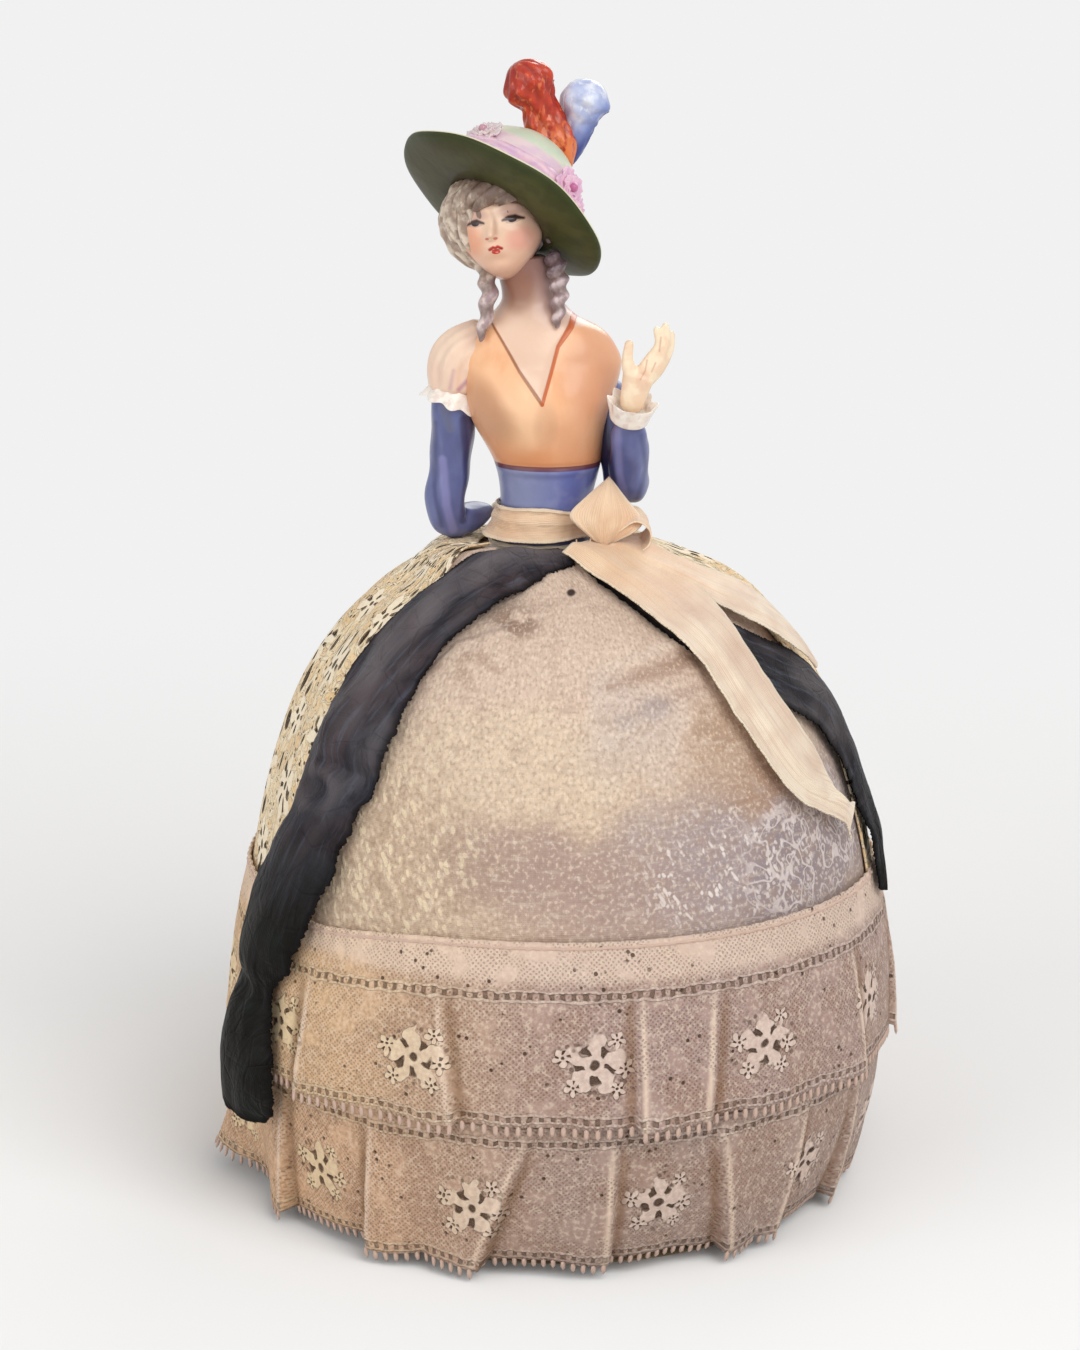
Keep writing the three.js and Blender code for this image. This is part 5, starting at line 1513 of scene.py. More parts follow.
def body_point(turn, z):
    """turn in radians from the front, rightwards."""
    x = section_x(z) + section_wide(z) * sin(turn)
    front = cos(turn)
    y = section_y(z) - section_deep(z) * front
    if front > 0:
        for bx, bz, high in ((-7.2, 36.3, 1.5), (7.6, 36.3, 1.5)):
            y -= high * exp(-((x - bx) ** 2 + (z - bz) ** 2) / 42)
        groove = 0.5 * exp(-((x - 0.6) ** 2) / 18) * ease(z, 24, 30) * (1 - ease(z, 40, 46))
        waist = 0.35 * hill(z, BELT_TOP - 0.9, 0.8) - 0.25 * hill(z, BELT_TOP + 0.6, 0.6)
        y += groove - waist
        left = neckline_left(z)
        right = neckline_right(z)
        inside = ease(x, left - 0.3, left + 0.3) * (1 - ease(x, right - 0.3, right + 0.3))
        inside *= ease(z, 35.5, 36.5)
        rim = hill(x, left, 0.6) + hill(x, right, 0.6)
        y += 0.3 * inside - 0.3 * rim * ease(z, 35, 37) * (1 - ease(z, 52, 55))
    collar = 0.3 * front * hill(z, 58, 2.5) * exp(-(((x + 2) / 3) ** 2))
    return Vector((x, y - collar, z))


def tube(cols, rows, at):
    """A mesh round an axis whose first and last rows close to a point."""
    bm = bmesh.new()
    bmesh.ops.create_grid(bm, x_segments=cols, y_segments=rows, size=0.5)
    for vert in bm.verts:
        vert.co = at(clamp(vert.co.x + 0.5), clamp(vert.co.y + 0.5))
    bmesh.ops.remove_doubles(bm, verts=bm.verts, dist=1e-4)
    bmesh.ops.recalc_face_normals(bm, faces=bm.faces)
    return bm


BODY_ROWS = 220
BODY_TOP = 66.1


def body_at(along, across):
    row = round(across * BODY_ROWS)
    if row == 0:
        return Vector((section_x(0), 0, 0))
    if row == BODY_ROWS:
        return Vector((section_x(BODY_TOP), section_y(BODY_TOP), BODY_TOP))
    rise = (row - 1) / (BODY_ROWS - 2)
    z = 2.9 * (rise / 0.05) if rise < 0.05 else mix(2.9, BODY_TOP, (rise - 0.05) / 0.95)
    return body_point(along * 2 * pi, z)


def body_glaze():
    """Peach bodice with a dark V, skin above it, and a pale blue belt below a maroon border."""
    paint = Paint("bodice_glaze")
    x, y, z = paint.split(paint.local(DOLL))
    front = 1 - y.above(-2, 2)
    left = broken(z, NECKLINE_LEFT)
    right = broken(z, NECKLINE_RIGHT)
    within = (x - left).above(-0.15, 0.15) * (1 - (x - right).above(-0.15, 0.15)) * z.above(35.4, 36.4)
    nape = z.above(51, 52.2)
    skin = (within * front).highest(nape)
    low = 1 - z.above(BELT_TOP - 0.2, BELT_TOP + 0.2)
    brushed = paint.noise(6, 3, stretch=(1, 1, 0.5))
    bodice = paint.blend(brushed.above(0.35, 0.65), srgb(250, 196, 152), srgb(242, 180, 134))
    # Deeper orange low down, a painted highlight on the chest, painted shade at the right shoulder, and a
    # darker patch under the right breast.
    bodice = paint.layers(
        bodice,
        (z.above(31, 21) * 0.7, srgb(222, 142, 94)),
        (spot(x, z, (-4.0, 34), (6.5, 7.5), 1.0) * 0.7, srgb(250, 206, 166)),
        (spot(x, z, (11, 42), (6.5, 9), 1.0) * 0.75, srgb(212, 152, 120)),
        (spot(x, z, (6.5, 29), (4.5, 5.5), 0.9) * 0.4, srgb(222, 164, 128)),
    )
    # Painted shade in the hollow by the left armpit and in the groove between the breasts.
    hollow = spot(x + brushed * 3, z, (-10.0, 34), (4.0, 7.5), 1.0, 35)
    bodice = paint.blend(hollow * 0.6, bodice, srgb(172, 112, 76))
    bodice = paint.blend(spot(x, z, (0.8, 31), (2.4, 5), 0.95) * 0.3, bodice, srgb(176, 112, 76))
    # The neck: painted shade under the chin, deepest at the left, and painted lilac light on its right.
    throat = paint.blend(z.above(63, 50), srgb(148, 106, 94), srgb(234, 200, 176))
    throat = paint.blend(x.above(-3, 2) * z.above(50, 57) * 0.6, throat, srgb(198, 168, 166))
    throat = paint.blend(spot(x, z, (-5.4, 59.5), (3.4, 4.4), 1.0) * 0.75, throat, srgb(146, 98, 76))
    colour = paint.blend(skin, bodice, throat)
    line_left = (
        stroke(x, z, [(0.1, 35.9), (-4.7, 42.6), (-8.9, 49.4), (-10.6, 52)], [0.36, 0.3, 0.26, 0.22])
        * front
    )
    line_right = (
        stroke(x, z, [(0.1, 35.9), (3.5, 47.7), (6.3, 51.7), (7.4, 54.7)], [0.36, 0.4, 0.7, 0.6])
        * front
    )
    collar = z.within(51.6, 0.35, 0.25) * (1 - front)
    colour = paint.layers(
        colour,
        (line_left * 0.85, srgb(150, 84, 40)),
        (line_right * 0.9, srgb(198, 92, 36)),
        (collar * 0.9, srgb(176, 70, 36)),
    )
    belt = paint.blend(x.above(-4, 8), srgb(132, 138, 176), srgb(104, 114, 178))
    belt = paint.blend(paint.noise(4, 2).above(0.45, 0.65) * 0.4, belt, srgb(146, 150, 190))
    belt = paint.blend((1 - z.above(6, 12)) * 0.5, belt, srgb(82, 86, 132))
    colour = paint.blend(low, colour, belt)
    border = z.within(BELT_TOP + 0.1, 0.42, 0.2)
    colour = paint.blend(border * 0.9, colour, srgb(92, 42, 62))
    foot = 1 - z.above(3.2, 3.8)
    colour = paint.blend(foot, colour, srgb(236, 228, 214))
    return glaze(paint, colour, extra=(line_left.highest(line_right)) * 0.12)


doll_piece(tube(150, BODY_ROWS, body_at), "bust_porcelain", "bodice_glaze", "bust", body_glaze())

# Head and hair

HEAD_AT = Vector((-8.8, -3, 72.1))
HEAD_HALF, HEAD_DEPTH, HEAD_TALL = 9.1, 9.2, 11.0
HEAD_TURN = Matrix.Translation(HEAD_AT) @ Matrix.Rotation(radians(-8), 4, "Y")
EYES = [(-4.9, 3.1, 1.95), (3.0, 3.1, 2.15)]
NOSE_TIP = (-2.1, -0.1)
MOUTH = (-1.45, -3.1)
bridge_of_nose = through([(-0.6, 0.0), (0.2, 1.0), (2.0, 0.62), (4.0, 0.3), (6.5, 0.0)])


def head_point(p):
    """The face looks a little to the left: its features are moulded where they are painted."""
    chin = ease(-p.z, 0.1, 1)
    wide = HEAD_HALF * (1 - 0.24 * chin)
    u, v = p.x * wide, p.z * HEAD_TALL
    y = p.y * HEAD_DEPTH
    if p.y < 0:
        out = 0.0
        bridge = bridge_of_nose(clamp(v, -0.6, 6.5))
        out += 2.0 * bridge * hill(u, NOSE_TIP[0] + 0.12 * (v + 0.1), 1.15)
        out += 0.55 * hill(v, -0.5, 0.75) * hill(u, NOSE_TIP[0], 1.7)
        out += 0.75 * exp(-((u - MOUTH[0]) ** 2) / 4.4 - ((v - MOUTH[1]) ** 2) / 1.9)
        out -= 0.3 * exp(-((u - MOUTH[0]) ** 2) / 2.4 - ((v - MOUTH[1] - 0.1) ** 2) / 0.12)
        out += 0.8 * exp(-((u + 0.6) ** 2) / 7 - ((v + 7.8) ** 2) / 4.2)
        out -= 0.35 * exp(-((u - MOUTH[0]) ** 2) / 5 - ((v + 5.5) ** 2) / 0.7)
        for cheek in (-6.0, 4.0):
            out += 0.35 * exp(-((u - cheek) ** 2) / 9 - ((v + 1.4) ** 2) / 9)
        for at, high, half in EYES:
            socket = exp(-((u - at) ** 2) / 5.5 - ((v - high - 0.6) ** 2) / 3.6)
            lid = exp(-((u - at) ** 2) / (half * half * 0.7) - ((v - high) ** 2) / 0.9)
            out += 0.65 * lid - 0.85 * socket
        out += 0.3 * exp(-((v - 6.4) ** 2) / 2.4) * ease(u, -7.5, -5)
        y -= out * ease(-p.y, 0.05, 0.45)
    return HEAD_TURN @ Vector((u, y + 0.6 * chin, v))


def face_glaze():
    """A painted doll's face: half-closed dark eyes, thin brows, red lips, a blushed right cheek, painted
    shade and a painted highlight on the lower lip.
    """
    paint = Paint("face_glaze")
    u, y, v = paint.split(paint.local(DOLL @ HEAD_TURN))
    front = 1 - y.above(-3, -1)
    skin = paint.blend(v.above(-9, 6), srgb(232, 186, 158), srgb(246, 212, 184))
    skin = paint.blend(paint.noise(5, 2).above(0.4, 0.7) * 0.3, skin, srgb(240, 196, 168))
    # Painted shade under the chin and round the lower sides of the face.
    under = (1 - v.above(-10, -6.5)) * (1 - y.above(-8.5, -4)) + y.above(-6, 0) * (1 - v.above(-6, 0))
    skin = paint.blend(under.lowest(1.0) * 0.75, skin, srgb(172, 128, 124))
    # Painted shade on the left cheek, a blush on the right one, and painted shade down the right side of the
    # face and on the forehead under the fringe.
    skin = paint.layers(
        skin,
        (spot(u, v, (-6.6, -1.0), (2.6, 3.4), 1.0) * 0.65, srgb(230, 148, 112)),
        (spot(u, v, (4.2, -1.6), (3.0, 2.5), 0.9) * 0.65, srgb(236, 158, 140)),
        (spot(u, v, (6.9, 1.0), (2.0, 7.0), 0.9) * 0.4, srgb(200, 150, 136)),
        (spot(u, v, (-1.0, 7.4), (8.5, 1.8), 0.9) * 0.4, srgb(206, 170, 152)),
    )
    shadow = srgb(178, 128, 112)
    # Painted shade in the eye sockets and beside and under the nose, and red nostril dots.
    skin = paint.layers(
        skin,
        (spot(u, v, (-4.7, 4.3), (2.5, 1.1), 0.8) * 0.55, srgb(206, 158, 150)),
        (spot(u, v, (2.9, 4.4), (2.7, 1.2), 0.8) * 0.55, srgb(206, 158, 150)),
        (stroke(u, v, [(-1.0, 4.4), (-0.7, 2.0), (-0.9, 0.4)], 0.35, 0.5) * 0.35, shadow),
        (spot(u, v, (-2.9, -0.6), (0.42, 0.3), 0.5) * 0.8, srgb(190, 84, 66)),
        (spot(u, v, (-1.1, -0.7), (0.5, 0.32), 0.5) * 0.8, srgb(190, 84, 66)),
        (stroke(u, v, [(-2.6, -1.1), (-1.9, -1.2), (-1.2, -1.1)], 0.15, 0.3) * 0.4, shadow),
    )
    lids = srgb(66, 46, 44)
    brow = srgb(132, 92, 74)
    skin = paint.layers(
        skin,
        (stroke(u, v, [(-3.2, 6.1), (-5.2, 6.1), (-7.1, 4.8)], [0.3, 0.34, 0.14], 0.2) * 0.85, brow),
        (
            stroke(
                u, v, [(0.7, 6.0), (2.6, 6.5), (4.7, 5.7), (5.6, 4.9)], [0.28, 0.36, 0.26, 0.12], 0.2
            ) * 0.85,
            brow,
        ),
        (spot(u, v, (-4.95, 2.6), (1.3, 0.4), 0.3), srgb(206, 186, 180)),
        (spot(u, v, (3.0, 2.6), (1.5, 0.42), 0.3), srgb(206, 186, 180)),
        (spot(u, v, (-5.0, 2.6), (0.8, 0.5), 0.2), srgb(48, 34, 34)),
        (spot(u, v, (3.0, 2.6), (0.9, 0.55), 0.2), srgb(48, 34, 34)),
        (
            stroke(u, v, [(-6.8, 2.4), (-5.8, 2.95), (-4.6, 3.1), (-3.2, 2.7)], [0.2, 0.42, 0.5, 0.24], 0.25),
            lids,
        ),
        (
            stroke(u, v, [(0.9, 2.8), (2.2, 3.1), (3.6, 3.1), (5.4, 2.5)], [0.24, 0.52, 0.52, 0.26], 0.25),
            lids,
        ),
        (stroke(u, v, [(-6.3, 2.2), (-4.9, 2.0), (-3.6, 2.3)], 0.1, 0.16) * 0.6, shadow),
        (stroke(u, v, [(1.6, 2.2), (3.0, 1.9), (4.6, 2.3)], 0.1, 0.16) * 0.6, shadow),
    )
    red = srgb(186, 44, 36)
    skin = paint.layers(
        skin,
        (
            stroke(u, v, [(-2.7, -3.0), (-1.9, -2.55), (-1.4, -2.75), (-0.9, -2.5), (-0.1, -3.0)], 0.32, 0.2),
            red,
        ),
        (spot(u, v, (-1.4, -3.55), (0.95, 0.55), 0.3), srgb(206, 66, 50)),
        (stroke(u, v, [(-2.7, -3.05), (-1.4, -3.15), (-0.1, -3.05)], 0.1, 0.12) * 0.8, srgb(96, 20, 24)),
        # A painted highlight on the lower lip.
        (spot(u, v, (-1.2, -3.7), (0.35, 0.15), 0.5) * 0.6, srgb(244, 190, 176)),
    )
    plain = paint.blend(paint.noise(4, 2), srgb(228, 186, 160), srgb(210, 166, 146))
    colour = paint.blend(front, plain, skin)
    return glaze(paint, colour, 0.2)


doll_piece(ball(head_point, 200, 150), "head_porcelain", "face_glaze", "head", face_glaze())

HAIR_AT = HEAD_AT + Vector((-1.4, 2.72, 1.87))
HAIR_TURN = Matrix.Translation(HAIR_AT) @ Matrix.Rotation(radians(-8), 4, "Y")


def hair_point(p):
    turn = atan2(p.x, -p.y)
    out = sqrt(max(0, 1 - p.z * p.z))
    wave = 1 + 0.03 * sin(7 * turn + 5 * p.z) * out
    locks = 0.45 * sin(26 * turn + 7 * p.z + 2.5 * wander(turn * 5, p.z * 3, 1, 41)) * out
    lumps = 0.7 * wander(p.x * 10, p.z * 10, 2.6, 42)
    grow = locks + lumps
    at = Vector((p.x * (11.4 * wave + grow), p.y * (10.3 * wave + grow), p.z * (11.51 + 0.4 * grow)))
    return HAIR_TURN @ at, clamp(0.5 + locks)


def hair_glaze():
    """Powdered hair: warm grey curls at the left, lilac-brown in the shade at the right."""
    paint = Paint("hair_glaze")
    u, y, v = paint.split(paint.local(DOLL @ HEAD_TURN))
    tone = paint.mark("Tone")
    curl = paint.noise(2.2, 3).above(0.38, 0.6)
    grey = paint.blend(curl, srgb(234, 216, 196), srgb(176, 152, 134))
    lilac = paint.blend(curl, srgb(124, 102, 112), srgb(74, 58, 64))
    brow_locks = paint.blend(curl, srgb(170, 148, 132), srgb(124, 98, 84))
    colour = paint.blend(u.above(-7.5, -3), grey, brow_locks)
    colour = paint.blend(u.above(2, 7), colour, lilac)
    hanging = v.above(-8, -13)
    colour = paint.blend(hanging * 0.85, colour, paint.blend(curl, srgb(224, 204, 202), srgb(170, 146, 150)))
    # Painted shade in the grooves between the locks and round the ringlets' turns.
    colour = paint.blend((1 - tone) * (hanging * 0.2 + 0.5), colour, srgb(104, 80, 70))
    fringe = v.within(8.2, 1.6, 1.2) * u.within(0, 7, 2) * (1 - y.above(-6, -3))
    strands = paint.noise(1.2, 2, stretch=(1, 1, 0.3)).above(0.4, 0.6)
    colour = paint.blend(fringe * strands * 0.7, colour, srgb(112, 92, 80))
    return glaze(paint, colour, 0.28, tone * 0.2)


hair_paint = hair_glaze()


def lock(points, thick, seed):
    """A strand of moulded hair, grooved along its length."""

    def detail(share, turn):
        groove = cos(4 * turn + 3 * share + seed)
        return 0.09 * groove + 0.1 * wander(share * 6, turn, 1, seed), clamp(0.5 + 0.5 * groove)

    return limb(
        points,
        [(0, thick * 0.7), (0.4, thick), (1, thick * 0.4)],
        flat=0.7,
        sides=24,
        rings=36,
        detail=detail,
    )


# Locks over the forehead and at the left temple: the points of each and how thick, in the doll's frame.
LOCKS = [
    ([(-4.0, -9.6, 82.6), (-8.4, -11.8, 81.4), (-12.6, -10.8, 78.6), (-14.6, -9.4, 76.6)], 1.7),
    ([(-2.4, -9.4, 82.4), (-6.4, -12.0, 80.2), (-10.4, -11.9, 78.8)], 1.5),
    ([(-6.8, -9.8, 83.0), (-12.4, -10.4, 80.8), (-16.4, -8.0, 77.4), (-17.4, -7.0, 74.8)], 1.9),
    ([(-10.4, -8.6, 82.8), (-16.2, -8.4, 79.8), (-18.8, -5.8, 75.8)], 1.8),
    ([(-15.0, -6.6, 80.6), (-18.8, -5.6, 77.4), (-18.2, -6.4, 73.6), (-16.6, -7.6, 73.2)], 1.7),
    ([(-17.4, -5.4, 76.4), (-19.2, -4.4, 73.4), (-17.6, -6.0, 70.6), (-16.2, -6.8, 71.4)], 1.6),
    ([(-18.4, -3.6, 74.0), (-18.8, -3.6, 70.8), (-16.8, -5.2, 68.0), (-15.6, -5.8, 68.8)], 1.5),
    ([(-3.2, -9.2, 82.2), (-1.0, -10.6, 79.6), (0.4, -9.0, 76.4)], 1.6),
    ([(-1.4, -8.4, 81.2), (1.0, -8.2, 77.4), (1.2, -6.6, 73.4)], 1.7),
    ([(1.2, -7.0, 78.0), (2.0, -5.6, 73.4), (1.4, -4.4, 69.2)], 1.8),
]
doll_piece(
    join(
        ball(hair_point, 110, 80), *(lock(points, thick, i * 1.7) for i, (points, thick) in enumerate(LOCKS))
    ),
    "hair_porcelain",
    "hair_glaze",
    "hair",
    hair_paint,
)


def ringlet(points, thick, lobes):
    def detail(share, turn):
        twist = cos(turn - share * lobes * 2 * pi)
        return 0.2 * twist - 0.22 * share, clamp(0.5 + 0.5 * twist)

    return limb(points, [(0, thick), (0.6, thick * 0.95), (1, thick * 0.55)], rings=80, detail=detail)


right_ringlet = ringlet([(2.4, -4, 67.5), (3.8, -6.4, 60.1), (3.2, -8.4, 51.4)], 2.1, 5)
doll_piece(right_ringlet, "ringlet_right_porcelain", "hair_glaze", "ringlet_right", hair_paint)
left_ringlet = ringlet([(-12.6, -3.4, 66.6), (-11.4, -5.0, 58.6), (-13.2, -7.6, 48.4)], 2.1, 4)
doll_piece(left_ringlet, "ringlet_left_porcelain", "hair_glaze", "ringlet_left", hair_paint)

# Hat

HAT_HEIGHT = 19.6
CROWN_RADIUS = 16
BRIM_RADIUS = 24.5
BRIM_THICKNESS = 1.6
BRIM_CURL = 1.4
HAT_AT = HEAD_AT + Vector((-0.8, 1, 3.44))
HAT_TURN = (
    Matrix.Translation(HAT_AT)
    @ Matrix.Rotation(radians(34.5), 4, "Y")
    @ Matrix.Rotation(radians(-28), 4, "X")
)
crown = [(CROWN_RADIUS * sin(radians(a)), 2 + (HAT_HEIGHT - 2) * cos(radians(a))) for a in range(0, 81, 4)]
brim_top = [
    (mix(CROWN_RADIUS + 1.4, BRIM_RADIUS - 0.6, s / 8), BRIM_THICKNESS + BRIM_CURL * (s / 8) ** 2)
    for s in range(9)
]
brim_edge = [
    (BRIM_RADIUS - 0.1, 2.7), (BRIM_RADIUS, 2.2), (BRIM_RADIUS - 0.15, 1.7), (BRIM_RADIUS - 0.8, BRIM_CURL)
]
underside = [
    (0.9 * BRIM_RADIUS, 0.75),
    (0.75 * BRIM_RADIUS, 0.28),
    (0.6 * BRIM_RADIUS, 0.08),
    (0.48 * BRIM_RADIUS, 0.0),
]
hollow = [(10.5, 0.6), (9.8, 3.0), (9.0, 6.0), (0, 6.0)]


def hat_mesh():
    """The hat, with Tone 1 on its underside, on its brim's edge and inside its hollow."""
    bm = spun(crown + brim_top + brim_edge + underside + hollow, 144)
    below = []
    for vert in bm.verts:
        r = hypot(vert.co.x, vert.co.y)
        edge = r > BRIM_RADIUS - 0.3 and vert.co.z < 2.5
        inside = r < 10.6 and vert.co.z < 6.5
        below.append(1.0 if vert.co.z < 1.55 or edge or inside else 0.0)
        turn = atan2(vert.co.x, -vert.co.y)
        wave = 0.45 * sin(3 * turn + 0.8) + 0.2 * sin(7 * turn)
        vert.co.z += wave * ease(r, CROWN_RADIUS, BRIM_RADIUS) * (vert.co.z < 4)
        if r > 1 and vert.co.z > 4:
            vert.co.z += 0.35 * wander(vert.co.x, vert.co.y, 6, 51)
    marked(bm, "Tone", below)
    bmesh.ops.transform(bm, matrix=HAT_TURN, verts=bm.verts)
    return bm


def hat_glaze():
    """Olive below the brim, pale mint and cream above it."""
    paint = Paint("hat_glaze")
    x, y, z = paint.split(paint.local(DOLL @ HAT_TURN))
    r = (x * x + y * y) ** 0.5
    under = paint.mark("Tone").above(0.4, 0.6)
    brushed = paint.noise(4, 3).above(0.35, 0.65)
    olive = paint.blend(brushed * 0.6, srgb(72, 74, 38), srgb(54, 56, 28))
    olive = paint.layers(
        olive,
        (x.above(4, -22) * 0.6, srgb(58, 48, 18)),
        (r.above(21.5, 24) * 0.6, srgb(52, 62, 32)),
        # Painted shadow under the brim, round the head.
        ((1 - r.above(10, 17)) * 0.5, srgb(48, 42, 30)),
    )
    mint = paint.blend(brushed, srgb(206, 220, 196), srgb(226, 224, 202))
    mint = paint.blend(z.above(11, 18) * 0.6, mint, srgb(196, 214, 190))
    mint = paint.blend(r.above(21, 24.3) * 0.5, mint, srgb(170, 182, 132))
    wound = z.within(7, 4.6, 1.4) * (1 - r.above(17.5, 19)) * (1 - under)
    mint = paint.blend(wound * 0.85, mint, paint.blend(brushed, srgb(236, 210, 214), srgb(222, 190, 212)))
    mint = paint.blend(r.above(18, 20) * 0.6, mint, srgb(226, 208, 184))
    rim = r.above(23.6, 24.2) * z.within(2.2, 0.7, 0.3)
    colour = paint.blend(under, mint, olive)
    colour = paint.blend(rim * 0.6 * (1 - under), colour, srgb(232, 226, 196))
    return glaze(paint, colour, 0.42, coat=0.05, shine=0.14)


doll_piece(hat_mesh(), "hat_porcelain", "hat_glaze", "hat", hat_glaze())


def crown_radius(z):
    return CROWN_RADIUS * sqrt(max(0, 1 - (max(0, z - 2) / (HAT_HEIGHT - 2)) ** 2))


BAND_LOW = 2.4
BAND_HIGH = 9.4


def band_point(along, across):
    """A draped, slightly twisted band of closed section round the crown."""
    turn = along * 2 * pi
    way = across * 2 * pi
    z = mix(BAND_LOW, BAND_HIGH, 0.5 - 0.5 * cos(way))
    middle = crown_radius(z)
    plump = 1.25 + 0.3 * sin(5 * turn + 1.2 * sin(2 * turn)) + 0.2 * sin(11 * turn)
    r = middle - 0.3 + (plump if sin(way) > 0 else 0.0) * max(0, sin(way)) ** 0.6
    r += 0.18 * sin(way * 3 + turn * 4) * max(0, sin(way))
    return HAT_TURN @ Vector((r * sin(turn), -r * cos(turn), z + 0.3 * sin(4 * turn)))


def band_glaze():
    paint = Paint("band_glaze")
    x, y, z = paint.split(paint.local(DOLL @ HAT_TURN))
    fold = (z + paint.noise(5, 1) * 3).wave(1.6)
    brushed = paint.noise(3.2, 3).above(0.38, 0.62)
    colour = paint.blend(brushed, srgb(238, 206, 216), srgb(216, 184, 214))
    # Painted shade in the band's folds.
    colour = paint.blend((1 - fold) * 0.35, colour, srgb(204, 140, 172))
    return glaze(paint, colour)


band = tube(180, 24, band_point)
doll_piece(band, "hat_band_porcelain", "band_glaze", "hat_band", band_glaze())


def flower(at, size, petals_round, layers, seed):
    """Rings of cupped petals round a centre, in the hat's frame, facing away from the crown."""
    facing = Vector((at[0], at[1], at[2] * 0.6)).normalized()
    turn = facing.to_track_quat("Z", "Y").to_matrix().to_4x4()
    place = HAT_TURN @ Matrix.Translation(at) @ turn
    parts = []
    for ring in range(layers):
        share = (ring + 1) / layers
        for i in range(petals_round):
            angle = 2 * pi * (i + 0.5 * ring) / petals_round + seed
            spread_out = size * 0.62 * share

            def move(p, angle=angle, spread_out=spread_out, share=share):
                wide = size * (0.28 + 0.3 * share)
                cup = 0.35 * (p.x * p.x + p.y * p.y) * size * 0.5
                ruffle = 0.08 * size * sin(6 * atan2(p.y, p.x) + seed) * (p.x * p.x + p.y * p.y)
                local = Vector((p.x * wide + spread_out, p.y * wide, p.z * size * 0.13 + cup + ruffle))
                local.z += size * 0.35 * (1 - share)
                return place @ (Matrix.Rotation(angle, 4, "Z") @ local), 0.9 * share

            parts.append(ball(move, 18, 12))
    parts.append(ball(lambda p: (place @ (p * size * 0.26 + Vector((0, 0, size * 0.4))), 0.0), 16, 12))
    under = ball(
        lambda p: (place @ Vector((p.x * size * 0.7, p.y * size * 0.7, p.z * size * 0.4 - size * 0.2)), 0.5),
        24,
        16,
    )
    return join(*parts, under)


def flower_glaze(name, petal, tip, eye):
    paint = Paint(name)
    tone = paint.mark("Tone")
    brushed = paint.noise(1.6, 3).above(0.36, 0.64)
    colour = paint.blend(brushed, petal, tip)
    colour = paint.blend(1 - tone.above(0.05, 0.55), colour, eye)
    return glaze(paint, colour, 0.2)


rose_paint = flower_glaze("rose_glaze", srgb(242, 206, 222), srgb(224, 178, 208), srgb(196, 108, 156))
white_paint = flower_glaze(
    "white_flower_glaze", srgb(238, 228, 226), srgb(222, 202, 206), srgb(196, 148, 164)
)
doll_piece(
    flower((9.0, -13.0, 8.2), 4.0, 5, 2, 0.3),
    "rose_large_porcelain",
    "rose_glaze",
    "hat_rose_large",
    rose_paint,
)
doll_piece(
    flower((13.6, -9.6, 5.6), 3.3, 5, 2, 1.1),
    "rose_small_porcelain",
    "rose_glaze",
    "hat_rose_small",
    rose_paint,
)
doll_piece(
    flower((-11.6, -8.2, 9.8), 3.6, 6, 2, 0.7),
    "white_flower_porcelain",
    "frill_glaze",
    "hat_flower_white",
    white_paint,
)

# Plumes

PLUME_FOOT = HAT_TURN @ Vector((7.2, 1, HAT_HEIGHT - 3))
PLUME_TOP = PLUME_FOOT.z + 19.4


def plume_detail(ribs, depth):
    def detail(share, turn):
        barb = sin(ribs * turn + 14 * share) * 0.6 + 0.4 * sin((ribs + 4) * turn - 23 * share)
        lump = wander(turn * 2, share * 9, 1.1, 61)
        return depth * barb + 0.12 * lump, clamp(0.5 + 0.5 * barb)

    return detail


def plume(points, radii, ribs=8, depth=0.1):
    """A feather that swells to a round curled head at its end."""
    return limb(points, radii, flat=0.85, sides=64, rings=110, detail=plume_detail(ribs, depth), cap=0.2)


F = PLUME_FOOT
red_ball = Vector((F.x - 7.4, 4, PLUME_TOP))
red_plume = plume(
    [
        (F.x + 0.4, F.y, F.z - 1.0),
        (F.x - 1.4, 4.0, F.z + 4.8),
        (F.x - 3.6, 4.6, F.z + 10.4),
        (F.x - 5.2, 4.2, F.z + 15.0),
        (red_ball.x + 0.3, 3.8, red_ball.z - 0.4),
        (red_ball.x - 2.8, 3.2, red_ball.z + 4.2),
    ],
    [(0, 2.2), (0.2, 4.5), (0.4, 4.6), (0.58, 3.8), (0.8, 5.6), (1, 4.9)],
)
blue_ball = Vector((F.x + 5.1, 6.5, PLUME_TOP - 4.0))
blue_plume = plume(
    [
        (F.x + 1.2, F.y + 1.6, F.z + 1.0),
        (F.x + 3.0, 6.4, F.z + 6.5),
        (F.x + 4.0, 6.6, F.z + 11),
        (blue_ball.x - 0.2, 6.5, blue_ball.z - 0.6),
        (blue_ball.x + 2.4, 6.2, blue_ball.z + 4.0),
    ],
    [(0, 1.4), (0.25, 2.3), (0.5, 3.5), (0.77, 5.3), (1, 4.6)],
    ribs=5,
    depth=0.04,
)


def plume_glaze(name, top, low, edge, fleck):
    paint = Paint(name)
    x, y, z = paint.split(paint.local(DOLL))
    tone = paint.mark("Tone")
    curl = paint.noise(2.0, 3).above(0.4, 0.6)
    colour = paint.blend(curl * 0.7, top, low)
    # Painted shade in the grooves between the barbs.
    colour = paint.blend((1 - tone) * 0.6, colour, edge)
    colour = paint.blend(paint.noise(1.2, 3, stretch=(1, 1, 0.5)).above(0.54, 0.68) * 0.6, colour, fleck)
    return paint, colour, x, z


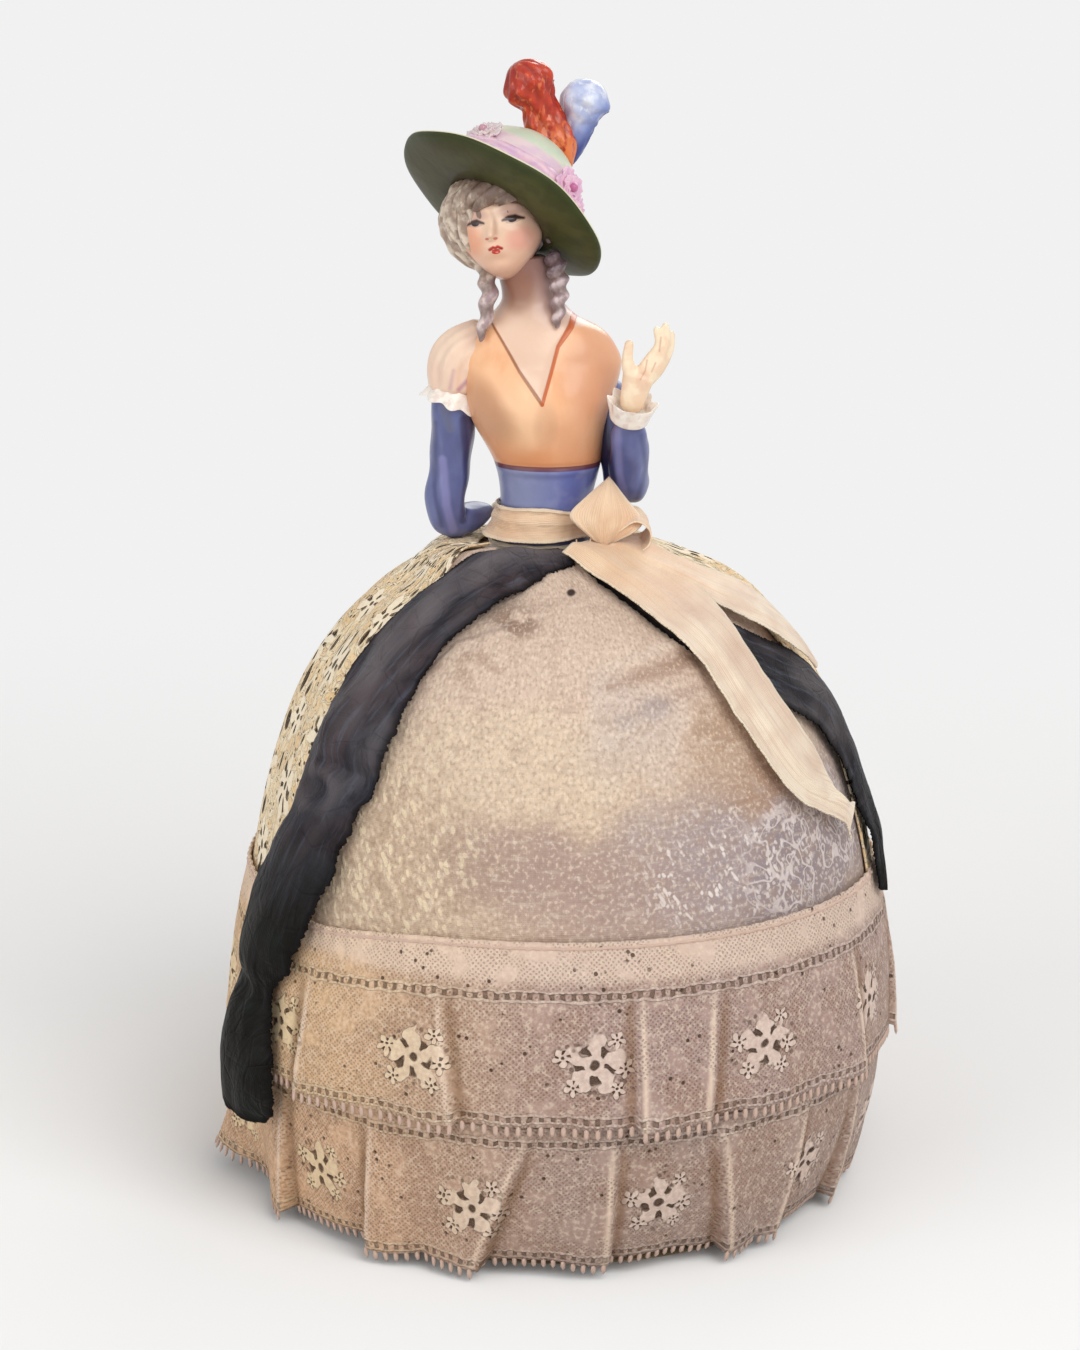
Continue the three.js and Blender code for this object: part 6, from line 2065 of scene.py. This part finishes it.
def red_glaze():
    paint, colour, x, z = plume_glaze(
        "red_glaze", srgb(204, 66, 36), srgb(170, 40, 28), srgb(116, 24, 20), srgb(236, 134, 82)
    )
    low = 1 - z.above(F.z + 5, F.z + 14)
    colour = paint.blend(low * paint.noise(1.8, 2).above(0.36, 0.52) * 0.9, colour, srgb(232, 128, 66))
    # Painted shade down the plume's left side.
    dark = 1 - (x - z * 0.2).above(red_ball.x - 0.2 * red_ball.z - 5, red_ball.x - 0.2 * red_ball.z - 1.5)
    colour = paint.blend(dark * 0.6, colour, srgb(132, 34, 28))
    return glaze(paint, colour, 0.2)


def blue_glaze_plume():
    paint, colour, x, z = plume_glaze(
        "pale_blue_glaze", srgb(232, 236, 246), srgb(196, 206, 236), srgb(140, 156, 208), srgb(246, 246, 250)
    )
    # Painted shade on the lower right, deepening to navy.
    shade = (x - z).above(blue_ball.x - blue_ball.z + 1.5, blue_ball.x - blue_ball.z + 6)
    colour = paint.blend(shade * 0.85, colour, srgb(116, 134, 196))
    colour = paint.blend(
        (x - z).above(blue_ball.x - blue_ball.z + 5, blue_ball.x - blue_ball.z + 9), colour, srgb(70, 82, 150)
    )
    return glaze(paint, colour, 0.2)


doll_piece(red_plume, "plume_red_porcelain", "red_glaze", "plume_red", red_glaze())
doll_piece(blue_plume, "plume_blue_porcelain", "pale_blue_glaze", "plume_blue", blue_glaze_plume())

# Arms

SHOULDER_LEFT = Vector((-18.8, 0.6, 41.1))
ELBOW_LEFT = Vector((-20.4, 2.2, 8.2))
HAND_LEFT = Vector((-11.2, 11, 8.2))
SHOULDER_RIGHT = Vector((13.6, 1, 39.7))
ELBOW_RIGHT = Vector((18.6, -1.4, 16.4))
WRIST = Vector((18.8, -12.6, 33.4))
PALM = Vector((20.6, -13.4, 42.6))


def sleeve_folds(share, turn):
    ruck = 0.05 * sin(11 * share * pi + 2 * sin(turn)) * hill(share, 0.5, 0.3)
    line = 0.03 * sin(5 * turn + 9 * share)
    return ruck + line + 0.02 * wander(turn * 3, share * 12, 1, 71), 0.5


lowered_arm = limb(
    [SHOULDER_LEFT, SHOULDER_LEFT.lerp(ELBOW_LEFT, 0.5), ELBOW_LEFT, HAND_LEFT],
    [(0, 5.3), (0.35, 4.6), (0.62, 4.2), (1, 2.7)],
    sides=64,
    rings=120,
    front=(-1, -0.4, 0),
    detail=sleeve_folds,
)
raised_arm = limb(
    [SHOULDER_RIGHT, SHOULDER_RIGHT.lerp(ELBOW_RIGHT, 0.5), ELBOW_RIGHT, ELBOW_RIGHT.lerp(WRIST, 0.6), WRIST],
    [(0, 4.6), (0.3, 4.6), (0.5, 4.5), (0.8, 4.0), (1, 2.7)],
    sides=64,
    rings=120,
    front=(1, 0, 0),
    detail=sleeve_folds,
)
NAVY_SHADE = srgb(50, 50, 92)
LILAC_HIGHLIGHT = srgb(148, 144, 196)
# Lilac strokes are painted highlights. The navy and dark strokes are painted shade along the arms' edges, and
# the grey one is painted shade under the frill.
blue_sleeve = glazed(
    "blue_glaze",
    srgb(104, 112, 162),
    srgb(90, 96, 142),
    5.0,
    [
        ([(-21.6, 22), (-20.8, 12), (-19.4, 6)], 0.9, LILAC_HIGHLIGHT, 0.55),
        ([(-23.2, 30), (-23.4, 16), (-22.0, 7)], 0.5, NAVY_SHADE, 0.5),
        ([(-17.0, 31), (-16.2, 18), (-17.2, 8)], 0.8, NAVY_SHADE, 0.7),
        ([(-21.0, 33), (-19.8, 29)], 1.0, srgb(122, 122, 118), 0.3),
        ([(12.6, 34), (13.8, 24), (15.4, 15)], 1.4, srgb(32, 26, 58), 0.85),
        ([(16.2, 30), (16.8, 20), (18.2, 14)], 0.7, LILAC_HIGHLIGHT, 0.5),
        ([(21.4, 29), (22.6, 21), (20.8, 14)], 0.5, NAVY_SHADE, 0.45),
    ],
)
doll_piece(lowered_arm, "lowered_arm_porcelain", "blue_glaze", "lowered_arm", blue_sleeve)
doll_piece(raised_arm, "raised_arm_porcelain", "blue_glaze", "raised_arm", blue_sleeve)


def cap_folds(share, turn):
    return 0.06 * sin(6 * turn + 5 * share) * hill(share, 0.6, 0.3) + 0.03 * sin(13 * turn), 0.5


cap_sleeve = limb(
    [(-9.8, 0.3, 49.2), (-17.8, 0.4, 43.5), SHOULDER_LEFT.lerp(ELBOW_LEFT, 0.18)],
    [(0, 4.6), (0.4, 6.0), (0.8, 5.8), (1, 5.2)],
    sides=64,
    rings=80,
    detail=cap_folds,
)
cap_paint = glazed(
    "cap_sleeve_glaze",
    srgb(244, 216, 192),
    srgb(236, 202, 180),
    6.0,
    [
        ([(-13.5, 48.8), (-12.2, 46.4), (-10.7, 44.0)], 0.5, srgb(176, 120, 150), 0.7),
        ([(-11.1, 43.5), (-14.6, 41.0), (-17.9, 37.7)], 0.45, srgb(176, 120, 150), 0.7),
        ([(-19.0, 42.0), (-19.8, 38.0)], 0.35, srgb(190, 140, 156), 0.5),
    ],
)
doll_piece(cap_sleeve, "cap_sleeve_porcelain", "cap_sleeve_glaze", "lowered_sleeve", cap_paint)

FRILL_AT = Matrix.Translation(SHOULDER_LEFT.lerp(ELBOW_LEFT, 0.17)) @ Matrix.Rotation(radians(20), 4, "Y")


def frill_point(along, across):
    """A fluted ring of closed section."""
    turn = along * 2 * pi
    way = across * 2 * pi
    fall = 0.5 - 0.5 * cos(way)
    flute = cos(9 * turn)
    outer = mix(5.3, 6.9 + 0.5 * flute, fall)
    r = outer if sin(way) > 0 else outer - 0.9 * sin(-way)
    return FRILL_AT @ Vector((r * sin(turn), -r * cos(turn), mix(1.7, -1.9 - 0.35 * flute, fall)))


def white_porcelain(name, light, shade):
    paint = Paint(name)
    flecks = paint.noise(1.8, 3).above(0.45, 0.65)
    colour = paint.blend(flecks * 0.7, light, shade)
    return glaze(paint, colour, 0.2)


white_glaze = white_porcelain("frill_glaze", srgb(248, 240, 230), srgb(226, 206, 196))
doll_piece(tube(160, 20, frill_point), "sleeve_frill_porcelain", "frill_glaze", "sleeve_frill", white_glaze)


def skin_glaze():
    paint = Paint("skin_glaze")
    x, y, z = paint.split(paint.local(DOLL))
    blush = paint.noise(3, 2).above(0.42, 0.62)
    colour = paint.blend(blush * 0.6, srgb(248, 228, 198), srgb(238, 200, 168))
    colour = paint.blend(spot(x, z, (21.5, 41.5), (1.4, 2.2), 0.9) * 0.5, colour, srgb(224, 172, 142))
    for points in (
        [(22.4, 45.6), (22.0, 43.4), (21.0, 41.6)],
        [(25.0, 47.5), (25.3, 50.5)],
        [(24.2, 45.0), (23.4, 43.2)],
    ):
        colour = paint.blend(stroke(x, z, points, 0.12, 0.25) * 0.7, colour, srgb(196, 132, 100))
    return glaze(paint, colour, 0.2)


hand_paint = skin_glaze()


def finger(points, radii, flat=0.85):
    return limb(points, radii, flat=flat, sides=20, rings=36, cap=0.1)


def hand_shape(palm, fingers):
    """Palm and fingers in one mesh, which grown_together later fuses."""
    return join(palm, *fingers)


P = PALM
raised_hand = hand_shape(
    limb(
        [WRIST + Vector((0.2, -0.2, 0.6)), WRIST.lerp(PALM, 0.6), PALM + Vector((0.4, 0, 0.4))],
        [(0, 2.4), (0.4, 2.9), (1, 3.7)],
        flat=0.6,
        sides=36,
        rings=40,
    ),
    [
        finger(
            [P + Vector(d) for d in ((-1.0, 0, -1.2), (-2.3, -0.3, 2.4), (-1.9, -0.5, 7.4))],
            [(0, 2.1), (0.5, 1.35), (1, 0.95)],
        ),
        finger(
            [P + Vector(d) for d in ((0.8, 0, -0.6), (2.4, 0, 2.6), (4.4, -0.2, 6.2), (3.6, -0.8, 10.4))],
            [(0, 2.0), (0.5, 1.3), (1, 0.8)],
        ),
        finger(
            [P + Vector(d) for d in ((1.4, 0.2, -0.8), (3.8, 0.3, 2.2), (5.7, 0.0, 6.8), (5.6, -0.4, 11.2))],
            [(0, 2.1), (0.5, 1.35), (1, 0.8)],
        ),
        finger(
            [P + Vector(d) for d in ((1.6, 0.6, -1.4), (4.4, 0.9, 1.2), (6.6, 1.0, 5.2), (7.1, 1.0, 9.2))],
            [(0, 2.0), (0.5, 1.25), (1, 0.75)],
        ),
    ],
)


def grown_together(piece, voxel):
    """Fuses a piece's parts and rounds the joins between them."""
    fuse = piece.modifiers.new("fuse", "REMESH")
    fuse.mode = "VOXEL"
    fuse.voxel_size = voxel * MM
    fuse.use_smooth_shade = True
    soften = piece.modifiers.new("soften", "SMOOTH")
    soften.factor = 0.6
    soften.iterations = 8


raised = doll_piece(raised_hand, "raised_hand_porcelain", "skin_glaze", "raised_hand", hand_paint)
grown_together(raised, 0.28)
H = HAND_LEFT
hip_hand = hand_shape(
    limb(
        [H, H + Vector((3.4, 1.2, -0.4)), H + Vector((5.6, 1.6, -1.0))],
        [(0, 2.4), (0.5, 2.8), (1, 2.2)],
        flat=0.7,
        front=(0, 0, 1),
    ),
    [
        finger(
            [H + Vector((3.0, 1.2, z0)), H + Vector((5.8, 1.8, z1)), H + Vector((8.0, 1.4, z2))],
            [(0, 1.5), (0.5, 1.2), (1, 0.8)],
        )
        for z0, z1, z2 in ((0.9, 0.9, 0.2), (0.2, -0.6, -1.6), (-0.6, -2.0, -3.2))
    ],
)
hip = doll_piece(hip_hand, "lowered_hand_porcelain", "skin_glaze", "lowered_hand", hand_paint)
grown_together(hip, 0.3)

CUFF_AT = (
    Matrix.Translation(WRIST)
    @ Matrix.Rotation(radians(20), 4, "X")
    @ Matrix.Rotation(radians(10), 4, "Y")
)
cuff_out = through(
    [(0, 0.4), (0.12, 3.6), (0.3, 4.6), (0.5, 5.2), (0.56, 5.0), (0.75, 4.0), (0.9, 3.1), (1, 0.4)]
)
cuff_up = through(
    [(0, -1.5), (0.12, -1.5), (0.3, 0.8), (0.5, 3.4), (0.56, 3.5), (0.75, 2.2), (0.9, 0.4), (1, 0.1)]
)


def cuff_point(along, across):
    turn = along * 2 * pi
    rise = ease(cuff_up(across), 0, 3.5)
    ripple = 1 + 0.09 * rise * cos(8 * turn)
    r = cuff_out(across) * ripple if 0 < across < 1 else 0
    return CUFF_AT @ Vector((r * sin(turn), -r * cos(turn), cuff_up(across) + 0.35 * rise * cos(8 * turn)))


doll_piece(tube(160, 60, cuff_point), "raised_cuff_porcelain", "frill_glaze", "raised_cuff", white_glaze)

# Sash, bow and sewing threads

SASH_FOOT = 5.2
SASH_WIDTH = 7.0
SASH_FLARE = 2.6


def sash_point(along, across):
    """The sash wraps the waist in soft folds and flares where it meets the skirt."""
    turn = along * 2 * pi - pi
    z = SASH_FOOT + SASH_WIDTH * across
    away = (
        0.5
        + SASH_FLARE * (1 - across) ** 2
        + 0.6 * hill(across, 0.62, 0.16)
        + 0.35 * hill(across, 0.95, 0.06)
    )
    away += (
        0.4 * wander(degrees(turn), across * 30, 22, 81)
        + 0.25 * wander(degrees(turn), across * 60, 9, 82)
    )
    drawn = 1 - 0.25 * hill(turn, radians(38), 0.35)
    droop = 0.5 * wander(degrees(turn), across * 10, 30, 83)
    x = section_x(z) + (section_wide(z) + away) * sin(turn)
    y = section_y(z) - (section_deep(z) + away) * cos(turn)
    return DOLL @ Vector((x, y, mix(SASH_FOOT + 3.4, z, drawn) + droop * across))


def sash_marks(along, across):
    turn = degrees(along * 2 * pi - pi)
    # Painted shade in the sash's folds.
    tone = (
        0.5 * hill(across, 0.35, 0.14)
        + 0.35 * hill(across, 0.8, 0.06)
        + 0.3 * wander(turn, across * 50, 16, 84)
    )
    return clamp(tone), 6 * min(across, 1 - across)


sash = cloth(
    "sash_ribbon",
    260,
    30,
    sash_point,
    lambda along, across: (along * 82, across * 9),
    cream,
    0.3,
    wrap=True,
    marks=sash_marks,
)
stands_for(sash, "cream_ribbon", "waist_sash")

KNOT_ANGLE = 38
KNOT_REACH = 7.4
KNOT_HEIGHT = OVER_FLANGE + 1.6 + 2.32 - DOLL_FOOT


def out_at(angle, z, reach):
    """A point off the body, in the cushion's frame."""
    turn = radians(angle)
    x = section_x(z) + (section_wide(z) + reach) * sin(turn)
    y = section_y(z) - (section_deep(z) + reach) * cos(turn)
    return DOLL @ Vector((x, y, z))


KNOT_AT = out_at(KNOT_ANGLE, KNOT_HEIGHT, KNOT_REACH)


def knot_point(along, across):
    """Ribbon wound tightly round: a plump ring of folds whose ends tuck in behind."""
    turn = mix(-2.6, 2.6, along)
    side = (across - 0.5) * 2
    plump = (
        2.6
        + 0.5 * (1 - side * side)
        + 0.3 * sin(9 * side + 2 * turn)
        + 0.25 * wander(turn * 6, side * 8, 3, 91)
    )
    lean = Matrix.Rotation(radians(KNOT_ANGLE), 4, "Z") @ Matrix.Rotation(radians(22), 4, "Y")
    local = Vector((side * (2.9 - 0.35 * cos(turn)), -plump * cos(turn) * 0.95, plump * sin(turn)))
    return KNOT_AT + lean @ local


def knot_marks(along, across):
    side = (across - 0.5) * 2
    turn = mix(-2.6, 2.6, along)
    # Painted shade in the troughs between the knot's folds.
    return clamp(0.5 - 0.5 * sin(9 * side + 2 * turn)) * 0.7, 4 * min(across, 1 - across) + 0.3


knot = cloth(
    "knot_ribbon",
    70,
    34,
    knot_point,
    lambda along, across: (along * 16, across * 10),
    cream,
    0.3,
    marks=knot_marks,
)
stands_for(knot, "cream_ribbon", "bow_knot")


def loop_shape(reach, open_by, widths, pitch, lean, crumple, seed):
    """One loop of the bow: out to its tip and back to the knot."""
    width = through(widths)
    turned = Euler((radians(lean), 0, 0)).to_matrix()
    raised = Matrix.Rotation(radians(-pitch), 3, "Y")

    def place(along, across):
        turn = along * 2 * pi
        out = sin(turn / 2)
        x = 1.2 + reach * out
        gap = open_by * sin(turn) * (0.35 + 0.65 * out) + 0.35 * cos(turn / 2)
        side = across - 0.5
        fold = crumple * out * wander(along * 20, across * 7, 3.5, seed)
        cup = 0.9 * out * (0.25 - side * side) * (1 if along < 0.5 else -1)
        local = Vector((x + 0.4 * fold, side * width(out), gap + fold + cup))
        return KNOT_AT + raised @ (turned @ local)

    return place


def loop_marks(along, across):
    # Painted shade inside the loop and in the gathers near the knot.
    inside = hill(along, 0.5, 0.12)
    gather = 0.5 * (0.5 + 0.5 * sin(across * 22)) * (1 - sin(along * pi)) ** 2
    tone = clamp(0.35 * inside + gather + 0.3 * wander(along * 20, across * 12, 4, 95))
    return tone, 6 * min(across, 1 - across) + 0.2


def bow_loop(name, reach, open_by, widths, pitch, lean, crumple, seed, width):
    return cloth(
        name,
        90,
        30,
        loop_shape(reach, open_by, widths, pitch, lean, crumple, seed),
        lambda along, across: (along * 2.2 * reach, across * width),
        cream,
        0.3,
        marks=loop_marks,
    )


UP_LOOP = patch(
    [
        [(6.8, -17.0, 149.6), (8.8, -18.0, 149.0), (10.8, -17.2, 149.2)],
        [
            (2.4, -15.8, 153.4),
            (5.4, -17.6, 153.6),
            (9.0, -18.4, 153.0),
            (12.4, -17.8, 153.2),
            (16.2, -16.2, 152.0),
        ],
        [
            (1.5, -14.6, 155.0),
            (5.6, -16.4, 155.6),
            (9.2, -17.6, 155.6),
            (12.6, -16.6, 155.4),
            (17.3, -14.6, 153.9),
        ],
        [
            (5.2, -13.4, 158.9),
            (7.2, -14.8, 159.2),
            (9.5, -15.8, 159.4),
            (11.6, -14.8, 159.0),
            (13.7, -13.4, 158.3),
        ],
        [
            (9.2, -12.3, 162.1),
            (9.6, -12.6, 162.6),
            (9.9, -12.7, 162.9),
            (10.3, -12.6, 162.6),
            (10.7, -12.3, 162.1),
        ],
        [
            (6.0, -11.6, 158.6),
            (7.8, -10.9, 158.8),
            (9.5, -10.6, 159.0),
            (11.4, -10.9, 158.6),
            (13.1, -11.6, 158.1),
        ],
        [
            (3.2, -12.8, 154.0),
            (6.0, -12.2, 153.8),
            (9.0, -11.9, 153.4),
            (12.0, -12.2, 153.0),
            (15.4, -12.8, 152.6),
        ],
        [(7.0, -14.9, 150.0), (8.8, -14.5, 149.6), (10.6, -14.9, 149.6)],
    ]
)


def up_loop_point(along, across):
    """A peaked loop: up in front, over its tip and down behind, with creases that run into the knot."""
    fan = across * 13 + 3 * wander(across * 4, along * 3, 1, 94)
    crease = 0.4 * sin(fan) * hill(along, 0.16, 0.14) + 0.6 * wander(along * 22, across * 9, 3.4, 92)
    return UP_LOOP(across, along) + Vector((0, -crease, 0))


def up_loop_marks(along, across):
    # Painted shade: pink on the front of the loop and along its right side, deeper inside it, and in the
    # gathers at its foot.
    pink_shade = 0.9 * hill(along, 0.22, 0.1) * hill(across, 0.55, 0.2) + 0.6 * hill(across, 0.85, 0.1)
    inside = 0.8 * ease(along, 0.5, 0.6)
    gather = 0.3 * (0.5 - 0.5 * sin(across * 13)) * hill(along, 0.05, 0.14)
    stray = 0.35 * wander(along * 20, across * 12, 4, 95)
    return clamp(pink_shade + inside + gather + stray), 6 * min(across, 1 - across) + 0.2


up_loop = cloth(
    "bow_up_ribbon",
    90,
    36,
    up_loop_point,
    lambda along, across: (along * 27, across * 12),
    cream,
    0.3,
    marks=up_loop_marks,
)
side_loop = bow_loop("bow_side_ribbon", 11, 3.4, [(0, 4.2), (0.5, 8.5), (1, 8.5)], 14, 12, 0.7, 93, 9)
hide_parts("bow_loops")


def cord_ring(name, at, radius, material, count=160, plies=14):
    """A closed thread round a waist, with its plies."""
    bm = bmesh.new()
    bmesh.ops.create_grid(bm, x_segments=count, y_segments=12, size=0.5)
    for vert in bm.verts:
        turn = (vert.co.x + 0.5) * 2 * pi
        way = (vert.co.y + 0.5) * 2 * pi
        middle, outward = at(turn)
        r = radius * (1 + 0.14 * cos(3 * way + plies * turn))
        vert.co = middle + outward * (r * cos(way)) + Vector((0, 0, r * sin(way)))
    bmesh.ops.remove_doubles(bm, verts=bm.verts, dist=1e-4)
    bmesh.ops.recalc_face_normals(bm, faces=bm.faces)
    return shown(bm, name, material)


def thread_at(turn):
    outward = Vector((sin(turn), -cos(turn), 0))
    x = section_x(3.9) + (section_wide(3.9) + 0.85) * sin(turn)
    y = section_y(3.9) - (section_deep(3.9) + 0.85) * cos(turn)
    return DOLL @ Vector((x, y, 3.9)), outward


linen_thread = twisted_thread("linen_thread", srgb(228, 216, 196), srgb(186, 168, 144))
waist_thread = cord_ring("waist_thread_cord", thread_at, 0.5, linen_thread)
stands_for(waist_thread, "thread", "waist_thread")

for number, angle in enumerate((45, 135, 225, 315), 1):
    low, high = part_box(f"flange_stitch_{number}")
    low, high = low / MM, high / MM
    outward = Vector((sin(radians(angle)), -cos(radians(angle)), 0))
    middle = (low + high) / 2
    reach = (Vector((high.x, high.y, 0)) - Vector((low.x, low.y, 0))).length / 2 - 0.5
    arch = [
        middle - outward * reach + Vector((0, 0, low.z - middle.z)),
        middle - outward * reach * 0.8 + Vector((0, 0, (high.z - middle.z) * 0.7)),
        middle + Vector((0, 0, high.z - middle.z - 0.5)),
        middle + outward * reach * 0.8 + Vector((0, 0, (high.z - middle.z) * 0.7)),
        middle + outward * reach + Vector((0, 0, low.z - middle.z)),
    ]

    def plies(share, turn):
        return 0.12 * cos(2 * turn + share * 60), 0.0

    stitch = shown(
        limb(arch, [(0, 0.45), (1, 0.45)], sides=12, rings=60, detail=plies, cap=0.05),
        f"sewing_{number}",
        linen_thread,
    )
    stands_for(stitch, "thread", f"flange_stitch_{number}")

# Floor, light and background


def floor_paint():
    """A pale floor that takes the object's shadow and runs out into the background."""
    paint = Paint("floor")
    x, y, z = paint.split(paint.mm)
    far = ((x * x + y * y) ** 0.5).above(260, 620)
    matt = paint.add("BsdfDiffuse", None, Color=BACKGROUND, Roughness=1.0)
    plain = paint.add("Emission", None, Color=BACKGROUND, Strength=1.0)
    surface = paint.add("MixShader", None, far, matt, plain)
    paint.add("OutputMaterial", None, surface)
    return paint.material


BACKGROUND = srgb(241, 241, 241)
floor_mesh = bmesh.new()
bmesh.ops.create_grid(floor_mesh, x_segments=8, y_segments=8, size=9000)
floor = shown(floor_mesh, "floor", floor_paint(), smooth=False, rides=False)


def lamp(name, place, target, size, watts, colour):
    data = bpy.data.lights.new(name, "AREA")
    data.shape = "DISK"
    data.size = size
    data.energy = watts
    data.color = colour
    made = bpy.data.objects.new(name, data)
    made.location = place
    made.rotation_euler = (Vector(target) - Vector(place)).to_track_quat("-Z", "Y").to_euler()
    scene.collection.objects.link(made)


MIDDLE = (0, 0, 0.12)
lamp("key", (0.42, -0.75, 0.85), MIDDLE, 0.9, 6.2, (1.0, 0.99, 0.972))
lamp("fill", (-0.75, -0.7, 0.35), MIDDLE, 0.9, 2.3, (1.0, 0.985, 0.96))
lamp("rim", (0.3, 0.8, 0.7), MIDDLE, 0.6, 3.0, (1.0, 1.0, 1.0))

world = bpy.data.worlds.new("room")
scene.world = world
world.use_nodes = True
room = world.node_tree
room.nodes.clear()
path = room.nodes.new("ShaderNodeLightPath")
seen = room.nodes.new("ShaderNodeMath")
seen.operation = "MAXIMUM"
room.links.new(path.outputs["Is Camera Ray"], seen.inputs[0])
room.links.new(path.outputs["Is Glossy Ray"], seen.inputs[1])
clear = room.nodes.new("ShaderNodeMath")
clear.operation = "MAXIMUM"
room.links.new(seen.outputs[0], clear.inputs[0])
room.links.new(path.outputs["Is Transmission Ray"], clear.inputs[1])
light = room.nodes.new("ShaderNodeBackground")
light.inputs["Color"].default_value = (1, 1, 1, 1)
light.inputs["Strength"].default_value = 0.53
backdrop = room.nodes.new("ShaderNodeBackground")
backdrop.inputs["Color"].default_value = BACKGROUND
backdrop.inputs["Strength"].default_value = 1.0
choice = room.nodes.new("ShaderNodeMixShader")
room.links.new(clear.outputs[0], choice.inputs[0])
room.links.new(light.outputs[0], choice.inputs[1])
room.links.new(backdrop.outputs[0], choice.inputs[2])
output = room.nodes.new("ShaderNodeOutputWorld")
room.links.new(choice.outputs[0], output.inputs[0])
